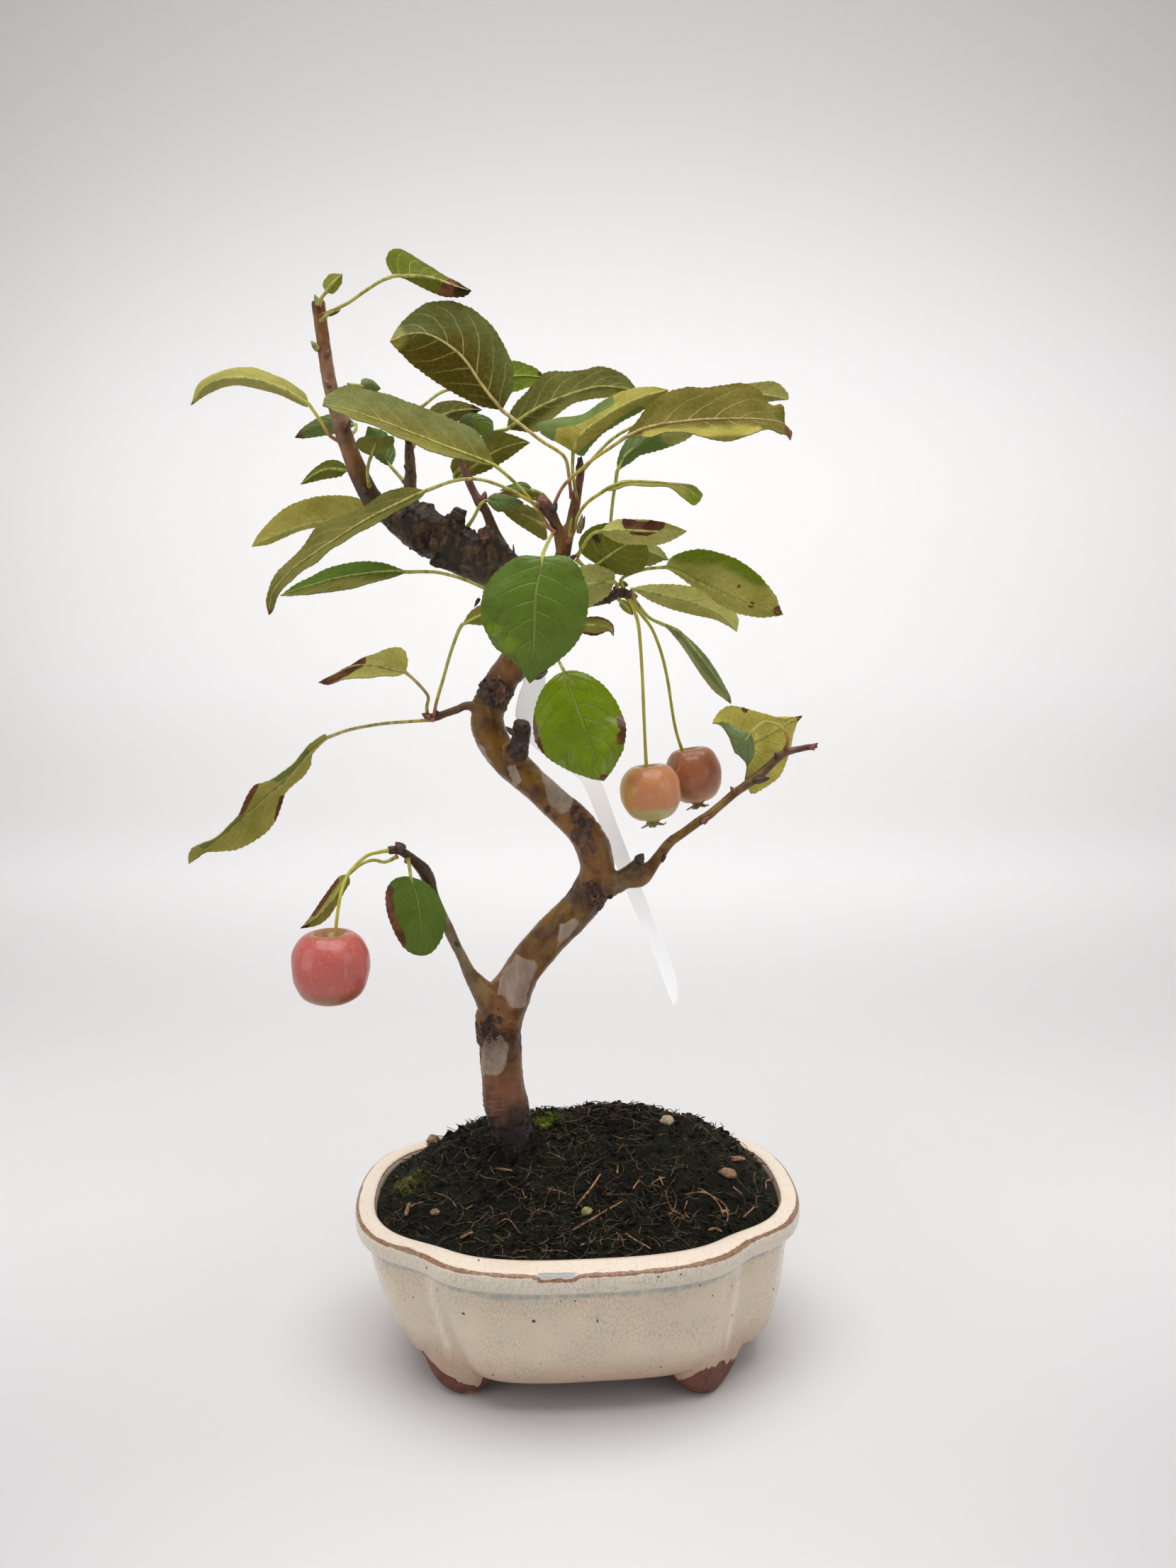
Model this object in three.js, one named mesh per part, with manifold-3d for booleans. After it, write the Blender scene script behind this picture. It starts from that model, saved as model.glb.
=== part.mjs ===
// A crabapple bonsai in its glazed pot: one grown piece of wood, its leaves and fruits,
// the soil ball with its stones and moss, a blank loop label and the pot with its feet.
// Millimetres, +Z up. The tree is laid out about the pot's centre, with the ground at zero.
import * as THREE from 'three';
import { mergeVertices } from 'three/addons/utils/BufferGeometryUtils.js';
import Module from 'manifold-3d';

const wasm = await Module();
wasm.setup();

// ---------------------------------------------------------------- driving dimensions

const GAP = 0.3; // between pieces that touch

const POT_HALF_WIDTH = 77.5;
const POT_HALF_DEPTH = 60;
const POT_HEIGHT = 57;
const POT_SQUARENESS = 2.38; // exponent of the outline's superellipse
const POT_PINCH = 5.2; // how far the outline's four diagonals are drawn in
const POT_PINCH_ANGLE = 0.64; // radians from the long axis
const POT_PINCH_SPREAD = 0.27;
const POT_FLOOR = 14; // top of the pot's floor
const POT_SIDES = 48;
// [inset from the rim's outline, height], from the underside, over the rim, to the floor
const POT_PROFILE = [
  [24, 9.2], [17, 9.6], [11.5, 11], [8, 14.5], [5.4, 20], [4, 28], [3.4, 39], [3.6, 49.2],
  [0.7, 50.2], [0, 51.6], [0, 56], [0.9, POT_HEIGHT],
  [7.6, POT_HEIGHT], [8.5, 56], [8.9, 48], [9.6, 36], [12, 23], [16.5, 15.5], [24, POT_FLOOR],
];
const FOOT_CENTRE = { x: 41, y: 30 };
const FOOT_SIDES = 14;
// [half width, half depth, height] of a foot, from the ground up into the body
const FOOT_PROFILE = [[8.2, 6, 0], [10.6, 8, 1.8], [12, 9, 6], [12.5, 9.5, 12.5]];
const DRAIN_HOLE = { x: 33, radius: 6, sides: 16 };
const SCREEN = { radius: 9, thickness: 0.8 };

const SOIL_INSET = 8.5; // inside the rim's outline
// [inset from the rim's outline, height] up the pot's inner wall
const SOIL_WALL = [[24.5, POT_FLOOR + GAP], [17.1, 15.8], [12.5, 23.1], [10, 36], [9.3, 48]];
const SOIL_EDGE = 54.5; // height of the soil at the pot's wall
const SOIL_RINGS = 5;
const SOIL_SIDES = 30;
const SOIL_CROWN = { middle: 13.5, right: 0.09, back: 0.22 }; // rise of the mound

const BLADE_HALF_THICKNESS = 0.26;
const STALK_RADIUS = 0.55;
const STALK_RINGS = 4;
const STALK_SIDES = 8; // as many as the points round a blade
const BLADE_RINGS = 6;

const TRUNK_SIDES = 10;
const LIMB_SIDES = 6;

const FRUIT_SIDES = 12;
const FRUIT_STALK_DIAMETER = 1.5;

// The tree is laid out on the front plane, y = 0, as it looks from the viewpoint. A place is
// given by where it stands on that plane and by how far behind the plane it lies.
const VIEWPOINT = new THREE.Vector3(2.6, -383, 247);
const UP = new THREE.Vector3(0, 0, 1);

function seen([x, z, depth = 0]) {
  const reach = 1 + depth / -VIEWPOINT.y;
  return new THREE.Vector3(x, 0, z).sub(VIEWPOINT).multiplyScalar(reach).add(VIEWPOINT);
}

// ---------------------------------------------------------------- the tree, place by place

// Each stretch of wood: [x, z, depth, diameter] along its middle line.
const TRUNK = [
  [-24, 44, 3, 12], [-23.2, 54, 1, 13.6], [-22.2, 63, 0, 14], [-22.6, 71, 0, 14.4],
  [-24.6, 79, 1, 15], [-26.6, 87, 2, 15.8], [-27.3, 96, 3, 14.6], [-28, 105, 3, 15],
  [-28.5, 114, 3, 16.4], [-27.6, 120, 2, 16.6], [-25.2, 125.5, 1, 15.6], [-22.4, 130.5, 0, 13.4],
  [-19.4, 136, -0.5, 12.8], [-14.8, 142, -1, 13], [-9, 148.3, -1.5, 12.8], [-3.2, 154.4, -2, 12.6],
  [2.2, 160.5, -2.5, 12.8], [5.2, 166.5, -3, 12.4], [5.8, 172.3, -3.5, 11.8],
  [4, 178.6, -4, 11.8], [0.5, 184.4, -3.5, 11.4], [-4.6, 189.7, -2.5, 11],
  [-10.2, 195, -1, 10.6], [-16, 200.1, 1, 10.6], [-21.6, 205.2, 2.5, 11],
  [-27, 210.8, 4, 11.3], [-30.4, 216.7, 5, 11.6], [-31.4, 222.7, 5, 11.6],
  [-30, 228.6, 5, 11.4], [-26.5, 234.8, 4.5, 11.2], [-22, 241, 4, 11.6],
  [-18.4, 247.5, 3, 11.6], [-17.2, 254.4, 1.5, 11.6], [-19.2, 261.2, 0, 12],
  [-24, 267.4, 0, 12.8], [-30, 272.6, 0, 14], [-36.5, 276.6, 0.5, 15], [-43.5, 280.2, 1, 15],
  [-50.5, 284, 1.5, 15.4], [-56.5, 287.2, 2, 13.6], [-62.2, 290.2, 2.5, 10],
  [-67.6, 293.6, 2.5, 7.6], [-71.8, 300.5, 2, 6.6], [-75, 308.6, 1.5, 6], [-77.4, 315.4, 1, 5.7],
  [-79.2, 321.5, 0.5, 5.1], [-81.4, 330.4, 0, 4.8], [-82.8, 340.2, -0.5, 4.6],
  [-83.9, 350, -1, 4.4], [-84.7, 357.4, -1, 4.6],
];

const LIMBS = {
  lower_left_branch: [
    [-29, 120, 0, 11], [-33.2, 126, -1, 8.6], [-36, 130.4, -2, 6.2], [-37.9, 134, -3, 4.6],
    [-40, 139, -4, 3.7], [-42.4, 144, -5, 3.5], [-44.6, 149, -6, 3.8], [-46.4, 154, -7, 3],
    [-48.5, 158.6, -8, 3.1], [-50.6, 163, -8.5, 3.5], [-52.2, 167, -9, 4.6], [-54, 170.4, -9.5, 4.5],
    [-57, 173.5, -10, 3.6], [-59.6, 175.6, -10.5, 3.2], [-62.4, 177.2, -11, 3.2], [-66, 177, -12, 3],
  ],
  right_limb: [
    [3, 162.5, -3, 9.5], [9, 163.9, -3, 7.7], [14, 166.6, -4, 7], [18, 169.6, -4.5, 6.4],
    [20.8, 173, -5, 4.8],
  ],
  right_twig: [
    [16.5, 167, -4, 6], [20.8, 167.6, -4, 6.2], [24, 171, -3, 4.7], [27, 175, -3, 3.8],
    [30.4, 179.6, -3, 3.5], [35, 183, -3, 3.2], [40, 186.8, -2.5, 3.2], [43.5, 189, -2.5, 3.3],
    [48, 192.9, -2, 3], [53, 197.2, -1.5, 3], [57, 200, -1, 3.3], [60.5, 202.8, -0.5, 3.4],
    [64, 206, 0, 3.1], [67.5, 209.3, 0.5, 3], [70, 210.9, 1, 2.8], [74, 211.9, 1.5, 2.5],
    [78, 212.7, 2, 2.3], [80.4, 213, 2.5, 2],
  ],
  upright_stub: [
    [-54, 287, 2, 7], [-56, 296, 2, 4.8], [-55.8, 304, 2, 4.1], [-56.1, 310, 3, 3.2],
    [-56.3, 315, 3.5, 2.4],
  ],
  crown_twig: [
    [-20.5, 268, 1, 5], [-23.4, 275, 2, 4.2], [-26, 280.3, 2.5, 3.4], [-27.6, 283, 3, 3.3],
    [-29.6, 287, 3.4, 3.5], [-31.2, 291, 3.6, 3.4], [-33, 293.4, 4, 3.8], [-34.7, 296.2, 4.3, 2.9],
    [-36.5, 300, 4.5, 2.9], [-38.4, 305.4, 5, 2.6], [-41, 311, 5.5, 2.2],
  ],
  cut_stub: [[-24, 273.6, 0, 9], [-27.5, 278.4, -3.5, 8], [-30.8, 282.2, -7, 6.4], [-32.2, 283.6, -8.8, 5.6]],
  stub_shoulder: [[-54, 287, 1, 8], [-50.8, 291.4, 1, 7], [-50, 293.6, 1, 4]],
  weathered_knob: [[-43, 283, -1, 9], [-41, 288, -2, 6.4], [-39.4, 291.6, -2, 3.6]],
  dead_snag: [[-37, 272.6, -1, 8], [-42, 273.8, -2, 6.6], [-47, 273.9, -4, 4], [-50.2, 274.4, -4.5, 2.4]],
  spur_foot: [
    [-16.5, 256, -1, 8], [-11.5, 265, -3, 5.6], [-7.6, 272.5, -4, 4.7], [-5.7, 278.4, -4, 4.4],
  ],
  left_spur: [
    [-5.8, 276.5, -4, 4.2], [-6.7, 281.4, -4, 3.9], [-7.4, 284.8, -4.3, 3.6], [-8.7, 288, -4.7, 3.8],
    [-10.4, 290.8, -5, 4.6], [-12.2, 293.4, -5.5, 4.6], [-13.2, 296, -6, 3],
  ],
  right_spur: [
    [-5.2, 276.5, -4, 4.2], [-3.8, 283, -4, 3.6], [-2.5, 289, -4, 3.8], [-1.4, 294, -4, 3.6],
    [-0.8, 297.6, -4, 3.1],
    [0, 301.5, -4, 2.8], [0.3, 304.4, -4, 2.8], [-0.5, 308.2, -4, 1.6],
  ],
  fruit_spur: [
    [-16, 255, 0, 7], [-8, 258, -2, 4.4], [0, 260.4, -3, 3.5], [8, 262, -4, 3.5],
    [12.5, 264, -4, 3.9], [16.3, 263.8, -4, 3],
  ],
  left_side_spur: [
    [-30, 224, 4, 6], [-37.6, 226.6, 2, 3.2], [-41.5, 225.3, 1, 2.9], [-45.9, 223.8, 0, 2.7],
    [-49.5, 222.6, -0.5, 3], [-52.4, 223.7, -1, 2],
  ],
  bend_stub: [[-22.5, 208, 2, 9], [-20.4, 214, -4, 7], [-19.5, 221.4, -7, 5.8]],
  label_knob: [[-17.5, 244, 2, 9], [-13, 236.4, -1, 5]],
  old_scar: [[-28, 230, 4, 9], [-28.6, 230.8, -4.2, 7.4]],
};

// Roots run out from the trunk's foot: [turn about the trunk in degrees, length, diameter]
const ROOTS = [[20, 30, 5], [95, 24, 4.4], [165, 26, 5], [235, 22, 4.6], [310, 30, 4.8]];
const ROOT_START = new THREE.Vector3(-23.5, 2, 50);
const ROOT_DIP = { start: 4, end: 16 }; // how far below its start a root begins and ends
const ROOT_STEPS = 4;
const ROOT_TAPER = 0.7;

// Each leaf: the stalk from the wood to the blade, the rib from the blade's foot to its tip
// and the two margins between them, all as [x, z, depth]. A margin place without a depth takes
// the rib's, plus the bow that each margin keeps at mid leaf. Folds, where a blade is creased,
// are the lines half way between rib and margins.
const LEAVES = {
  leaf_top: {
    stalk: [[-83.4, 353, -2.6], [-75.6, 356.4, -4], [-70, 360, -5], [-64.8, 363.2, -6]],
    rib: [[-60.3, 365, -7], [-48.8, 364.6, -9], [-40, 362, -10], [-35, 360.5, -10]],
    left: [[-62.5, 370], [-59, 373.4], [-51.7, 370], [-45.8, 366.4]],
    right: [[-54, 363.2], [-47.7, 359.8], [-42.5, 358.6], [-37.3, 358.6]],
    bow: [6, 5], colour: 'green',
  },
  leaf_bud: {
    stalk: [[-84.2, 356.5, -4], [-83.4, 358.4, -4]],
    rib: [[-82, 360, -4], [-79.4, 363, -4], [-76.6, 365.6, -4]],
    left: [[-83, 362.6], [-80.4, 365.6]],
    right: [[-79.6, 359.6], [-77, 362.6]],
    bow: [1, 1], colour: 'green',
  },
  leaf_far_left: {
    stalk: [[-79.5, 313.6, 0.6], [-82.2, 315.2, 0], [-84.8, 319.5, 0]],
    rib: [[-88.6, 325, 0], [-98, 330.2, -2], [-110, 333.2, -4], [-121, 331.2, -5], [-127.2, 324.7, -5]],
    left: [[-90.5, 329], [-100, 334.4], [-111, 336.6], [-123, 332.6]],
    right: [[-89.8, 324.4], [-98.4, 328], [-110, 331], [-119.6, 329.2]],
    bow: [10, 9], colour: 'pale',
  },
  leaf_wide_left: {
    stalk: [[-9.2, 284.6, -6.6], [-11.2, 287, -6.6], [-13.4, 290.4, -7], [-16, 293.8, -8],
      [-19, 297.6, -9.5], [-24, 302.3, -11.5]],
    rib: [[-28, 305.5, -13], [-40, 309.8, -14], [-52, 314.3, -14], [-64, 319, -13], [-76, 323, -12],
      [-84.2, 324.5, -11]],
    left: [[-33.6, 316], [-45.5, 321.7], [-60, 327], [-75, 330.6], [-82.5, 328]],
    right: [[-38, 307], [-52, 311.8], [-66, 317.4], [-78, 322]],
    bow: [5, -9], colour: 'pale',
  },
  leaf_round_top: {
    stalk: [[-2.9, 296, -5.6], [-3.3, 299, -8.2], [-3.8, 303, -9.6], [-5.4, 308.6, -10.6],
      [-13, 313.6, -11], [-20, 319, -10]],
    rib: [[-25.5, 323, -8], [-31.9, 330.8, -9], [-38.5, 340, -10], [-47.2, 346.1, -11],
      [-54.3, 347.2, -12], [-61.8, 344.7, -12]],
    left: [[-34, 325], [-43, 329.6], [-52.4, 335.6], [-59, 341.6]],
    right: [[-21.6, 332], [-24.6, 344], [-34, 354.4], [-47, 357.4], [-57, 351.6]],
    bow: [4, 5], colour: 'olive',
  },
  leaf_behind_round: {
    stalk: [[-57.6, 315, 4], [-54, 322, 8], [-50.9, 324.8, 12], [-43.7, 329.4, 17]],
    rib: [[-32, 330.5, 19], [-22, 333.6, 19], [-10.9, 333.3, 20]],
    left: [[-30, 335.6], [-22, 338.6], [-15, 336.6]],
    right: [[-29, 328], [-22, 329], [-15, 331]],
    bow: [2, -2], colour: 'green',
  },
  leaf_crown: {
    stalk: [[-40.6, 309.6, 5.6], [-39.6, 311.6, 8.6], [-37, 314.6, 12], [-30, 316, 13]],
    rib: [[-24, 317, 13], [-15.2, 323.1, 13], [-5.3, 327.5, 12], [6, 330.6, 11], [15.4, 329.8, 11],
      [19.2, 328.7, 11]],
    left: [[-22.6, 323], [-17, 329.6], [-10.5, 335], [0, 335.4], [7, 337], [14.5, 334]],
    right: [[-14, 316.4], [-8.8, 320.8], [-1.6, 325.6], [9.8, 327.3]],
    bow: [4, 7], colour: 'olive',
  },
  leaf_twisted: {
    stalk: [[-1.2, 295.3, -5.2], [-1.9, 299.6, -6.9], [-2.5, 304, -7.2]],
    rib: [[-2.3, 309.7, -8], [0, 315, -9.4], [6, 319.6, -10.4], [12.4, 323.6, -11.4], [20, 327, -12],
      [29, 329.5, -12]],
    left: [[-6.5, 312.3], [-12.7, 315.5], [-14, 319.3], [-7.8, 320], [-1.3, 321.2], [3.3, 323.1],
      [9.2, 326.9], [17, 330.1], [23.5, 330.4]],
    right: [[1, 308.6], [4, 312.3], [7.2, 315.8], [13.1, 319], [19.7, 322.5], [26, 327.2]],
    bow: [6, 4], colour: 'teal',
  },
  leaf_wide_right: {
    stalk: [[-9, 291.6, -6.2], [-7.4, 295.6, -8.2], [-5, 299.5, -9.4], [0.2, 304.2, -10.6], [5, 308, -12],
      [9.8, 311.1, -14]],
    rib: [[14.6, 314.4, -15], [24.1, 317.8, -16], [38.4, 319.7, -18], [52.6, 320.1, -19],
      [63.5, 319.4, -20], [68, 317.4, -20.4], [69, 313.6, -20]],
    left: [[19, 320.4], [24, 326], [30, 329.4], [43, 330.6], [52, 331.6], [58.6, 329], [62.7, 324.8],
      [66.1, 324.6], [66.8, 319.4], [69.4, 316.4]],
    right: [[22, 314.8], [31.8, 315.6], [45, 314.1], [53, 314.4], [60.6, 316.8], [65, 315.6], [67.4, 315.4]],
    bow: [5, -8], colour: 'pale',
  },
  leaf_behind_right: {
    stalk: [[0.4, 303.4, -2.2], [12, 315, 3], [28, 321.6, 5]],
    rib: [[42, 324, 5], [56, 328, 6], [68.2, 326.6, 7]],
    left: [[48, 329.6], [57.6, 331.8], [63.7, 331.8], [67.6, 328.6]],
    right: [[48, 322], [60, 325.5], [66.6, 326.5]],
    bow: [3, 3], colour: 'green',
  },
  leaf_narrow_right: {
    stalk: [[-3.7, 281.4, -6], [-1.9, 284.5, -8.4], [-0.9, 289, -9.6], [2.4, 293.6, -12]],
    rib: [[7.9, 297.4, -15], [12.7, 299.2, -17], [18.4, 300, -19], [29, 299.4, -22], [35.6, 297.4, -24],
      [39.6, 294, -25]],
    left: [[12.9, 300.2], [18.4, 301], [29, 300.2], [36, 299], [40, 296.4]],
    right: [[12.4, 297.9], [18.4, 299], [28.6, 298.4], [33.6, 295.6], [37.6, 293]],
    bow: [8, -7], colour: 'pale',
  },
  leaf_spotted_low: {
    stalk: [[-0.6, 276.8, -7], [1.3, 279.9, -13], [2.8, 282.2, -15.5], [4.8, 283.8, -18]],
    rib: [[7, 284.3, -20], [15, 284.6, -21], [25, 284.2, -22], [35.4, 284.3, -22]],
    left: [[9, 286.5], [12.6, 288], [20, 288.1], [27, 287.2], [31, 286.2]],
    right: [[8.6, 282.7], [13, 280.6], [20, 280], [27, 280.1], [32, 282.2]],
    bow: [4, 4], colour: 'pale',
  },
  leaf_round_small: {
    stalk: [[-0.6, 274.6, -6.4], [1.6, 272.6, -6.4], [3.6, 272.6, -6]],
    rib: [[5.6, 273.4, -6], [9.4, 276.4, -6.6], [14.4, 279.6, -7.4], [19, 281.6, -8]],
    left: [[0, 277.6], [0, 282.2], [4.6, 286], [12, 287], [17.6, 285]],
    right: [[10, 270.9], [15.6, 270], [20.6, 271.6], [22.9, 276], [22, 280]],
    bow: [-2, 3], colour: 'olive',
  },
  leaf_pale_back: {
    stalk: [[9.6, 263.6, -2], [10, 268, 2], [11, 273, 6]],
    rib: [[14, 277, 9], [22, 277.6, 9], [29.5, 275, 9]],
    left: [[18, 281], [25.5, 279.6]],
    right: [[17, 273], [23.3, 273], [27, 274.6]],
    bow: [2, 2], colour: 'pale',
  },
  leaf_right: {
    stalk: [[14.4, 265.8, -3.6], [13.6, 268.4, -3.6], [16.6, 270.4, -3.2], [22, 272, -2.6]],
    rib: [[28.3, 272.6, -2], [33, 271.3, -2], [38, 268.5, -2], [44, 265.7, -2], [50, 262.8, -1.6],
      [56, 260.7, -1.2], [62, 259.5, -0.6], [67.8, 257, 0]],
    left: [[30, 275.5], [33.6, 277.4], [40, 278.5], [48, 276.8], [54, 274], [60, 269.6], [65, 263.6],
      [66.4, 259.8]],
    right: [[32, 270], [36.5, 267], [42, 263.5], [48, 259.8], [53, 257.2], [60, 256], [65.4, 256.4]],
    bow: [-4, 3], colour: 'olive',
  },
  leaf_right_lower: {
    stalk: [[18.1, 263.4, -3.4], [17.3, 264.8, -2]],
    rib: [[17.2, 265.4, 2], [27, 263.4, 5], [38, 260.6, 7], [47, 256.6, 8], [52.5, 251.3, 8]],
    left: [[20.5, 266.6], [30, 266.9], [40, 265.6], [49, 261], [52.8, 256]],
    right: [[20.5, 263.3], [27.5, 259.7], [36, 257.4], [44, 255.6], [49.6, 253]],
    bow: [3, 4], colour: 'pale',
  },
  leaf_grey_centre: {
    stalk: [[12.4, 264.8, -5], [12.2, 266.8, -6.6]],
    rib: [[11.4, 267.8, -8], [6, 267.6, -9], [0, 266.2, -10], [-6, 263, -10], [-11.5, 259, -10]],
    left: [[9.6, 263.6], [5, 260.5], [0.6, 258], [-5.6, 256.6]],
    right: [[11.4, 270.6], [8.4, 272.4], [3.5, 273.6], [-3, 271.4], [-8.6, 265.6]],
    bow: [2, 1], colour: 'grey',
  },
  leaf_hanging: {
    stalk: [[17.2, 263.4, -4.2], [19.4, 260.2, -3.6], [23, 256, -3]],
    rib: [[27.5, 253.8, -2], [33.4, 251, -1], [37.4, 246.4, 0], [41.6, 241, 0], [45.6, 235.6, 0],
      [48.6, 231, 0], [50.9, 227.2, 0]],
    left: [[31, 252.7], [35.4, 250], [39.6, 246], [44.4, 240.2], [48.4, 233.8], [50.4, 230]],
    right: [[30, 251.6], [33.4, 247.6], [37, 242.4], [40.6, 237.2], [45, 231.6], [48.6, 228.8]],
    bow: [3, 5], colour: 'dark',
  },
  leaf_burnt: {
    stalk: [[-13.6, 250.8, 0.4], [-11.2, 250.2, -2.4], [-7.6, 251.6, -5]],
    rib: [[-3.6, 253.4, -6], [2, 253.6, -6], [7, 253.3, -6], [10.2, 252.4, -6], [11.2, 249.8, -6]],
    left: [[-0.4, 255.4], [5, 256.3], [9, 255.3], [11.1, 252.9]],
    right: [[-0.6, 251.4], [4, 250.1], [6.8, 250.6], [9.4, 251.6]],
    bow: [2, 2], colour: 'pale',
  },
  leaf_front: {
    stalk: [[-8.4, 284.2, -6], [-9.8, 282.4, -13], [-11.4, 279.2, -26], [-12.2, 277.4, -36]],
    rib: [[-12.5, 276, -40], [-13, 272, -41.5], [-14.4, 266.6, -43], [-15.1, 261, -44],
      [-15.3, 254, -44.5], [-15.6, 246.6, -44.5], [-16.4, 240, -44.5], [-17, 234, -44.5]],
    left: [[-19.6, 276.2], [-26.6, 272.2], [-31.6, 266], [-33.3, 259], [-32.2, 252.6], [-29, 246.6],
      [-24, 242.6], [-19.6, 238]],
    right: [[-5, 276.2], [-0.6, 272.8], [2, 266.6], [2.6, 260], [1.4, 252.6], [-2, 246.6], [-7.6, 241.4],
      [-13, 237.4]],
    bow: [3, 4], colour: 'dark',
  },
  leaf_glossy: {
    stalk: [[-14.4, 249.4, 0.4], [-11.6, 248, -3.6], [-9, 244.6, -7], [-6.8, 240.8, -9]],
    rib: [[-5.4, 238, -11], [-3, 231.5, -14], [-1, 226, -16.5], [1, 220.5, -19], [3, 215, -21.5],
      [4.7, 210, -23.5], [8, 201, -26]],
    left: [[-8.4, 236.8], [-12.4, 232.6], [-15.2, 227], [-16, 220.4], [-15.2, 214.6], [-11.4, 209.2],
      [-5, 205.2], [3, 202]],
    right: [[-2, 238.4], [3.4, 236.8], [9, 232.2], [13, 226.4], [15.2, 220], [14.6, 212.6], [12, 206.6],
      [9.4, 202.8]],
    bow: [2, 2], colour: 'green',
  },
  leaf_left_hidden: {
    stalk: [[-49.4, 223, -1.2], [-48.6, 227.4, -4], [-46, 236, -6], [-43.6, 244, -8], [-41, 251, -9]],
    rib: [[-39.6, 253.6, -10], [-34, 256.4, -11], [-28, 258.6, -12], [-23, 261.6, -12]],
    left: [[-36.6, 258], [-31.6, 261], [-26.6, 262.6]],
    right: [[-36.6, 253.8], [-32, 253.6], [-26.6, 256.4]],
    bow: [1, 1], colour: 'pale',
  },
  leaf_left_upper: {
    stalk: [[-51.6, 223.4, -1], [-51.8, 226.4, -3.4], [-51.3, 229.8, -4.6], [-55, 234.4, -6]],
    rib: [[-58.6, 237.7, -7], [-62, 238.3, -8], [-66, 239.1, -9], [-71, 239.8, -10], [-76, 239.6, -11],
      [-82, 237, -12], [-88, 234.3, -12]],
    left: [[-57.8, 242], [-59.6, 245.7], [-64, 245.9], [-69.4, 243.8], [-74.6, 241.6], [-80, 238.8],
      [-85, 235.8]],
    right: [[-62, 236.9], [-68, 236.4], [-74, 235.8], [-79.6, 235.4], [-84.6, 234]],
    bow: [3, -8], colour: 'pale',
  },
  leaf_left_long: {
    stalk: [[-50.4, 221.8, -1.8], [-58, 221.2, -4], [-65, 220.7, -5], [-72, 219.7, -6], [-79, 218.2, -7]],
    rib: [[-86, 215.7, -8], [-91, 211.8, -9], [-94, 208.7, -10], [-98, 204, -11], [-102, 200.2, -12],
      [-107, 195.8, -12], [-112, 191.2, -13], [-117, 187, -13], [-122, 182.5, -14], [-127, 178.7, -14],
      [-131, 176, -14], [-134.5, 172.3, -14]],
    left: [[-86.6, 216.9], [-91.6, 213.6], [-94.4, 210.3], [-99, 205.6], [-104, 202.2], [-108, 200.7],
      [-111, 199.5], [-113.4, 196.4], [-115, 193], [-117, 189], [-120.6, 185.3], [-125, 181.5],
      [-129.4, 179.2], [-133, 177.6], [-134.4, 175]],
    right: [[-88.6, 212.6], [-91, 209.6], [-91.6, 206.3], [-93.8, 202.8], [-97, 200], [-100.5, 196.5],
      [-102, 192.5], [-103.5, 188.5], [-106, 184.5], [-109, 182], [-113, 179.5], [-118, 177.2],
      [-123, 176.6], [-128, 176.4], [-131, 174.5]],
    bow: [-6, 4], colour: 'olive',
  },
  leaf_folded_left: {
    stalk: [[-29.8, 264.8, -5], [-39, 268.7, -6], [-46.5, 270.7, -6], [-51.5, 271.1, -7]],
    rib: [[-57.5, 271, -8], [-68, 270.4, -8], [-80, 268.8, -9], [-92, 265.6, -9], [-100, 263.2, -9]],
    left: [[-63, 273.4], [-70, 274.2], [-78, 273.8], [-86, 271.3], [-94, 267.2]],
    right: [[-63, 269], [-71, 267], [-80, 265], [-88, 263.8], [-95, 263.2]],
    bow: [4, -8], colour: 'teal',
  },
  leaf_behind_leader: {
    stalk: [[-62.4, 286, 6], [-64.4, 288, 8.4]],
    rib: [[-67, 289, 10], [-78.5, 288, 12], [-88, 287, 13], [-96, 285, 14], [-103, 282.2, 14],
      [-109, 279.3, 14]],
    left: [[-72, 294.4], [-81, 296], [-92, 294.2], [-100, 290], [-106, 283.9]],
    right: [[-76, 287], [-88, 285.4], [-97.5, 282.8], [-104, 280.2]],
    bow: [3, 7], colour: 'olive',
  },
  leaf_curled_front: {
    stalk: [[-12.6, 292.8, -7.2], [-15.5, 293.5, -11.5], [-18, 294.8, -14.5], [-22.8, 297.6, -15.6],
      [-32.3, 300.9, -19], [-41, 300.7, -20]],
    rib: [[-50.8, 297.4, -20], [-59.7, 293, -21], [-69.5, 288.3, -22], [-78, 283.2, -23],
      [-88, 276.9, -24], [-95.2, 271.7, -24], [-101.7, 264.8, -24], [-104, 256.9, -24]],
    left: [[-57, 298.6], [-63.4, 297], [-70.6, 292.6], [-78.6, 289.2], [-87, 285.6], [-93.4, 277.6],
      [-100.5, 271.2], [-104.8, 262.8]],
    right: [[-53, 295], [-61, 290.6], [-70.9, 284.9], [-80.6, 280], [-88, 273.8], [-95.3, 269],
      [-100.3, 263.6], [-102.6, 258.4]],
    bow: [6, -5], colour: 'pale',
  },
  leaf_small_behind_leader: {
    stalk: [[-74.2, 303.6, 5.4], [-74.8, 303.8, 6]],
    rib: [[-76.4, 304, 7], [-84.5, 304, 8], [-92.2, 299.4, 9]],
    left: [[-78.4, 306.6], [-83, 307.1], [-88.4, 303.8]],
    right: [[-79, 302], [-84.6, 301], [-89, 300]],
    bow: [1, 1], colour: 'green',
  },
  leaf_cup: {
    stalk: [[-69.6, 299.2, -1], [-70, 303, -5], [-69.6, 306, -6]],
    rib: [[-68.6, 308.6, -6.6], [-67.4, 311.4, -7], [-66.4, 314, -6.6]],
    left: [[-72.4, 310.4], [-73.6, 313.2], [-70, 315]],
    right: [[-64.8, 309.6], [-61, 312.8], [-62, 315]],
    bow: [-2, -1], colour: 'pale',
  },
  leaf_teal_behind: {
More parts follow.
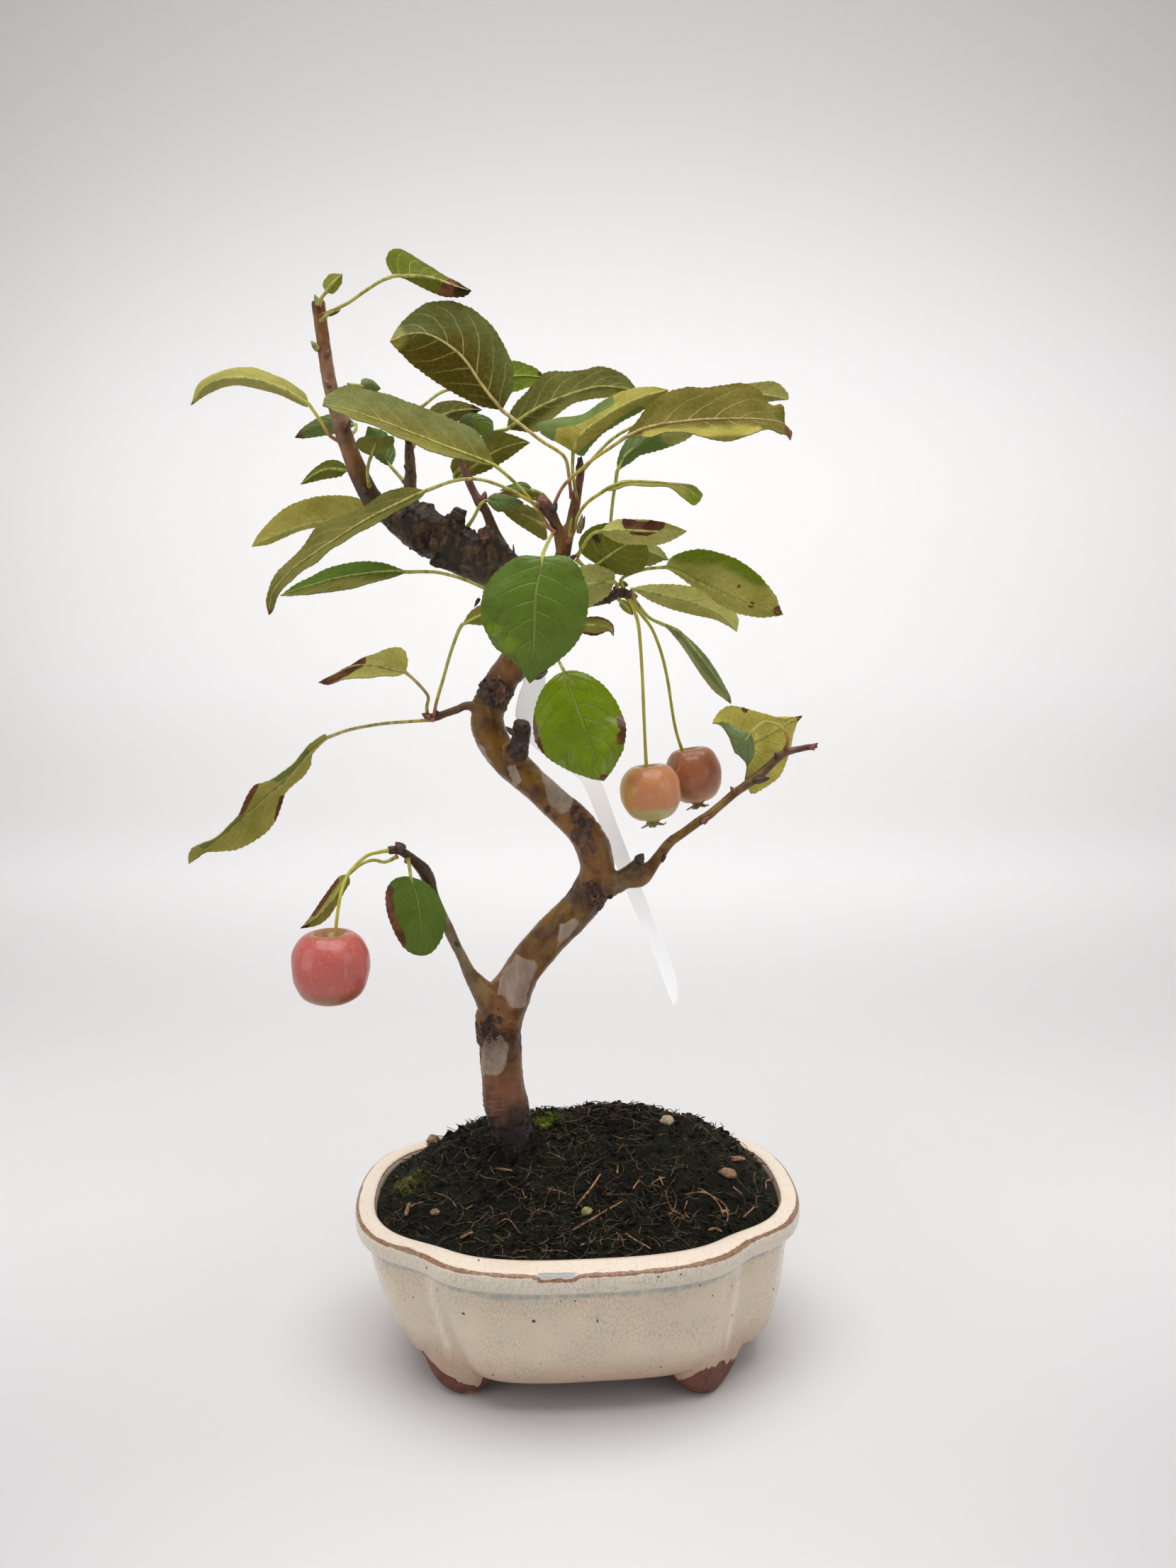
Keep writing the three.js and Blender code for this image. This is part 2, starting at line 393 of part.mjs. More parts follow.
    stalk: [[-75.2, 315.4, 3.6], [-73.6, 316.8, 6]],
    rib: [[-73.4, 318.6, 9], [-82, 318.6, 11], [-93.6, 314.4, 12]],
    left: [[-77, 321.4], [-83, 321.6], [-90, 318.2]],
    right: [[-77, 316.4], [-83, 315.2], [-89.6, 314.2]],
    bow: [1, 2], colour: 'teal',
  },
  leaf_stub_dark: {
    stalk: [[-58.4, 300.8, 3.6], [-60, 302.6, 5]],
    rib: [[-62.1, 305, 6.6], [-65.6, 310.6, 8], [-69.5, 318, 9]],
    left: [[-66.6, 307.4], [-70.6, 312.6]],
    right: [[-60.6, 310], [-63.6, 316]],
    bow: [2, 2], colour: 'dark',
  },
  leaf_black_tip: {
    stalk: [[-54.6, 312, 5], [-53.4, 313.6, 6]],
    rib: [[-51.6, 316, 7], [-45, 321.4, 9], [-38.6, 323.2, 10], [-32, 323.3, 11]],
    left: [[-51, 320.6], [-47, 325.2], [-41, 326.2], [-36, 325]],
    right: [[-47.6, 316.6], [-42, 319], [-36.6, 321]],
    bow: [2, 3], colour: 'dark',
  },
  leaf_teal_folded: {
    stalk: [[-41.2, 310.4, 5], [-42, 312.6, 4], [-41.8, 315.4, 4]],
    rib: [[-40.6, 317.6, 4], [-36, 320, 3], [-31.6, 318.4, 2], [-29, 313.8, 1]],
    left: [[-38, 321.6], [-33.6, 322], [-28.6, 319.6]],
    right: [[-38, 317], [-34.6, 316.4], [-31.6, 314.6]],
    bow: [1, 1], colour: 'teal',
  },
  leaf_dull_crown: {
    stalk: [[-38.6, 305, 6], [-41.4, 302.6, 8.4]],
    rib: [[-41, 301, 9], [-36, 304.6, 9], [-27.6, 310.2, 9], [-19, 312.9, 9], [-16.4, 312.8, 9]],
    left: [[-42.6, 306], [-37.6, 311], [-28.7, 316.4], [-22, 315.2]],
    right: [[-37.6, 301.6], [-31, 303.6], [-23.7, 307.6]],
    bow: [-1, 2], colour: 'olive',
  },
  leaf_dark_crown: {
    stalk: [[-37.4, 285.6, -1.5], [-35.4, 288.4, -2], [-33.8, 291.4, -1.8], [-32.6, 293.4, -1.2]],
    rib: [[-31, 294.3, -1], [-27, 294, -1.6], [-23, 293.9, -2], [-18.6, 293.5, -2]],
    left: [[-29, 296.2], [-26, 296.6], [-21.6, 295.2]],
    right: [[-29, 291.8], [-26.6, 290.6], [-21.6, 291.6]],
    bow: [2, -1], colour: 'dark',
  },
  leaf_thin_crown: {
    stalk: [[-10.2, 291.2, -3.4], [-9.6, 293, -1.4]],
    rib: [[-11, 294.8, 1], [-18, 296, 2], [-27.5, 296.4, 2]],
    left: [[-13, 294], [-19, 295], [-24.6, 295.4]],
    right: [[-12.6, 296.6], [-18, 297.6], [-23.6, 297.4]],
    bow: [4, -2], colour: 'pale',
  },
  leaf_pale_crown: {
    stalk: [[-8.2, 284.8, -3.4], [-9.8, 285, -0.6]],
    rib: [[-11.4, 286, 3], [-17, 289, 5], [-22, 290.9, 6], [-26.4, 291.4, 6]],
    left: [[-11.4, 281.4], [-16.8, 284], [-22.6, 288]],
    right: [[-14.4, 291], [-18.6, 293], [-23, 293]],
    bow: [2, 2], colour: 'pale',
  },
  leaf_by_fruit: {
    stalk: [[-63.6, 174.6, -12.6], [-67, 173, -14], [-71, 173.7, -15], [-75, 172.4, -16], [-78.2, 170, -16]],
    rib: [[-79.8, 168.6, -16], [-84, 162, -17], [-88.6, 156, -18], [-92.4, 152.6, -19], [-96.8, 149.7, -20]],
    left: [[-82.6, 168.2], [-85, 165.4], [-88.6, 160.4], [-92, 155.6], [-94.8, 151.6]],
    right: [[-79.2, 166], [-80.7, 163.4], [-83.6, 158.8], [-87, 153.6], [-91, 150.7]],
    bow: [3, 3], colour: 'olive',
  },
  leaf_oval: {
    stalk: [[-59, 173.4, -13], [-58.6, 170.6, -14]],
    rib: [[-58.4, 167.8, -15], [-57, 164.2, -15.6], [-56, 160, -16], [-55.3, 155, -16.6],
      [-55, 150, -17], [-55, 145, -17], [-55, 140, -17]],
    left: [[-60.6, 168], [-64.4, 166.8], [-67, 162.6], [-66.9, 156.6], [-65.5, 151], [-63.2, 146],
      [-60, 141.9], [-57.4, 140.4]],
    right: [[-56.4, 167.2], [-52.4, 165.4], [-49.2, 161.4], [-47, 156.4], [-46.5, 151.6], [-47.6, 147],
      [-50, 142.8], [-52.7, 140.5]],
    bow: [1, 2], colour: 'green',
  },
  leaf_curled_right: {
    stalk: [[69.7, 212.4, 0.4], [70.3, 214.1, -2], [70.1, 216.4, -3], [68.6, 218.7, -3.6],
      [66.6, 220.3, -4], [63.7, 221, -4.4], [61.3, 220.7, -4.8]],
    rib: [[57.6, 217.2, -5], [55.1, 214.1, -6], [52.6, 210.9, -4.5], [52.9, 210.9, -1.5], [56, 212.6, 2.4],
      [62.6, 216.4, 5], [67.2, 219, 6], [75, 223.2, 6]],
    left: [[55, 218.2, -4.6], [52.4, 219.4, -4.4], [49.4, 221, -3.6], [46, 221.2, -2], [44.6, 220.9, 0],
      [45.6, 222.8, 2], [47.6, 225.3, 3], [51.4, 226.6, 4], [58.4, 225, 5], [68.9, 222.3, 6]],
    right: [[58.4, 215.2, -4.4], [58.6, 212.6, -4], [58.6, 209.8, -3.4], [57.9, 207.4, -2.8],
      [57.2, 206, -1.6], [56.5, 203.6, -0.6], [56, 200.9, 0.6], [57.4, 197.5, 2], [59.2, 196.8, 2.6],
      [64.9, 200, 4], [68.8, 204.4, 5], [71.2, 212.6, 5.6], [72.7, 219.9, 6]],
    folds: [
      [[57.6, 217.2, -5], [55.4, 216.8, -5.6], [51, 216.8, -4.6], [49.4, 218.6, -1], [50.5, 219.5, 2],
        [55, 219.6, 4], [63, 220.6, 5.4], [75, 223.2, 6]],
      [[57.6, 217.2, -5], [57, 213, -5.4], [55.8, 208.8, -4.4], [56.2, 208, -1], [58.5, 206.5, 2],
        [62.6, 209, 4], [68, 214.8, 5.6], [75, 223.2, 6]],
    ],
    bow: [0, 0], rings: 13, colour: 'pale',
  },
  leaf_upper_right: {
    stalk: [[9.2, 265.6, -1.6], [9.4, 276, 0], [10.1, 287.3, 1], [10.8, 294.3, 2], [11.7, 300, 2]],
    rib: [[12.2, 303.7, 2], [15, 309, 3], [21, 313, 4], [30, 316, 5], [38.5, 316.6, 6]],
    left: [[12.6, 308], [16, 314.6], [22, 318.6], [31, 320]],
    right: [[16.4, 306.4], [20, 308.8], [27, 310.6], [34, 313.2]],
    bow: [3, 3], colour: 'dark',
  },
};

const LEAF_COLOURS = {
  green: 0x4c7a12, dark: 0x2c4a1c, pale: 0x9aa05a, olive: 0x77813a, teal: 0x5d7d68, grey: 0x6f8266,
};

// Each fruit: the middle of its flesh, its two radii, the way its eye points and the stalk.
const FRUITS = {
  fruit_red: {
    middle: [-86.7, 135.8, -36], radius: 12.3, half: 11.2, lean: 0, eye: false, colour: 0xb0483f,
    stalk: [[-64.6, 177.2, -11.4], [-69, 176.4, -15], [-73, 175.3, -19], [-76.8, 172.2, -23],
      [-79.9, 168.5, -27], [-82, 163.6, -31], [-83.4, 157.6, -34], [-84.3, 151.6, -35.6], [-85, 145.4, -36]],
  },
  fruit_orange: {
    middle: [24, 197, -8], radius: 10.1, half: 9.1, lean: 0.1, eye: true, colour: 0xc98a4e,
    stalk: [[15.6, 262.8, -4.8], [17.2, 260, -6.6], [18.6, 256.8, -7.4], [19.5, 253.4, -7.4],
      [20.1, 247.6, -7.6], [20.7, 239.4, -8], [21.2, 230, -8], [21.8, 217, -8], [22.6, 204, -8]],
  },
  fruit_brown: {
    middle: [38.5, 203, 14], radius: 9.9, half: 9.5, lean: 0.16, eye: true, colour: 0xa96a45,
    stalk: [[16.2, 262.6, -3], [18.2, 260, -0.8], [20.6, 256.8, 0.4], [23.8, 252.6, 2], [26.4, 246.6, 5],
      [28.2, 240.6, 7], [29.6, 234, 9], [30.6, 227.6, 11], [31.8, 220.6, 12.6], [33.4, 214.6, 13.6],
      [35.6, 209.4, 14]],
  },
};
// Half section of a fruit, from its stalk hollow to its eye: [radius, height] of a unit fruit
const FRUIT_SECTION = [
  [0, 0.74], [0.12, 0.79], [0.3, 0.95], [0.55, 0.99], [0.8, 0.78], [0.96, 0.42], [1, 0.02],
  [0.93, -0.4], [0.74, -0.76], [0.5, -0.95], [0.3, -0.98],
];
const FRUIT_EYE = [[0.36, -1.12], [0.28, -1.26], [0, -1.16]];
const FRUIT_NO_EYE = [[0.16, -0.95], [0, -0.88]];

const LABEL_THICKNESS = 0.5;
// The label's loop round the trunk, and its tail's middle line: [x, z, depth, width]
const LABEL_LOOP = { middle: [-19, 246.5, 2.8], lean: 0.585, radius: 6.9, height: 6, sides: 20 };
const LABEL = [
  [32.8, 122.4, 9, 1.4], [32, 127.6, 9, 3.6], [30, 134.4, 9, 4.6], [24.4, 149, 9, 5],
  [17.6, 165.6, 9, 5.4], [10.4, 184, 9, 5.8], [3.2, 202, 9, 6.2], [-6, 209.8, 9.4, 7],
  [-13.6, 216, 10, 8], [-17.6, 222.4, 10.6, 8.6], [-17, 228.6, 11, 8.4], [-15.4, 234, 11.2, 8],
  [-16.6, 240.6, 10.9, 7.4], [-19, 246.6, 10.1, 6],
];
const LABEL_ACROSS = new THREE.Vector3(0.86, 0.06, 0.5).normalize();

// Stones, moss and a chip of bark lie in the soil: [x, y], three radii and the turn about z
const STONES = {
  stone_tan_back: { at: [-56, 26.5], radii: [2.5, 2.1, 2.3], turn: 0.3, rise: 1.2, colour: 0xa07c58 },
  stone_crest: { at: [31.6, 14.4], radii: [2.6, 2.2, 2], turn: 0, rise: 1, colour: 0xb8a184 },
  stone_right: { at: [50.7, -12], radii: [3.2, 2, 1.7], turn: -0.5, rise: 0.8, colour: 0x8b6a4e },
  stone_left: { at: [-48.8, -22.4], radii: [1.5, 1.3, 1.1], turn: 0.4, rise: 0.6, colour: 0x9b7d62 },
  stone_yellow: { at: [2.3, -28], radii: [1.9, 1.7, 1.3], turn: 0, rise: 0.7, colour: 0xa79a55 },
  moss_behind_trunk: { at: [-12.5, 20], radii: [6, 5, 2.6], turn: 0.2, rise: 0.9, colour: 0x7d9a1c },
  moss_left_rim: { at: [-59, -2], radii: [7, 5.5, 2.2], turn: 1.2, rise: 0.5, colour: 0x6d7d22 },
  bark_chip: { at: [54.5, -0.6], radii: [4, 1.2, 0.9], turn: 0.1, rise: 0.6, colour: 0x9a6f4c },
};

// ---------------------------------------------------------------- solids from rings

// A closed solid from rings of points, all with the same count; a ring of one point is a pole.
function skin(rings) {
  const verts = rings.flat();
  const tris = [];
  let start = 0;
  for (let i = 0; i + 1 < rings.length; i += 1) {
    const here = rings[i].length;
    const next = rings[i + 1].length;
    const after = start + here;
    const sides = Math.max(here, next);
    for (let j = 0; j < sides; j += 1) {
      const k = (j + 1) % sides;
      if (here === 1) tris.push([start, after + k, after + j]);
      else if (next === 1) tris.push([start + j, start + k, after]);
      else tris.push([start + j, start + k, after + k], [start + j, after + k, after + j]);
    }
    start = after;
  }
  return asSolid(verts, tris);
}

function asSolid(verts, tris) {
  let volume = 0;
  for (const [a, b, c] of tris) {
    volume += verts[a].dot(verts[b].clone().cross(verts[c]));
  }
  const facing = volume < 0 ? tris.map(([a, b, c]) => [a, c, b]) : tris;
  const solid = new wasm.Manifold(new wasm.Mesh({
    numProp: 3,
    vertProperties: Float32Array.from(verts.flatMap((v) => [v.x, v.y, v.z])),
    triVerts: Uint32Array.from(facing.flat()),
  }));
  return solid;
}

function solidOf(geometry) {
  const bare = geometry.clone();
  bare.deleteAttribute('normal');
  bare.deleteAttribute('uv');
  const merged = mergeVertices(bare, 1e-4);
  const place = merged.attributes.position;
  const verts = [];
  for (let i = 0; i < place.count; i += 1) verts.push(new THREE.Vector3().fromBufferAttribute(place, i));
  const tris = [];
  for (let i = 0; i < merged.index.count; i += 3) {
    tris.push([0, 1, 2].map((k) => merged.index.getX(i + k)));
  }
  return asSolid(verts, tris);
}

function largest(solid) {
  return solid.decompose().sort((a, b) => b.volume() - a.volume())[0];
}

function curveThrough(points) {
  return new THREE.CatmullRomCurve3(points, false, 'catmullrom', 0.5);
}

// A round tapering limb through its places; grow thickens it and lengthens its ends.
function limb(places, sides, grow = 0) {
  const points = places.map(seen);
  const last = points.length - 1;
  const outward = (end, inner) => points[end].clone().sub(points[inner]).setLength(grow);
  points[0].add(outward(0, 1));
  points[last].add(outward(last, last - 1));
  const rings = [[points[0]]];
  let across = new THREE.Vector3(0, 1, 0);
  points.forEach((point, i) => {
    const ahead = points[Math.min(i + 1, last)].clone().sub(points[Math.max(i - 1, 0)]).normalize();
    across = across.clone().addScaledVector(ahead, -across.dot(ahead)).normalize();
    const third = ahead.clone().cross(across);
    const radius = places[i][3] / 2 + grow;
    rings.push(circle(point, across, third, radius, sides));
  });
  rings.push([points[last]]);
  return skin(rings);
}

function circle(middle, across, third, radius, sides) {
  return Array.from({ length: sides }, (_, j) => {
    const turn = (2 * Math.PI * j) / sides;
    return middle.clone()
      .addScaledVector(across, radius * Math.cos(turn))
      .addScaledVector(third, radius * Math.sin(turn));
  });
}

// ---------------------------------------------------------------- wood

function root([turn, length, diameter]) {
  const way = new THREE.Vector3(1, 0, 0).applyAxisAngle(UP, THREE.MathUtils.degToRad(turn));
  const side = new THREE.Vector3(-way.y, way.x, 0);
  const rings = [[ROOT_START]];
  for (let i = 0; i <= ROOT_STEPS; i += 1) {
    const along = i / ROOT_STEPS;
    const middle = ROOT_START.clone().addScaledVector(way, along * length);
    middle.z -= THREE.MathUtils.lerp(ROOT_DIP.start, ROOT_DIP.end, along ** 1.5);
    const radius = (diameter / 2) * (1 - ROOT_TAPER * along);
    rings.push(circle(middle, side, UP, radius, LIMB_SIDES));
    if (i === ROOT_STEPS) rings.push([middle]);
  }
  return skin(rings);
}

function wood(grow) {
  const limbs = Object.values(LIMBS).map((places) => limb(places, LIMB_SIDES, grow));
  const all = [limb(TRUNK, TRUNK_SIDES, grow), ...limbs, ...ROOTS.map(root)];
  return all.reduce((whole, piece) => whole.add(piece));
}

// ---------------------------------------------------------------- leaves

function spread(points, count, from = 0) {
  const curve = curveThrough(points);
  return Array.from({ length: count + 1 - from }, (_, i) => curve.getPointAt((i + from) / count));
}

// A margin's places between the blade's foot and its tip, with a depth for each.
function margin(places, rib, bow) {
  const inner = places.map(([x, z, depth], i) => {
    if (depth !== undefined) return [x, z, depth];
    const along = (i + 1) / (places.length + 1);
    const at = along * (rib.length - 1);
    const low = Math.min(Math.floor(at), rib.length - 2);
    const ribDepth = THREE.MathUtils.lerp(rib[low][2], rib[low + 1][2], at - low);
    return [x, z, ribDepth + bow * Math.sin(Math.PI * along)];
  });
  return [rib[0], ...inner, rib.at(-1)].map(seen);
}

function leaf({ stalk, rib, left, right, bow, folds, rings = BLADE_RINGS }) {
  const ribs = spread(rib.map(seen), rings);
  const lefts = spread(margin(left, rib, bow[0]), rings);
  const rights = spread(margin(right, rib, bow[1]), rings);
  const [leftHalves, rightHalves] = folds
    ? folds.map((fold) => spread(fold.map(seen), rings))
    : [lefts, rights].map((edges) => edges.map((edge, i) => edge.clone().lerp(ribs[i], 0.5)));
  const blade = [];
  for (let i = 1; i < rings; i += 1) {
    const columns = [lefts[i], leftHalves[i], ribs[i], rightHalves[i], rights[i]];
    blade.push(bladeRing(columns, ribs[i - 1], ribs[i + 1]));
  }
  const points = spread([...stalk.map(seen), ribs[0]], STALK_RINGS);
  let side = lefts[1].clone().sub(rights[1]).normalize();
  const stem = [];
  for (let i = STALK_RINGS; i >= 0; i -= 1) {
    const ahead = points[Math.min(i + 1, STALK_RINGS)].clone().sub(points[Math.max(i - 1, 0)]).normalize();
    side = side.clone().addScaledVector(ahead, -side.dot(ahead)).normalize();
    stem.unshift(circle(points[i], side, ahead.clone().cross(side).negate(), STALK_RADIUS, STALK_SIDES));
  }
  return skin([[points[0]], ...stem, ...blade, [ribs.at(-1)]]);
}

// Eight points round a blade: its two margins, its rib and its half-way lines, on both faces.
function bladeRing([left, leftHalf, rib, rightHalf, right], before, after) {
  const ahead = after.clone().sub(before);
  const face = (point, across, sign) => {
    const up = across.clone().cross(ahead).normalize();
    return point.clone().addScaledVector(up, sign * BLADE_HALF_THICKNESS);
  };
  const whole = leftHalf.clone().sub(rightHalf);
  const leftSide = left.clone().sub(rib);
  const rightSide = rib.clone().sub(right);
  return [
    left, face(leftHalf, leftSide, 1), face(rib, whole, 1), face(rightHalf, rightSide, 1),
    right, face(rightHalf, rightSide, -1), face(rib, whole, -1), face(leftHalf, leftSide, -1),
  ];
}

// ---------------------------------------------------------------- fruits and label

function fruit({ middle, radius, half, lean, eye, stalk }) {
  const section = [...FRUIT_SECTION, ...(eye ? FRUIT_EYE : FRUIT_NO_EYE)];
  const points = section.map(([r, z]) => new THREE.Vector2(r * radius, z * half)).reverse();
  const flesh = new THREE.LatheGeometry(points, FRUIT_SIDES);
  flesh.rotateX(Math.PI / 2);
  flesh.rotateY(-lean);
  flesh.translate(...seen(middle).toArray());
  const body = solidOf(flesh);
  return body.add(limb(stalk.map((place) => [...place, FRUIT_STALK_DIAMETER]), LIMB_SIDES));
}

function labelLoop() {
  const { middle, lean, radius, height, sides } = LABEL_LOOP;
  const rim = (r, z) => new THREE.Vector2(r, z * height);
  const outer = radius + LABEL_THICKNESS;
  const band = [rim(radius, -0.5), rim(outer, -0.5), rim(outer, 0.5), rim(radius, 0.5), rim(radius, -0.5)];
  const loop = new THREE.LatheGeometry(band, sides);
  loop.rotateX(Math.PI / 2);
  loop.rotateY(lean);
  loop.translate(...seen(middle).toArray());
  return solidOf(loop);
}

function label() {
  const points = LABEL.map(seen);
  const rings = points.map((point, i) => {
    const next = points[Math.min(i + 1, points.length - 1)];
    const ahead = next.clone().sub(points[Math.max(i - 1, 0)]).normalize();
    const across = LABEL_ACROSS.clone().addScaledVector(ahead, -LABEL_ACROSS.dot(ahead)).normalize();
    const out = across.clone().cross(ahead).multiplyScalar(LABEL_THICKNESS / 2);
    across.multiplyScalar(LABEL[i][3] / 2);
    return [
      point.clone().add(across).add(out), point.clone().sub(across).add(out),
      point.clone().sub(across).sub(out), point.clone().add(across).sub(out),
    ];
  });
  const middleOf = (ring) => ring[0].clone().lerp(ring[2], 0.5);
  const tail = skin([[middleOf(rings[0])], ...rings, [middleOf(rings.at(-1))]]);
  return tail.add(labelLoop());
}

// ---------------------------------------------------------------- pot and soil

// Distance from the pot's centre to the rim's outline in the direction of the turn.
function rimRadius(turn) {
  const c = Math.abs(Math.cos(turn)) / POT_HALF_WIDTH;
  const s = Math.abs(Math.sin(turn)) / POT_HALF_DEPTH;
  const plain = (c ** POT_SQUARENESS + s ** POT_SQUARENESS) ** (-1 / POT_SQUARENESS);
  const folded = Math.atan2(Math.abs(Math.sin(turn)), Math.abs(Math.cos(turn)));
  return plain - POT_PINCH * Math.exp(-(((folded - POT_PINCH_ANGLE) / POT_PINCH_SPREAD) ** 2));
}

function outlineRing(inset, height, sides) {
  return Array.from({ length: sides }, (_, i) => {
    const turn = (2 * Math.PI * i) / sides;
    const radius = rimRadius(turn) - inset;
    return new THREE.Vector3(radius * Math.cos(turn), radius * Math.sin(turn), height);
  });
}

function pot() {
  const underside = [new THREE.Vector3(0, 0, POT_PROFILE[0][1])];
  const floor = [new THREE.Vector3(0, 0, POT_FLOOR)];
  const rings = POT_PROFILE.map(([inset, z]) => outlineRing(inset, z, POT_SIDES));
  let body = skin([underside, ...rings, floor]);
  for (const x of [-FOOT_CENTRE.x, FOOT_CENTRE.x]) {
    for (const y of [-FOOT_CENTRE.y, FOOT_CENTRE.y]) body = body.add(foot(x, y));
  }
  for (const x of [-DRAIN_HOLE.x, DRAIN_HOLE.x]) {
    body = body.subtract(disc(x, POT_FLOOR / 2, DRAIN_HOLE.radius, POT_FLOOR * 2));
  }
  return body;
}

function foot(x, y) {
  const rings = FOOT_PROFILE.map(([halfX, halfY, z]) => Array.from({ length: FOOT_SIDES }, (_, i) => {
    const turn = (2 * Math.PI * i) / FOOT_SIDES;
    return new THREE.Vector3(x + halfX * Math.cos(turn), y + halfY * Math.sin(turn), z);
  }));
  const pole = (z) => [new THREE.Vector3(x, y, z)];
  return skin([pole(0), ...rings, pole(FOOT_PROFILE.at(-1)[2])]);
}

function disc(x, z, radius, thickness) {
  const round = new THREE.CylinderGeometry(radius, radius, thickness, DRAIN_HOLE.sides);
  round.rotateX(Math.PI / 2);
  round.translate(x, 0, z);
  return solidOf(round);
}

function screen(x, grow = 0) {
  const z = POT_FLOOR + GAP + SCREEN.thickness / 2;
  return disc(x, z, SCREEN.radius + grow, SCREEN.thickness + 2 * grow);
}

// Height of the mound: level along the wall, highest behind and to the right of the trunk.
function soilHeight(x, y) {
  const turn = Math.atan2(y, x);
  const out = Math.min(Math.hypot(x, y) / (rimRadius(turn) - SOIL_INSET), 1);
  const crown = SOIL_CROWN.middle + SOIL_CROWN.right * x + SOIL_CROWN.back * y;
  return SOIL_EDGE + crown * (1 - out ** 4);
}

function soil(cutters) {
  const rings = [[new THREE.Vector3(0, 0, POT_FLOOR + GAP)]];
  for (const [inset, z] of SOIL_WALL) rings.push(outlineRing(inset, z, SOIL_SIDES));
  for (let i = 0; i < SOIL_RINGS; i += 1) {
    const share = 1 - i / SOIL_RINGS;
    const ring = outlineRing(SOIL_INSET + 0.5, SOIL_EDGE, SOIL_SIDES);
    ring.forEach((point) => {
      point.x *= share;
      point.y *= share;
      point.z = soilHeight(point.x, point.y);
    });
    rings.push(ring);
  }
  rings.push([new THREE.Vector3(0, 0, soilHeight(0, 0))]);
  return cutters.reduce((ground, cutter) => ground.subtract(cutter), skin(rings));
}

function stone({ at: [x, y], radii, turn, rise }, grow = 0) {
  const round = new THREE.IcosahedronGeometry(1, 1);
  round.scale(...radii.map((radius) => radius + grow));
  round.rotateZ(turn);
  round.translate(x, y, soilHeight(x, y) + rise);
  return solidOf(round);
}

// ---------------------------------------------------------------- the whole plant

function meshOf(name, solid, colour, roughness) {
  const { vertProperties, triVerts } = solid.getMesh();
  const geometry = new THREE.BufferGeometry();
  geometry.setAttribute('position', new THREE.BufferAttribute(vertProperties.slice(), 3));
  geometry.setIndex(new THREE.BufferAttribute(triVerts.slice(), 1));
  geometry.computeVertexNormals();
  const material = new THREE.MeshStandardMaterial({ color: colour, roughness, metalness: 0 });
  const mesh = new THREE.Mesh(geometry, material);
  mesh.name = name;
  return mesh;
}

const plant = new THREE.Group();
const place = (name, solid, colour, roughness = 0.6) => plant.add(meshOf(name, solid, colour, roughness));

const tree = wood(0);
const roomForWood = wood(GAP);

place('pot', pot(), 0xd9cdb8, 0.3);
place('drain_screen_left', screen(-DRAIN_HOLE.x), 0x2a2a28, 0.8);
place('drain_screen_right', screen(DRAIN_HOLE.x), 0x2a2a28, 0.8);
place('trunk_and_branches', tree, 0x5c4230, 0.5);

const cutters = [roomForWood, screen(-DRAIN_HOLE.x, GAP), screen(DRAIN_HOLE.x, GAP)];
for (const [name, piece] of Object.entries(STONES)) {
  place(name, stone(piece), piece.colour, 0.9);
  cutters.push(stone(piece, GAP));
}
place('soil', largest(soil(cutters)), 0x2b2a22, 1);

for (const [name, shape] of Object.entries(LEAVES)) {
  place(name, largest(leaf(shape).subtract(roomForWood)), LEAF_COLOURS[shape.colour]);
}
for (const [name, shape] of Object.entries(FRUITS)) {
  place(name, largest(fruit(shape).subtract(roomForWood)), shape.colour, 0.4);
}
place('blank_label', largest(label().subtract(roomForWood)), 0xf4f2ee, 0.4);

// The model's origin is the middle of its box, on the ground.
const box = new THREE.Box3().setFromObject(plant);
plant.position.set(-(box.min.x + box.max.x) / 2, -(box.min.y + box.max.y) / 2, -box.min.z);
plant.updateMatrixWorld(true);

export default plant;
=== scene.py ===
"""A crabapple bonsai in its glazed pot: every finished surface, modelled over the CAD frame."""
import math
import random

import bpy
import numpy as np
from mathutils import Matrix, Vector, noise

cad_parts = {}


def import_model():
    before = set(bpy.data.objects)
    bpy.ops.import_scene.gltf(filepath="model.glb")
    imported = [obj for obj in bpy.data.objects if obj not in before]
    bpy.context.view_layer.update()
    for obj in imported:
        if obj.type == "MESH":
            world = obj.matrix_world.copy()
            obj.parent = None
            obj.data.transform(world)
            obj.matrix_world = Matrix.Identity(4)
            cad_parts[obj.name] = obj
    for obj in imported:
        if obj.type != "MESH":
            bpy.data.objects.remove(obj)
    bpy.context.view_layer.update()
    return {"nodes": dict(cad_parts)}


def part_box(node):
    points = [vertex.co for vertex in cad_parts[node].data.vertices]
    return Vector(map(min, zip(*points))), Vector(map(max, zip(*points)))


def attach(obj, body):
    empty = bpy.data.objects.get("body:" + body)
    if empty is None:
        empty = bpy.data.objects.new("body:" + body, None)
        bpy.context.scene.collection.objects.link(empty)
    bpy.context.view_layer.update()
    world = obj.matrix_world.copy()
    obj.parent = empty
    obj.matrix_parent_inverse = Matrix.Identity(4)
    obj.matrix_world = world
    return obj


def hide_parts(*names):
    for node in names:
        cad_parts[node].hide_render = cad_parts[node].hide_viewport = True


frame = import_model()
random.seed(11)

# The tree is laid out in millimetres about the pot's centre, with the ground at zero.
MM = 0.001
pot_low, pot_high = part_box("pot")
POT_MIDDLE = np.array([(pot_low.x + pot_high.x) / 2, 0, 0])

# A place on the tree is [x, z, depth]: where it stands on the front plane as it looks from the
# viewpoint, and how far behind that plane it lies.
VIEWPOINT = np.array([2.6, -383.0, 247.0])
VIEW_REACH = 383.0


def world(places):
    """Layout millimetres as metres in the frame."""
    return np.asarray(places, float) * MM + POT_MIDDLE


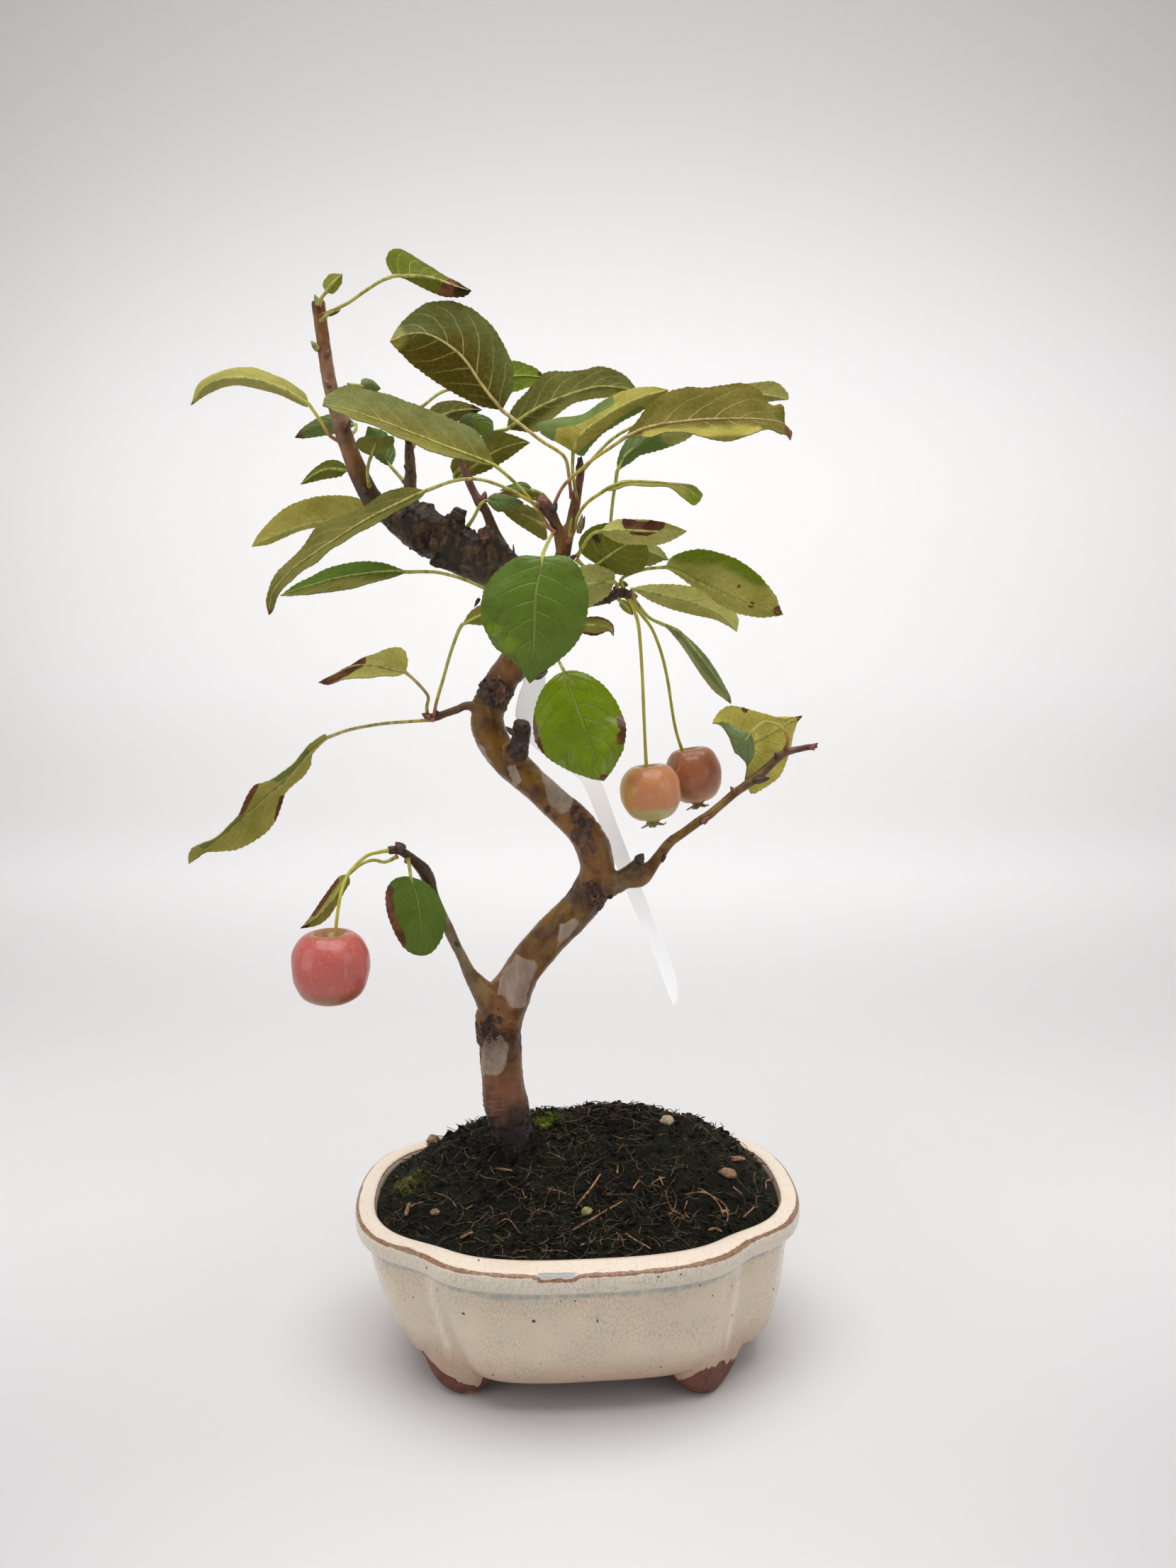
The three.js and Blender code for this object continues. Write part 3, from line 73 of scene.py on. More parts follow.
def seen(places):
    """Places on the front plane, [x, z] or [x, z, depth], as points in space."""
    rows = np.array([(*place, 0)[:3] for place in places], float)
    plane = np.column_stack([rows[:, 0], np.zeros(len(rows)), rows[:, 1]])
    return VIEWPOINT + (plane - VIEWPOINT) * (1 + rows[:, 2:] / VIEW_REACH)


def on_front(points):
    """Where points in space stand on the front plane, [x, z]."""
    reach = VIEW_REACH / (points[..., 1] + VIEW_REACH)
    return np.stack([VIEWPOINT[0] + (points[..., 0] - VIEWPOINT[0]) * reach,
                     VIEWPOINT[2] + (points[..., 2] - VIEWPOINT[2]) * reach], axis=-1)


def through(points, count=None, shares=None, per_span=16):
    """A smooth line through the points, at count even steps or at the given shares of its length."""
    points = np.asarray(points, float)
    ends = np.vstack([2 * points[0] - points[1], points, 2 * points[-1] - points[-2]])
    t = np.linspace(0, 1, per_span, endpoint=False)[:, None]
    spans = []
    for a, b, c, d in zip(ends, ends[1:], ends[2:], ends[3:]):
        spans.append(0.5 * (2 * b + (c - a) * t + (2 * a - 5 * b + 4 * c - d) * t * t
                            + (3 * b - a - 3 * c + d) * t ** 3))
    line = np.vstack([*spans, points[-1:]])
    length = np.concatenate([[0], np.cumsum(np.linalg.norm(np.diff(line[:, :3], axis=0), axis=1))])
    shares = np.linspace(0, 1, count + 1) if shares is None else shares
    at = shares * length[-1]
    return np.column_stack([np.interp(at, length, line[:, k]) for k in range(line.shape[1])])


def length_of(points):
    return float(np.linalg.norm(np.diff(points[:, :3], axis=0), axis=1).sum())


def unit(vectors):
    return vectors / np.maximum(np.linalg.norm(vectors, axis=-1, keepdims=True), 1e-9)


def smooth(low, high, value):
    t = np.clip((value - low) / (high - low), 0, 1)
    return t * t * (3 - 2 * t)


def rough(points, size, octaves=1, seed=0.0):
    """Smooth noise between about -1 and 1 with features of the given size, for each point."""
    shift = Vector((seed * 17.3, seed * 5.1, seed * 9.7))
    flat = points.reshape(-1, 3) / size
    if octaves == 1:
        made = [noise.noise(Vector(p) + shift) for p in flat]
    else:
        made = [noise.fractal(Vector(p) + shift, 0.6, 2.1, octaves) for p in flat]
    return np.array(made).reshape(points.shape[:-1])


# ---------------------------------------------------------------- shader maths


def srgb(*channels):
    """A colour given as it looks, 0 to 255, as the shader's linear light."""
    return tuple(c / 3294.6 if c <= 10 else ((c / 255 + 0.055) / 1.055) ** 2.4 for c in channels)


class Signal:
    """A node's output, which Python's operators turn into Math nodes."""

    def __init__(self, paint, socket):
        self.paint, self.socket = paint, socket

    def maths(self, operation, *others):
        return self.paint.node("Math", {"operation": operation}, self, *others)

    def __add__(self, other):
        return self.maths("ADD", other)

    def __sub__(self, other):
        return self.maths("SUBTRACT", other)

    def __rsub__(self, other):
        return self.paint.node("Math", {"operation": "SUBTRACT"}, other, self)

    def __mul__(self, other):
        return self.maths("MULTIPLY", other)

    def __truediv__(self, other):
        return self.maths("DIVIDE", other)

    def __pow__(self, other):
        return self.maths("POWER", other)

    def __abs__(self):
        return self.maths("ABSOLUTE")

    __radd__ = __add__
    __rmul__ = __mul__

    def wrapped(self):
        return self.maths("FRACT")

    def most(self, other):
        return self.maths("MAXIMUM", other)

    def between(self, low, high):
        """0 below low and 1 above high, with a smooth step between them."""
        return self.paint.node("MapRange", {"interpolation_type": "SMOOTHSTEP"}, self, low, high, 0, 1)


class Paint:
    """A material under construction."""

    def __init__(self, name):
        self.material = bpy.data.materials.new(name)
        self.material.use_nodes = True
        self.tree = self.material.node_tree
        self.tree.nodes.clear()
        self.place = self.node("TexCoord", {}, output="Object")

    def feed(self, socket, value):
        if isinstance(value, Signal):
            self.tree.links.new(value.socket, socket)
        elif socket.type == "RGBA":
            socket.default_value = (*value[:3], 1)
        else:
            socket.default_value = value

    def node(self, kind, settings, *values, output=None, **named):
        made = self.tree.nodes.new("ShaderNode" + kind)
        for key, value in settings.items():
            setattr(made, key, value)
        sockets = [socket for socket in made.inputs if socket.enabled]
        for socket, value in zip(sockets, values):
            self.feed(socket, value)
        for key, value in named.items():
            self.feed(next(s for s in sockets if s.name == key.replace("_", " ")), value)
        outputs = [s for s in made.outputs if s.enabled and output in (None, s.name)]
        return Signal(self, outputs[0])

    def noise(self, size, detail=3, place=None, roughness=0.55, twist=0):
        """Noise from 0 to 1 with features of about the given size in millimetres."""
        return self.node("TexNoise", {}, Vector=place or self.place, Scale=1 / (size * MM),
                         Detail=detail, Roughness=roughness, Distortion=twist, output="Fac")

    def cells(self, size, place=None, feature="DISTANCE_TO_EDGE", output="Distance"):
        return self.node("TexVoronoi", {"feature": feature}, Vector=place or self.place,
                         Scale=1 / (size * MM), output=output)

    def stretched(self, x, y, z):
        return self.node("VectorMath", {"operation": "MULTIPLY"}, self.place, (x, y, z))

    def parts_of(self, vector):
        """A vector's three numbers as signals."""
        parts = self.node("SeparateXYZ", {}, vector)
        return [Signal(self, socket) for socket in parts.socket.node.outputs]

    def axes(self):
        """Object coordinates in millimetres about the pot's centre, as three signals."""
        x, y, z = (part / MM for part in self.parts_of(self.place))
        return x - POT_MIDDLE[0] / MM, y, z

    def lay(self):
        """How far across and along the piece each point lies, from 0 to 1."""
        return self.parts_of(self.node("UVMap", {"uv_map": "lay"}))[:2]

    def trait(self, name):
        """A value that the mesh itself carries."""
        return self.node("Attribute", {"attribute_name": name}, output="Fac")

    def mix(self, a, b, share):
        return self.node("Mix", {"data_type": "RGBA"}, share, a, b)

    def tinted(self, colour, by, share):
        return self.node("Mix", {"data_type": "RGBA", "blend_type": "MULTIPLY"}, share, colour, by)

    def finish(self, colour, roughness, height=None, depth=0.2, coat=None, coat_roughness=0.1,
               glow=None, glow_share=0.3, **constants):
        """Closes the material: depth is the relief in millimetres that height 1 stands for, and
        glow the colour of the light that comes through from behind."""
        values = {"Base_Color": colour, "Roughness": roughness, **constants}
        if height is not None:
            values["Normal"] = self.node("Bump", {}, Distance=depth * MM, Height=height, Strength=1.0)
        if coat is not None:
            values.update(Coat_Weight=coat, Coat_Roughness=coat_roughness)
        surface = self.node("BsdfPrincipled", {}, **values)
        if glow is not None:
            behind = self.node("BsdfTranslucent", {}, Color=glow)
            surface = self.node("MixShader", {}, glow_share, surface, behind)
        end = self.tree.nodes.new("ShaderNodeOutputMaterial")
        self.feed(end.inputs["Surface"], surface)
        return self.material


# ---------------------------------------------------------------- modelling


def alone(piece):
    """Makes a piece the only one selected, and the active one."""
    bpy.ops.object.select_all(action="DESELECT")
    piece.select_set(True)
    bpy.context.view_layer.objects.active = piece
    return piece


def skin(name, places, closed=True, traits=None, uv=None):
    """A grid primitive with its points moved to their places, row by row, and its seams merged."""
    rows, columns = places.shape[0] - 1, places.shape[1] - 1
    bpy.ops.object.select_all(action="DESELECT")
    bpy.ops.mesh.primitive_grid_add(x_subdivisions=columns, y_subdivisions=rows, size=2)
    piece = bpy.context.object
    piece.name = piece.data.name = name
    flat = held_by(piece, "co")
    column = np.rint((flat[:, 0] + 1) / 2 * columns).astype(int)
    row = np.rint((flat[:, 1] + 1) / 2 * rows).astype(int)
    piece.data.vertices.foreach_set("co", world(places[row, column]).ravel())
    for key, values in (traits or {}).items():
        carry(piece, key, values[row, column])
    if uv is not None:
        corners = np.empty(len(piece.data.loops), int)
        piece.data.loops.foreach_get("vertex_index", corners)
        across, along = (values[row, column][corners] for values in uv)
        piece.data.uv_layers[0].data.foreach_set("uv", np.column_stack([across, along]).ravel())
    piece.data.uv_layers[0].name = "lay"
    piece.data.update()
    return merged(piece, closed)


def merged(piece, closed=True):
    """Merges the points that meet, and turns a closed piece's faces outwards."""
    alone(piece)
    bpy.ops.object.mode_set(mode="EDIT")
    bpy.ops.mesh.select_all(action="SELECT")
    bpy.ops.mesh.remove_doubles(threshold=2e-6)
    if closed:
        bpy.ops.mesh.normals_make_consistent(inside=False)
    bpy.ops.object.mode_set(mode="OBJECT")
    return piece


def carry(piece, key, values):
    """Stores one value for each vertex on the mesh."""
    held = piece.data.attributes.get(key) or piece.data.attributes.new(key, "FLOAT", "POINT")
    held.data.foreach_set("value", np.asarray(values, np.float32))


def modified(piece, kind, **settings):
    """Adds a modifier with its settings and applies it."""
    alone(piece)
    modifier = piece.modifiers.new(kind.title(), kind)
    for key, value in settings.items():
        setattr(modifier, key, value)
    bpy.ops.object.modifier_apply(modifier=modifier.name)
    return piece


def joined(name, pieces):
    alone(pieces[0])
    for piece in pieces[1:]:
        piece.select_set(True)
    if len(pieces) > 1:
        bpy.ops.object.join()
    pieces[0].name = pieces[0].data.name = name
    return pieces[0]


def held_by(piece, key):
    """What the piece's vertices hold under the key, one row of three for each."""
    flat = np.empty(len(piece.data.vertices) * 3)
    piece.data.vertices.foreach_get(key, flat)
    return flat.reshape(-1, 3)


def points_of(piece):
    """The piece's points in layout millimetres."""
    return (held_by(piece, "co") - POT_MIDDLE) / MM


def move_points(piece, points):
    piece.data.vertices.foreach_set("co", world(points).ravel())
    piece.data.update()
    return piece


def ring(radius, turn, height):
    """Points round the pot's upright axis."""
    return np.stack([radius * np.cos(turn), radius * np.sin(turn), np.full_like(turn, height)], axis=-1)


def rings_along(points, radii, sides, start_side=(0, 1, 0)):
    """Rings of points round a line, with a pole at each end: [ring, side, xyz]."""
    ahead = unit(np.gradient(points, axis=0))
    side = np.array(start_side, float)
    turn = np.linspace(0, 2 * math.pi, sides + 1)[:, None]
    rings = [np.repeat(points[:1], sides + 1, axis=0)]
    for point, way, radius in zip(points, ahead, radii):
        side = unit(side - way * side.dot(way))
        rings.append(point + radius * (np.cos(turn) * side + np.sin(turn) * np.cross(way, side)))
    rings.append(np.repeat(points[-1:], sides + 1, axis=0))
    return np.array(rings)


def stem(name, points, radii, sides=10, shares=None):
    """A round stem along a line, closed at both ends, with its length along its UVs."""
    rings = rings_along(points, radii, sides)
    shares = np.linspace(0, 1, len(points)) if shares is None else shares
    shares = np.concatenate([shares[:1], shares, shares[-1:]])
    around, along = np.meshgrid(np.linspace(0, 1, sides + 1), shares)
    return skin(name, rings, uv=(around, along))


def dressed(piece, materials, stands_for=(), angle=40):
    """Finishes a piece: its materials, its shading, its body and the CAD nodes it stands for."""
    alone(piece)
    bpy.ops.object.shade_smooth_by_angle(angle=math.radians(angle))
    if materials:
        piece.data.materials.clear()
        for material in materials:
            piece.data.materials.append(material)
    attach(piece, "root")
    if stands_for:
        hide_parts(*stands_for)
    return piece


# ---------------------------------------------------------------- measures of the plant

GAP = 0.3
POT_HALF_WIDTH = 77.5
POT_HALF_DEPTH = 59.4
POT_HEIGHT = 57
POT_SQUARENESS = 2.38
POT_PINCH = 3.84
POT_PINCH_ANGLE = 0.659
POT_PINCH_SPREAD = 0.167
POT_TURN = 0.066
POT_FLOOR = 14
FOOT_CENTRE = (39.5, 28.5)
FOOT_REACH = (13.5, 12)
DRAIN_HOLE = (33, 6)
SOIL_INSET = 8.5
SOIL_EDGE = 54.5
SOIL_CROWN = (13.5, 0.09, 0.22)
ROOT_START = np.array([-23.5, 2, 50])
ROOT_DIP = (4, 16)
ROOT_TAPER = 0.7
LABEL_LOOP = dict(middle=(-19, 246.5, 2.8), lean=0.585, radius=6.9, height=6)
LABEL_ACROSS = (0.86, 0.06, 0.5)

# The middle line of the trunk and of each limb: [x, z, depth, diameter].
TRUNK = [
    (-24, 44, 3, 12), (-23.2, 54, 1, 13.6), (-22.2, 63, 0, 14), (-22.6, 71, 0, 14.4),
    (-24.6, 79, 1, 15), (-26.6, 87, 2, 15.8), (-27.3, 96, 3, 14.6), (-28, 105, 3, 15),
    (-28.5, 114, 3, 16.4), (-27.6, 120, 2, 16.6), (-25.2, 125.5, 1, 15.6), (-22.4, 130.5, 0, 13.4),
    (-19.4, 136, -0.5, 12.8), (-14.8, 142, -1, 13), (-9, 148.3, -1.5, 12.8), (-3.2, 154.4, -2, 12.6),
    (2.2, 160.5, -2.5, 12.8), (5.2, 166.5, -3, 12.4), (5.8, 172.3, -3.5, 11.8), (4, 178.6, -4, 11.8),
    (0.5, 184.4, -3.5, 11.4), (-4.6, 189.7, -2.5, 11), (-10.2, 195, -1, 10.6), (-16, 200.1, 1, 10.6),
    (-21.6, 205.2, 2.5, 11), (-27, 210.8, 4, 11.3), (-30.4, 216.7, 5, 11.6), (-31.4, 222.7, 5, 11.6),
    (-30, 228.6, 5, 11.4), (-26.5, 234.8, 4.5, 11.2), (-22, 241, 4, 11.6), (-18.4, 247.5, 3, 11.6),
    (-17.2, 254.4, 1.5, 11.6), (-19.2, 261.2, 0, 12), (-24, 267.4, 0, 12.8), (-30, 272.6, 0, 14),
    (-36.5, 276.6, 0.5, 15), (-43.5, 280.2, 1, 15), (-50.5, 284, 1.5, 15.4), (-56.5, 287.2, 2, 13.6),
    (-62.2, 290.2, 2.5, 10), (-67.6, 293.6, 2.5, 7.6), (-71.8, 300.5, 2, 6.6), (-75, 308.6, 1.5, 6),
    (-77.4, 315.4, 1, 5.7), (-79.2, 321.5, 0.5, 5.1), (-81.4, 330.4, 0, 4.8), (-82.8, 340.2, -0.5, 4.6),
    (-83.9, 350, -1, 4.4), (-84.7, 357.4, -1, 4.6),
]

LIMBS = {
    "lower_left_branch": [(-29, 120, 0, 11), (-33.2, 126, -1, 8.6), (-36, 130.4, -2, 6.2),
        (-37.9, 134, -3, 4.6), (-40, 139, -4, 3.7), (-42.4, 144, -5, 3.5), (-44.6, 149, -6, 3.8),
        (-46.4, 154, -7, 3), (-48.5, 158.6, -8, 3.1), (-50.6, 163, -8.5, 3.5), (-52.2, 167, -9, 4.6),
        (-54, 170.4, -9.5, 4.5), (-57, 173.5, -10, 3.6), (-59.6, 175.6, -10.5, 3.2),
        (-62.4, 177.2, -11, 3.2), (-66, 177, -12, 3)],
    "right_limb": [(3, 162.5, -3, 9.5), (9, 163.9, -3, 7.7), (14, 166.6, -4, 7), (18, 169.6, -4.5, 6.4),
        (20.8, 173, -5, 4.8)],
    "right_twig": [(16.5, 167, -4, 6), (20.8, 167.6, -4, 6.2), (24, 171, -3, 4.7), (27, 175, -3, 3.8),
        (30.4, 179.6, -3, 3.5), (35, 183, -3, 3.2), (40, 186.8, -2.5, 3.2), (43.5, 189, -2.5, 3.3),
        (48, 192.9, -2, 3), (53, 197.2, -1.5, 3), (57, 200, -1, 3.3), (60.5, 202.8, -0.5, 3.4),
        (64, 206, 0, 3.1), (67.5, 209.3, 0.5, 3), (70, 210.9, 1, 2.8), (74, 211.9, 1.5, 2.5),
        (78, 212.7, 2, 2.3), (80.4, 213, 2.5, 2)],
    "upright_stub": [(-54, 287, 2, 7), (-56, 296, 2, 4.8), (-55.8, 304, 2, 4.1), (-56.1, 310, 3, 3.2),
        (-56.3, 315, 3.5, 2.4)],
    "crown_twig": [(-20.5, 268, 1, 5), (-23.4, 275, 2, 4.2), (-26, 280.3, 2.5, 3.4),
        (-27.6, 283, 3, 3.3), (-29.6, 287, 3.4, 3.5), (-31.2, 291, 3.6, 3.4), (-33, 293.4, 4, 3.8),
        (-34.7, 296.2, 4.3, 2.9), (-36.5, 300, 4.5, 2.9), (-38.4, 305.4, 5, 2.6), (-41, 311, 5.5, 2.2)],
    "cut_stub": [(-24, 273.6, 0, 9), (-27.5, 278.4, -3.5, 8), (-30.8, 282.2, -7, 6.4),
        (-32.2, 283.6, -8.8, 5.6)],
    "stub_shoulder": [(-54, 287, 1, 8), (-50.8, 291.4, 1, 7), (-50, 293.6, 1, 4)],
    "weathered_knob": [(-43, 283, -1, 9), (-41, 288, -2, 6.4), (-39.4, 291.6, -2, 3.6)],
    "dead_snag": [(-37, 272.6, -1, 8), (-42, 273.8, -2, 6.6), (-47, 273.9, -4, 4),
        (-50.2, 274.4, -4.5, 2.4)],
    "spur_foot": [(-16.5, 256, -1, 8), (-11.5, 265, -3, 5.6), (-7.6, 272.5, -4, 4.7),
        (-5.7, 278.4, -4, 4.4)],
    "left_spur": [(-5.8, 276.5, -4, 4.2), (-6.7, 281.4, -4, 3.9), (-7.4, 284.8, -4.3, 3.6),
        (-8.7, 288, -4.7, 3.8), (-10.4, 290.8, -5, 4.6), (-12.2, 293.4, -5.5, 4.6),
        (-13.2, 296, -6, 3)],
    "right_spur": [(-5.2, 276.5, -4, 4.2), (-3.8, 283, -4, 3.6), (-2.5, 289, -4, 3.8),
        (-1.4, 294, -4, 3.6), (-0.8, 297.6, -4, 3.1), (0, 301.5, -4, 2.8), (0.3, 304.4, -4, 2.8),
        (-0.5, 308.2, -4, 1.6)],
    "fruit_spur": [(-16, 255, 0, 7), (-8, 258, -2, 4.4), (0, 260.4, -3, 3.5), (8, 262, -4, 3.5),
        (12.5, 264, -4, 3.9), (16.3, 263.8, -4, 3)],
    "left_side_spur": [(-30, 224, 4, 6), (-37.6, 226.6, 2, 3.2), (-41.5, 225.3, 1, 2.9),
        (-45.9, 223.8, 0, 2.7), (-49.5, 222.6, -0.5, 3), (-52.4, 223.7, -1, 2)],
    "bend_stub": [(-22.5, 208, 2, 9), (-20.4, 214, -4, 7), (-19.5, 221.4, -7, 5.8)],
    "label_knob": [(-17.5, 244, 2, 9), (-13, 236.4, -1, 5)],
    "old_scar": [(-28, 230, 4, 9), (-28.6, 230.8, -4.2, 7.4)],
}

# Roots under the soil: direction in degrees, length and diameter.
ROOTS = [(20, 30, 5), (95, 24, 4.4), (165, 26, 5), (235, 22, 4.6), (310, 30, 4.8)]

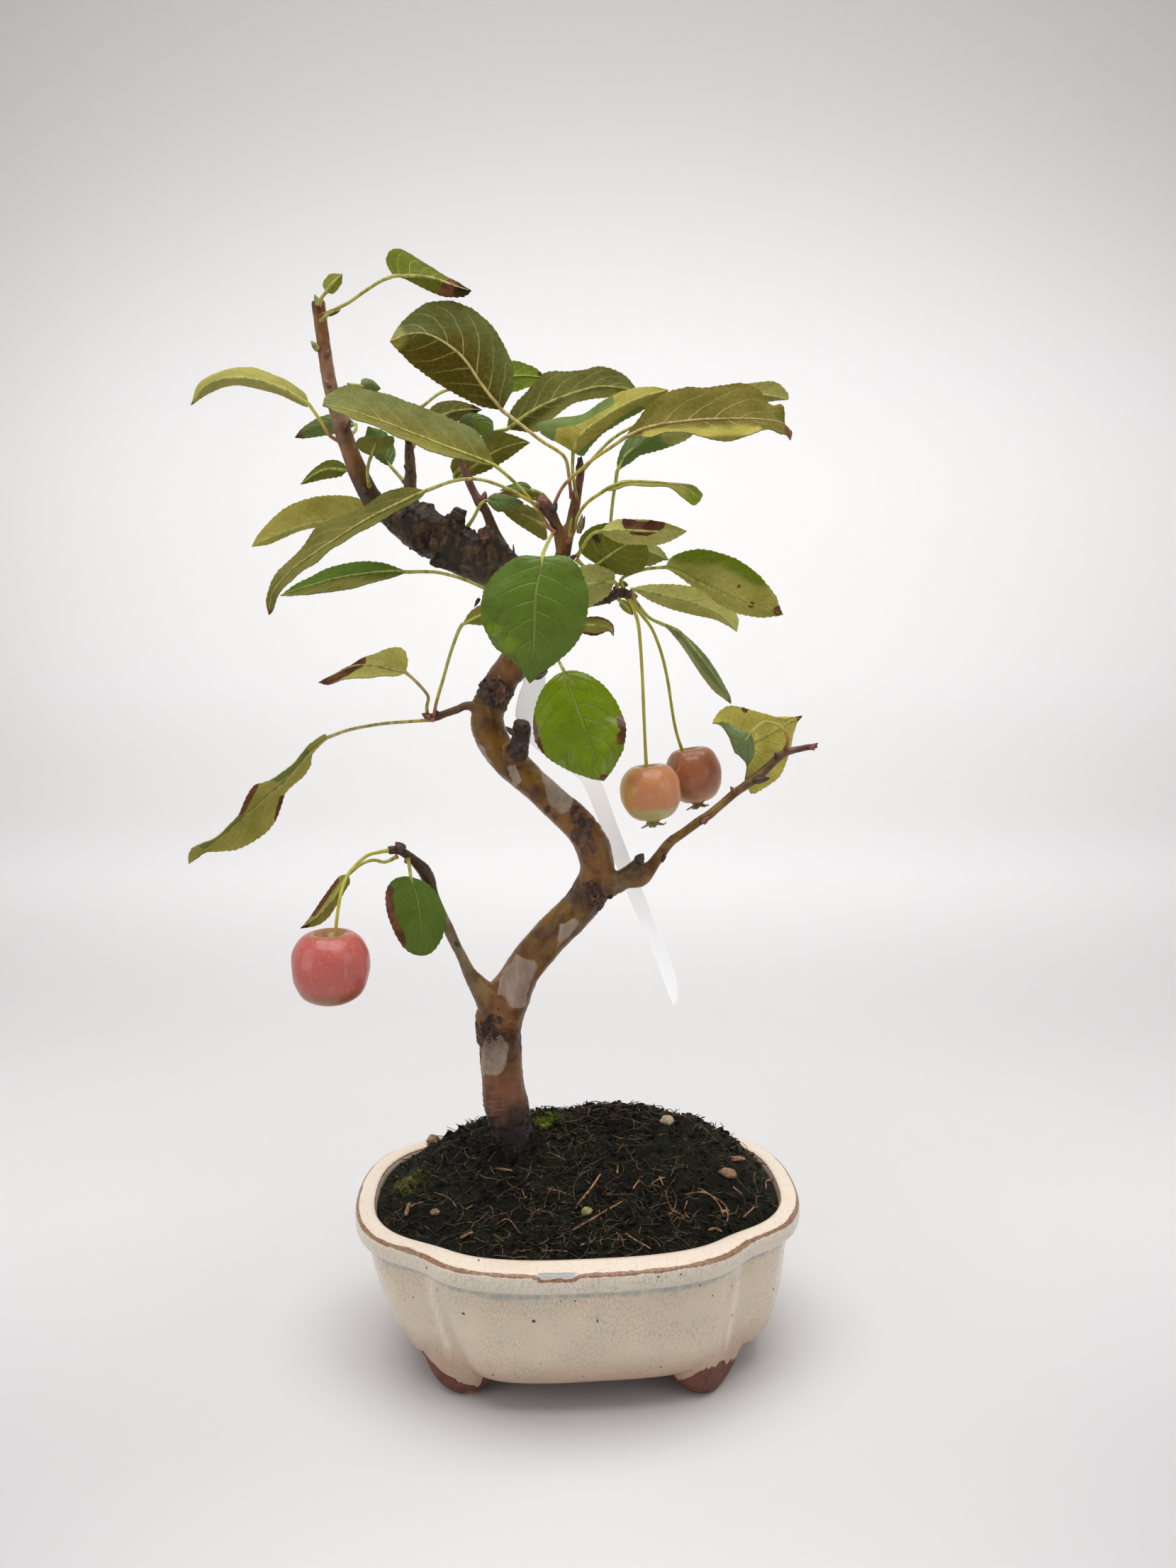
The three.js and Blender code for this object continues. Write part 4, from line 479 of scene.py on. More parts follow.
# Each leaf's stalk, rib and two margins on the front plane, how far the margins bow back, and its
# look: the face it shows, its tissue, its stalk and what marks it. A stroke is (what, its half
# width, its places on the front plane).
LEAVES = {
    "leaf_top": dict(
        stalk=[(-83.4, 353, -2.6), (-75.6, 356.4, -4), (-70, 360, -5), (-64.8, 363.2, -6)],
        rib=[(-60.3, 365, -7), (-48.8, 364.6, -9), (-40, 362, -10), (-35, 360.5, -10)],
        left=[(-62.5, 370), (-59, 373.4), (-51.7, 370), (-45.8, 366.4)],
        right=[(-54, 363.2), (-47.7, 359.8), (-42.5, 358.6), (-37.3, 358.6)], bow=(6, 5),
        look=dict(warm=0.9, pale=0.05, fresh=0.6, tan=0.2, blush=0.1, strokes=[("burn", 4.5, (-41, 360),
            (-36, 359.5)), ("char", 3, (-38, 360)), ("burn", 1.6, (-52, 360), (-44, 358))])),
    "leaf_bud": dict(
        stalk=[(-84.2, 356.5, -4), (-83.4, 358.4, -4)],
        rib=[(-82, 360, -4), (-79.4, 363, -4), (-76.6, 365.6, -4)], left=[(-83, 362.6), (-80.4, 365.6)],
        right=[(-79.6, 359.6), (-77, 362.6)], bow=(1, 1), look=dict(warm=0.8, pale=0.8, fresh=0.5)),
    "leaf_far_left": dict(
        stalk=[(-79.5, 313.6, 0.6), (-82.2, 315.2, 0), (-84.8, 319.5, 0)],
        rib=[(-88.6, 325, 0), (-98, 330.2, -2), (-110, 333.2, -4), (-121, 331.2, -5),
            (-127.2, 324.7, -5)],
        left=[(-90.5, 329), (-100, 334.4), (-111, 336.6), (-123, 332.6)],
        right=[(-89.8, 324.4), (-98.4, 328), (-110, 331), (-119.6, 329.2)], bow=(10, 9),
        look=dict(warm=0.62, pale=0.8, blush=0.5, tip=0.03)),
    "leaf_wide_left": dict(
        stalk=[(-9.2, 284.6, -6.6), (-11.2, 287, -6.6), (-13.4, 290.4, -7), (-16, 293.8, -8),
            (-19, 297.6, -9.5), (-24, 302.3, -11.5)],
        rib=[(-28, 305.5, -13), (-40, 309.8, -14), (-52, 314.3, -14), (-64, 319, -13), (-76, 323, -12),
            (-84.2, 324.5, -11)],
        left=[(-33.6, 316), (-45.5, 321.7), (-60, 327), (-75, 330.6), (-82.5, 328)],
        right=[(-38, 307), (-52, 311.8), (-66, 317.4), (-78, 322)], bow=(5, -9),
        look=dict(warm=0.75, pale=0.42, blush=0.3, strokes=[("cool", 5, (-33.6, 316), (-60, 327),
            (-82.5, 328))])),
    "leaf_round_top": dict(
        stalk=[(-2.9, 296, -5.6), (-3.3, 299, -8.2), (-3.8, 303, -9.6), (-5.4, 308.6, -10.6),
            (-13, 313.6, -11), (-20, 319, -10)],
        rib=[(-25.5, 323, -8), (-31.9, 330.8, -9), (-38.5, 340, -10), (-47.2, 346.1, -11),
            (-54.3, 347.2, -12), (-61.8, 344.7, -12)],
        left=[(-34, 325), (-43, 329.6), (-52.4, 335.6), (-59, 341.6)],
        right=[(-21.6, 332), (-24.6, 344), (-34, 354.4), (-47, 357.4), (-57, 351.6)], bow=(4, 5),
        look=dict(warm=1, pale=0, blush=0.3, tan=0.6, strokes=[("cool", 7, (-21.6, 332), (-24.6, 344),
            (-34, 354.4), (-57, 351.6)), ("pale", 4, (-60, 346))])),
    "leaf_behind_round": dict(
        stalk=[(-57.6, 315, 4), (-54, 322, 8), (-50.9, 324.8, 12), (-43.7, 329.4, 17)],
        rib=[(-32, 330.5, 19), (-22, 333.6, 19), (-10.9, 333.3, 20)],
        left=[(-30, 335.6), (-22, 338.6), (-15, 336.6)], right=[(-29, 328), (-22, 329), (-15, 331)],
        bow=(2, -2), look=dict(warm=0.8, pale=0.4, fresh=1, strokes=[("burn", 1.6, (-12.4, 334))])),
    "leaf_crown": dict(
        stalk=[(-40.6, 309.6, 5.6), (-39.6, 311.6, 8.6), (-37, 314.6, 12), (-30, 316, 13)],
        rib=[(-24, 317, 13), (-15.2, 323.1, 13), (-5.3, 327.5, 12), (6, 330.6, 11), (15.4, 329.8, 11),
            (19.2, 328.7, 11)],
        left=[(-22.6, 323), (-17, 329.6), (-10.5, 335), (0, 335.4), (7, 337), (14.5, 334)],
        right=[(-14, 316.4), (-8.8, 320.8), (-1.6, 325.6), (9.8, 327.3)], bow=(4, 7),
        look=dict(warm=0.5, pale=0.15, blush=0.1, strokes=[("pale", 3, (-14, 316.4), (-1.6, 325.6),
            (9.8, 327.3))])),
    "leaf_twisted": dict(
        stalk=[(-1.2, 295.3, -5.2), (-1.9, 299.6, -6.9), (-2.5, 304, -7.2)],
        rib=[(-2.3, 309.7, -8), (0, 315, -9.4), (6, 319.6, -10.4), (12.4, 323.6, -11.4), (20, 327, -12),
            (29, 329.5, -12)],
        left=[(-6.5, 312.3), (-12.7, 315.5), (-14, 319.3), (-7.8, 320), (-1.3, 321.2), (3.3, 323.1),
            (9.2, 326.9), (17, 330.1), (23.5, 330.4)],
        right=[(1, 308.6), (4, 312.3), (7.2, 315.8), (13.1, 319), (19.7, 322.5), (26, 327.2)],
        bow=(6, 4),
        look=dict(warm=0.95, pale=0.8, strokes=[("turned", 4.2, (-12, 315.5), (-12, 318.6)), ("turned",
            2.4, (-12, 319), (-1.3, 320.6), (9, 326)), ("turned", 2.6, (1, 308.2), (13, 318),
            (19.7, 322)), ("pale", 5, (-12, 317), (0, 320))])),
    "leaf_wide_right": dict(
        stalk=[(-9, 291.6, -6.2), (-7.4, 295.6, -8.2), (-5, 299.5, -9.4), (0.2, 304.2, -10.6),
            (5, 308, -12), (9.8, 311.1, -14)],
        rib=[(14.6, 314.4, -15), (24.1, 317.8, -16), (38.4, 319.7, -18), (52.6, 320.1, -19),
            (63.5, 319.4, -20), (68, 317.4, -20.4), (69, 313.6, -20)],
        left=[(19, 320.4), (24, 326), (30, 329.4), (43, 330.6), (52, 331.6), (58.6, 329), (62.7, 324.8),
            (66.1, 324.6), (66.8, 319.4), (69.4, 316.4)],
        right=[(22, 314.8), (31.8, 315.6), (45, 314.1), (53, 314.4), (60.6, 316.8), (65, 315.6),
            (67.4, 315.4)],
        bow=(5, -8),
        # The pale stroke along the lower margin paints a highlight there.
        look=dict(warm=0.95, pale=0.22, blush=0.4, tan=0.8, strokes=[("pale", 1.6, (22, 315.4),
            (38, 316), (58, 316.6)), ("burn", 1.5, (68.4, 317.4), (69, 313.4))])),
    "leaf_behind_right": dict(
        stalk=[(0.4, 303.4, -2.2), (12, 315, 3), (28, 321.6, 5)],
        rib=[(42, 324, 5), (56, 328, 6), (68.2, 326.6, 7)],
        left=[(48, 329.6), (57.6, 331.8), (63.7, 331.8), (67.6, 328.6)],
        right=[(48, 322), (60, 325.5), (66.6, 326.5)], bow=(3, 3),
        look=dict(warm=0.6, pale=0.45, strokes=[("burn", 1, (69.4, 327))])),
    "leaf_narrow_right": dict(
        stalk=[(-3.7, 281.4, -6), (-1.9, 284.5, -8.4), (-0.9, 289, -9.6), (2.4, 293.6, -12)],
        rib=[(7.9, 297.4, -15), (12.7, 299.2, -17), (18.4, 300, -19), (29, 299.4, -22),
            (35.6, 297.4, -24), (39.6, 294, -25)],
        left=[(12.9, 300.2), (18.4, 301), (29, 300.2), (36, 299), (40, 296.4)],
        right=[(12.4, 297.9), (18.4, 299), (28.6, 298.4), (33.6, 295.6), (37.6, 293)], bow=(8, -7),
        look=dict(warm=0.8, pale=0.6, blush=0.4, strokes=[("fresh", 5, (39, 295))])),
    "leaf_spotted_low": dict(
        stalk=[(-0.6, 276.8, -7), (1.3, 279.9, -13), (2.8, 282.2, -15.5), (4.8, 283.8, -18)],
        rib=[(7, 284.3, -20), (15, 284.6, -21), (25, 284.2, -22), (35.4, 284.3, -22)],
        left=[(9, 286.5), (12.6, 288), (20, 288.1), (27, 287.2), (31, 286.2)],
        right=[(8.6, 282.7), (13, 280.6), (20, 280), (27, 280.1), (32, 282.2)], bow=(4, 4),
        look=dict(warm=0.55, pale=1.25, strokes=[("burn", 2.2, (16, 287), (18, 285.4), (22, 285),
            (26, 286.6))])),
    "leaf_round_small": dict(
        stalk=[(-0.6, 274.6, -6.4), (1.6, 272.6, -6.4), (3.6, 272.6, -6)],
        rib=[(5.6, 273.4, -6), (9.4, 276.4, -6.6), (14.4, 279.6, -7.4), (19, 281.6, -8)],
        left=[(0, 277.6), (0, 282.2), (4.6, 286), (12, 287), (17.6, 285)],
        right=[(10, 270.9), (15.6, 270), (20.6, 271.6), (22.9, 276), (22, 280)], bow=(-2, 3),
        look=dict(warm=0.85, pale=0.25, fresh=0.4, strokes=[("char", 0.8, (5, 282.8)), ("burn", 1.1,
            (5, 282.8)), ("char", 0.7, (6, 281)), ("burn", 1, (6, 281)), ("char", 0.7, (6, 276.5)),
            ("burn", 0.9, (6, 276.5))])),
    "leaf_pale_back": dict(
        stalk=[(9.6, 263.6, -2), (10, 268, 2), (11, 273, 6)],
        rib=[(14, 277, 9), (22, 277.6, 9), (29.5, 275, 9)], left=[(18, 281), (25.5, 279.6)],
        right=[(17, 273), (23.3, 273), (27, 274.6)], bow=(2, 2), look=dict(warm=0.2, pale=0.95)),
    "leaf_right": dict(
        stalk=[(14.4, 265.8, -3.6), (13.6, 268.4, -3.6), (16.6, 270.4, -3.2), (22, 272, -2.6)],
        rib=[(28.3, 272.6, -2), (33, 271.3, -2), (38, 268.5, -2), (44, 265.7, -2), (50, 262.8, -1.6),
            (56, 260.7, -1.2), (62, 259.5, -0.6), (67.8, 257, 0)],
        left=[(30, 275.5), (33.6, 277.4), (40, 278.5), (48, 276.8), (54, 274), (60, 269.6), (65, 263.6),
            (66.4, 259.8)],
        right=[(32, 270), (36.5, 267), (42, 263.5), (48, 259.8), (53, 257.2), (60, 256), (65.4, 256.4)],
        bow=(-4, 3),
        look=dict(warm=0.66, pale=0.98, strokes=[("fresh", 4, (33.6, 277.4), (48, 276.8), (60, 269.6)),
            ("burn", 1, (52.5, 265.7)), ("burn", 1, (57, 260)), ("burn", 1.6, (66, 258.4))])),
    "leaf_right_lower": dict(
        stalk=[(18.1, 263.4, -3.4), (17.3, 264.8, -2)],
        rib=[(17.2, 265.4, 2), (27, 263.4, 5), (38, 260.6, 7), (47, 256.6, 8), (52.5, 251.3, 8)],
        left=[(20.5, 266.6), (30, 266.9), (40, 265.6), (49, 261), (52.8, 256)],
        right=[(20.5, 263.3), (27.5, 259.7), (36, 257.4), (44, 255.6), (49.6, 253)], bow=(3, 4),
        look=dict(warm=0.5, pale=1.3)),
    "leaf_grey_centre": dict(
        stalk=[(12.4, 264.8, -5), (12.2, 266.8, -6.6)],
        rib=[(11.4, 267.8, -8), (6, 267.6, -9), (0, 266.2, -10), (-6, 263, -10), (-11.5, 259, -10)],
        left=[(9.6, 263.6), (5, 260.5), (0.6, 258), (-5.6, 256.6)],
        right=[(11.4, 270.6), (8.4, 272.4), (3.5, 273.6), (-3, 271.4), (-8.6, 265.6)], bow=(2, 1),
        look=dict(warm=0.35, pale=1)),
    "leaf_hanging": dict(
        stalk=[(17.2, 263.4, -4.2), (19.4, 260.2, -3.6), (23, 256, -3)],
        rib=[(27.5, 253.8, -2), (33.4, 251, -1), (37.4, 246.4, 0), (41.6, 241, 0), (45.6, 235.6, 0),
            (48.6, 231, 0), (50.9, 227.2, 0)],
        left=[(31, 252.7), (35.4, 250), (39.6, 246), (44.4, 240.2), (48.4, 233.8), (50.4, 230)],
        right=[(30, 251.6), (33.4, 247.6), (37, 242.4), (40.6, 237.2), (45, 231.6), (48.6, 228.8)],
        bow=(3, 5),
        # The high pale on this upper face paints a grey sheen.
        look=dict(shows="upper", warm=0.4, pale=0.95, strokes=[("turned", 1.4, (33.4, 248),
            (40.6, 237.4), (48.6, 229)), ("pale", 2, (34, 248), (48.6, 229))])),
    "leaf_burnt": dict(
        stalk=[(-13.6, 250.8, 0.4), (-11.2, 250.2, -2.4), (-7.6, 251.6, -5)],
        rib=[(-3.6, 253.4, -6), (2, 253.6, -6), (7, 253.3, -6), (10.2, 252.4, -6), (11.2, 249.8, -6)],
        left=[(-0.4, 255.4), (5, 256.3), (9, 255.3), (11.1, 252.9)],
        right=[(-0.6, 251.4), (4, 250.1), (6.8, 250.6), (9.4, 251.6)], bow=(2, 2),
        look=dict(warm=0.6, pale=0.7, edge=0.22, tip=0.1)),
    "leaf_front": dict(
        stalk=[(-8.4, 284.2, -6), (-9.8, 282.4, -13), (-11.4, 279.2, -26), (-12.2, 277.4, -36)],
        rib=[(-12.5, 276, -40), (-13, 272, -41.5), (-14.4, 266.6, -43), (-15.1, 261, -44),
            (-15.3, 254, -44.5), (-15.6, 246.6, -44.5), (-16.4, 240, -44.5), (-17, 234, -44.5)],
        left=[(-19.6, 276.2), (-26.6, 272.2), (-31.6, 266), (-33.3, 259), (-32.2, 252.6), (-29, 246.6),
            (-24, 242.6), (-19.6, 238)],
        right=[(-5, 276.2), (-0.6, 272.8), (2, 266.6), (2.6, 260), (1.4, 252.6), (-2, 246.6),
            (-7.6, 241.4), (-13, 237.4)],
        bow=(3, 4),
        look=dict(shows="upper", warm=0.7, pale=0.08, fresh=0.12, blush=0.2, strokes=[("fresh", 3,
            (-24, 247)), ("fresh", 2.4, (-29, 252)), ("burn", 0.8, (-24, 252))])),
    "leaf_glossy": dict(
        stalk=[(-14.4, 249.4, 0.4), (-11.6, 248, -3.6), (-9, 244.6, -7), (-6.8, 240.8, -9)],
        rib=[(-5.4, 238, -11), (-3, 231.5, -14), (-1, 226, -16.5), (1, 220.5, -19), (3, 215, -21.5),
            (4.7, 210, -23.5), (8, 201, -26)],
        left=[(-8.4, 236.8), (-12.4, 232.6), (-15.2, 227), (-16, 220.4), (-15.2, 214.6), (-11.4, 209.2),
            (-5, 205.2), (3, 202)],
        right=[(-2, 238.4), (3.4, 236.8), (9, 232.2), (13, 226.4), (15.2, 220), (14.6, 212.6),
            (12, 206.6), (9.4, 202.8)],
        bow=(2, 2),
        look=dict(shows="upper", warm=0.7, pale=0.1, fresh=0.8, wet=1, strokes=[("burn", 1.4,
            (13.8, 222), (14.8, 218), (13.6, 214.6)), ("burn", 1.5, (-16.4, 222), (-15.8, 216),
            (-13.4, 210.4)), ("burn", 1.4, (8, 202))])),
    "leaf_left_hidden": dict(
        stalk=[(-49.4, 223, -1.2), (-48.6, 227.4, -4), (-46, 236, -6), (-43.6, 244, -8),
            (-41, 251, -9)],
        rib=[(-39.6, 253.6, -10), (-34, 256.4, -11), (-28, 258.6, -12), (-23, 261.6, -12)],
        left=[(-36.6, 258), (-31.6, 261), (-26.6, 262.6)],
        right=[(-36.6, 253.8), (-32, 253.6), (-26.6, 256.4)], bow=(1, 1),
        look=dict(warm=0.8, pale=0.55, blush=0.2)),
    "leaf_left_upper": dict(
        stalk=[(-51.6, 223.4, -1), (-51.8, 226.4, -3.4), (-51.3, 229.8, -4.6), (-55, 234.4, -6)],
        rib=[(-58.6, 237.7, -7), (-62, 238.3, -8), (-66, 239.1, -9), (-71, 239.8, -10),
            (-76, 239.6, -11), (-82, 237, -12), (-88, 234.3, -12)],
        left=[(-57.8, 242), (-59.6, 245.7), (-64, 245.9), (-69.4, 243.8), (-74.6, 241.6), (-80, 238.8),
            (-85, 235.8)],
        right=[(-62, 236.9), (-68, 236.4), (-74, 235.8), (-79.6, 235.4), (-84.6, 234)], bow=(3, -8),
        look=dict(warm=0.6, pale=1.2, tan=0.6, blush=0.2, strokes=[("burn", 2.2, (-74, 241.5),
            (-80, 238), (-86, 235))])),
    "leaf_left_long": dict(
        stalk=[(-50.4, 221.8, -1.8), (-58, 221.2, -4), (-65, 220.7, -5), (-72, 219.7, -6),
            (-79, 218.2, -7)],
        rib=[(-86, 215.7, -8), (-91, 211.8, -9), (-94, 208.7, -10), (-98, 204, -11), (-102, 200.2, -12),
            (-107, 195.8, -12), (-112, 191.2, -13), (-117, 187, -13), (-122, 182.5, -14),
            (-127, 178.7, -14), (-131, 176, -14), (-134.5, 172.3, -14)],
        left=[(-86.6, 216.9), (-91.6, 213.6), (-94.4, 210.3), (-99, 205.6), (-104, 202.2),
            (-108, 200.7), (-111, 199.5), (-113.4, 196.4), (-115, 193), (-117, 189), (-120.6, 185.3),
            (-125, 181.5), (-129.4, 179.2), (-133, 177.6), (-134.4, 175)],
        right=[(-88.6, 212.6), (-91, 209.6), (-91.6, 206.3), (-93.8, 202.8), (-97, 200),
            (-100.5, 196.5), (-102, 192.5), (-103.5, 188.5), (-106, 184.5), (-109, 182), (-113, 179.5),
            (-118, 177.2), (-123, 176.6), (-128, 176.4), (-131, 174.5)],
        bow=(-6, 4),
        look=dict(warm=0.66, pale=0.9, tan=0.4, blush=0.1, strokes=[("burn", 1.5, (-111, 199.8),
            (-116, 191)), ("burn", 1.2, (-101.5, 195), (-103.5, 188)), ("turned", 2.2, (-94, 210.4),
            (-103, 202.8)), ("turned", 2, (-117, 189), (-129, 179.6)), ("pale", 2.4, (-94, 210.4),
            (-103, 202.8)), ("pale", 2.4, (-117, 189), (-129, 179.6))])),
    "leaf_folded_left": dict(
        stalk=[(-29.8, 264.8, -5), (-39, 268.7, -6), (-46.5, 270.7, -6), (-51.5, 271.1, -7)],
        rib=[(-57.5, 271, -8), (-68, 270.4, -8), (-80, 268.8, -9), (-92, 265.6, -9), (-100, 263.2, -9)],
        left=[(-63, 273.4), (-70, 274.2), (-78, 273.8), (-86, 271.3), (-94, 267.2)],
        right=[(-63, 269), (-71, 267), (-80, 265), (-88, 263.8), (-95, 263.2)], bow=(4, -8),
        look=dict(warm=0.6, pale=0.9, strokes=[("turned", 3.4, (-62, 273), (-78, 272.6), (-96, 267)),
            ("deep", 4.4, (-62, 273), (-78, 272.6), (-96, 267))])),
    "leaf_behind_leader": dict(
        stalk=[(-62.4, 286, 6), (-64.4, 288, 8.4)],
        rib=[(-67, 289, 10), (-78.5, 288, 12), (-88, 287, 13), (-96, 285, 14), (-103, 282.2, 14),
            (-109, 279.3, 14)],
        left=[(-72, 294.4), (-81, 296), (-92, 294.2), (-100, 290), (-106, 283.9)],
        right=[(-76, 287), (-88, 285.4), (-97.5, 282.8), (-104, 280.2)], bow=(3, 7),
        look=dict(warm=0.85, pale=0.75)),
    "leaf_curled_front": dict(
        stalk=[(-12.6, 292.8, -7.2), (-15.5, 293.5, -11.5), (-18, 294.8, -14.5), (-22.8, 297.6, -15.6),
            (-32.3, 300.9, -19), (-41, 300.7, -20)],
        rib=[(-50.8, 297.4, -20), (-59.7, 293, -21), (-69.5, 288.3, -22), (-78, 283.2, -23),
            (-88, 276.9, -24), (-95.2, 271.7, -24), (-101.7, 264.8, -24), (-104, 256.9, -24)],
        left=[(-57, 298.6), (-63.4, 297), (-70.6, 292.6), (-78.6, 289.2), (-87, 285.6), (-93.4, 277.6),
            (-100.5, 271.2), (-104.8, 262.8)],
        right=[(-53, 295), (-61, 290.6), (-70.9, 284.9), (-80.6, 280), (-88, 273.8), (-95.3, 269),
            (-100.3, 263.6), (-102.6, 258.4)],
        bow=(6, -5), look=dict(warm=0.62, pale=0.3, blush=0.15, tan=0.3, tip=0.03)),
    "leaf_small_behind_leader": dict(
        stalk=[(-74.2, 303.6, 5.4), (-74.8, 303.8, 6)],
        rib=[(-76.4, 304, 7), (-84.5, 304, 8), (-92.2, 299.4, 9)],
        left=[(-78.4, 306.6), (-83, 307.1), (-88.4, 303.8)],
        right=[(-79, 302), (-84.6, 301), (-89, 300)], bow=(1, 1),
        look=dict(warm=0.4, pale=0.3, fresh=0.35)),
    "leaf_cup": dict(
        stalk=[(-69.6, 299.2, -1), (-70, 303, -5), (-69.6, 306, -6)],
        rib=[(-68.6, 308.6, -6.6), (-67.4, 311.4, -7), (-66.4, 314, -6.6)],
        left=[(-72.4, 310.4), (-73.6, 313.2), (-70, 315)],
        right=[(-64.8, 309.6), (-61, 312.8), (-62, 315)], bow=(-2, -1),
        look=dict(warm=0.5, pale=0.6, fresh=0.25)),
    "leaf_teal_behind": dict(
        stalk=[(-75.2, 315.4, 3.6), (-73.6, 316.8, 6)],
        rib=[(-73.4, 318.6, 9), (-82, 318.6, 11), (-93.6, 314.4, 12)],
        left=[(-77, 321.4), (-83, 321.6), (-90, 318.2)],
        right=[(-77, 316.4), (-83, 315.2), (-89.6, 314.2)], bow=(1, 2),
        look=dict(shows="upper", warm=0.4, pale=0.6, tip=0.12)),
    "leaf_stub_dark": dict(
        stalk=[(-58.4, 300.8, 3.6), (-60, 302.6, 5)],
        rib=[(-62.1, 305, 6.6), (-65.6, 310.6, 8), (-69.5, 318, 9)],
        left=[(-66.6, 307.4), (-70.6, 312.6)], right=[(-60.6, 310), (-63.6, 316)], bow=(2, 2),
        look=dict(shows="upper", warm=0.4, pale=0.2)),
    "leaf_black_tip": dict(
        stalk=[(-54.6, 312, 5), (-53.4, 313.6, 6)],
        rib=[(-51.6, 316, 7), (-45, 321.4, 9), (-38.6, 323.2, 10), (-32, 323.3, 11)],
        left=[(-51, 320.6), (-47, 325.2), (-41, 326.2), (-36, 325)],
        right=[(-47.6, 316.6), (-42, 319), (-36.6, 321)], bow=(2, 3),
        look=dict(warm=0.6, pale=0.15, strokes=[("burn", 3, (-33, 323.3)), ("char", 3,
            (-32.6, 323.3))])),
    "leaf_teal_folded": dict(
        stalk=[(-41.2, 310.4, 5), (-42, 312.6, 4), (-41.8, 315.4, 4)],
        rib=[(-40.6, 317.6, 4), (-36, 320, 3), (-31.6, 318.4, 2), (-29, 313.8, 1)],
        left=[(-38, 321.6), (-33.6, 322), (-28.6, 319.6)],
        right=[(-38, 317), (-34.6, 316.4), (-31.6, 314.6)], bow=(1, 1),
        look=dict(shows="upper", warm=0.4, pale=0.75, strokes=[("fresh", 1.4, (-34, 320),
            (-31, 317))])),
    "leaf_dull_crown": dict(
        stalk=[(-38.6, 305, 6), (-41.4, 302.6, 8.4)],
        rib=[(-41, 301, 9), (-36, 304.6, 9), (-27.6, 310.2, 9), (-19, 312.9, 9), (-16.4, 312.8, 9)],
        left=[(-42.6, 306), (-37.6, 311), (-28.7, 316.4), (-22, 315.2)],
        right=[(-37.6, 301.6), (-31, 303.6), (-23.7, 307.6)], bow=(-1, 2),
        look=dict(warm=0.8, pale=0.3, strokes=[("burn", 1.2, (-16.6, 313.8))])),
    "leaf_dark_crown": dict(
        stalk=[(-37.4, 285.6, -1.5), (-35.4, 288.4, -2), (-33.8, 291.4, -1.8), (-32.6, 293.4, -1.2)],
        rib=[(-31, 294.3, -1), (-27, 294, -1.6), (-23, 293.9, -2), (-18.6, 293.5, -2)],
        left=[(-29, 296.2), (-26, 296.6), (-21.6, 295.2)],
        right=[(-29, 291.8), (-26.6, 290.6), (-21.6, 291.6)], bow=(2, -1),
        look=dict(shows="upper", warm=0.4, pale=0.1, edge=0.12)),
    "leaf_thin_crown": dict(
        stalk=[(-10.2, 291.2, -3.4), (-9.6, 293, -1.4)],
        rib=[(-11, 294.8, 1), (-18, 296, 2), (-27.5, 296.4, 2)],
        left=[(-13, 294), (-19, 295), (-24.6, 295.4)],
        right=[(-12.6, 296.6), (-18, 297.6), (-23.6, 297.4)], bow=(4, -2),
        look=dict(warm=0.6, pale=0.5)),
    "leaf_pale_crown": dict(
        stalk=[(-8.2, 284.8, -3.4), (-9.8, 285, -0.6)],
        rib=[(-11.4, 286, 3), (-17, 289, 5), (-22, 290.9, 6), (-26.4, 291.4, 6)],
        left=[(-11.4, 281.4), (-16.8, 284), (-22.6, 288)],
        right=[(-14.4, 291), (-18.6, 293), (-23, 293)], bow=(2, 2), look=dict(warm=0.7, pale=0.6)),
    "leaf_by_fruit": dict(
        stalk=[(-63.6, 174.6, -12.6), (-67, 173, -14), (-71, 173.7, -15), (-75, 172.4, -16),
            (-78.2, 170, -16)],
        rib=[(-79.8, 168.6, -16), (-84, 162, -17), (-88.6, 156, -18), (-92.4, 152.6, -19),
            (-96.8, 149.7, -20)],
        left=[(-82.6, 168.2), (-85, 165.4), (-88.6, 160.4), (-92, 155.6), (-94.8, 151.6)],
        right=[(-79.2, 166), (-80.7, 163.4), (-83.6, 158.8), (-87, 153.6), (-91, 150.7)], bow=(3, 3),
        look=dict(warm=0.75, pale=0.66, strokes=[("burn", 1.2, (-84, 166.6), (-92, 155)), ("burn", 2.2,
            (-95.6, 150.6))])),
    "leaf_oval": dict(
        stalk=[(-59, 173.4, -13), (-58.6, 170.6, -14)],
        rib=[(-58.4, 167.8, -15), (-57, 164.2, -15.6), (-56, 160, -16), (-55.3, 155, -16.6),
            (-55, 150, -17), (-55, 145, -17), (-55, 140, -17)],
        left=[(-60.6, 168), (-64.4, 166.8), (-67, 162.6), (-66.9, 156.6), (-65.5, 151), (-63.2, 146),
            (-60, 141.9), (-57.4, 140.4)],
        right=[(-56.4, 167.2), (-52.4, 165.4), (-49.2, 161.4), (-47, 156.4), (-46.5, 151.6),
            (-47.6, 147), (-50, 142.8), (-52.7, 140.5)],
        bow=(1, 2),
        look=dict(shows="upper", warm=0.6, pale=0.06, strokes=[("burn", 2.6, (-66.8, 163), (-66.6, 156),
            (-65, 150), (-62.6, 145.4))])),
    "leaf_curled_right": dict(
        stalk=[(69.7, 212.4, 0.4), (70.3, 214.1, -2), (70.1, 216.4, -3), (68.6, 218.7, -3.6),
            (66.6, 220.3, -4), (63.7, 221, -4.4), (61.3, 220.7, -4.8)],
        rib=[(57.6, 217.2, -5), (55.1, 214.1, -6), (52.6, 210.9, -4.5), (52.9, 210.9, -1.5),
            (56, 212.6, 2.4), (62.6, 216.4, 5), (67.2, 219, 6), (75, 223.2, 6)],
        left=[(55, 218.2, -4.6), (52.4, 219.4, -4.4), (49.4, 221, -3.6), (46, 221.2, -2),
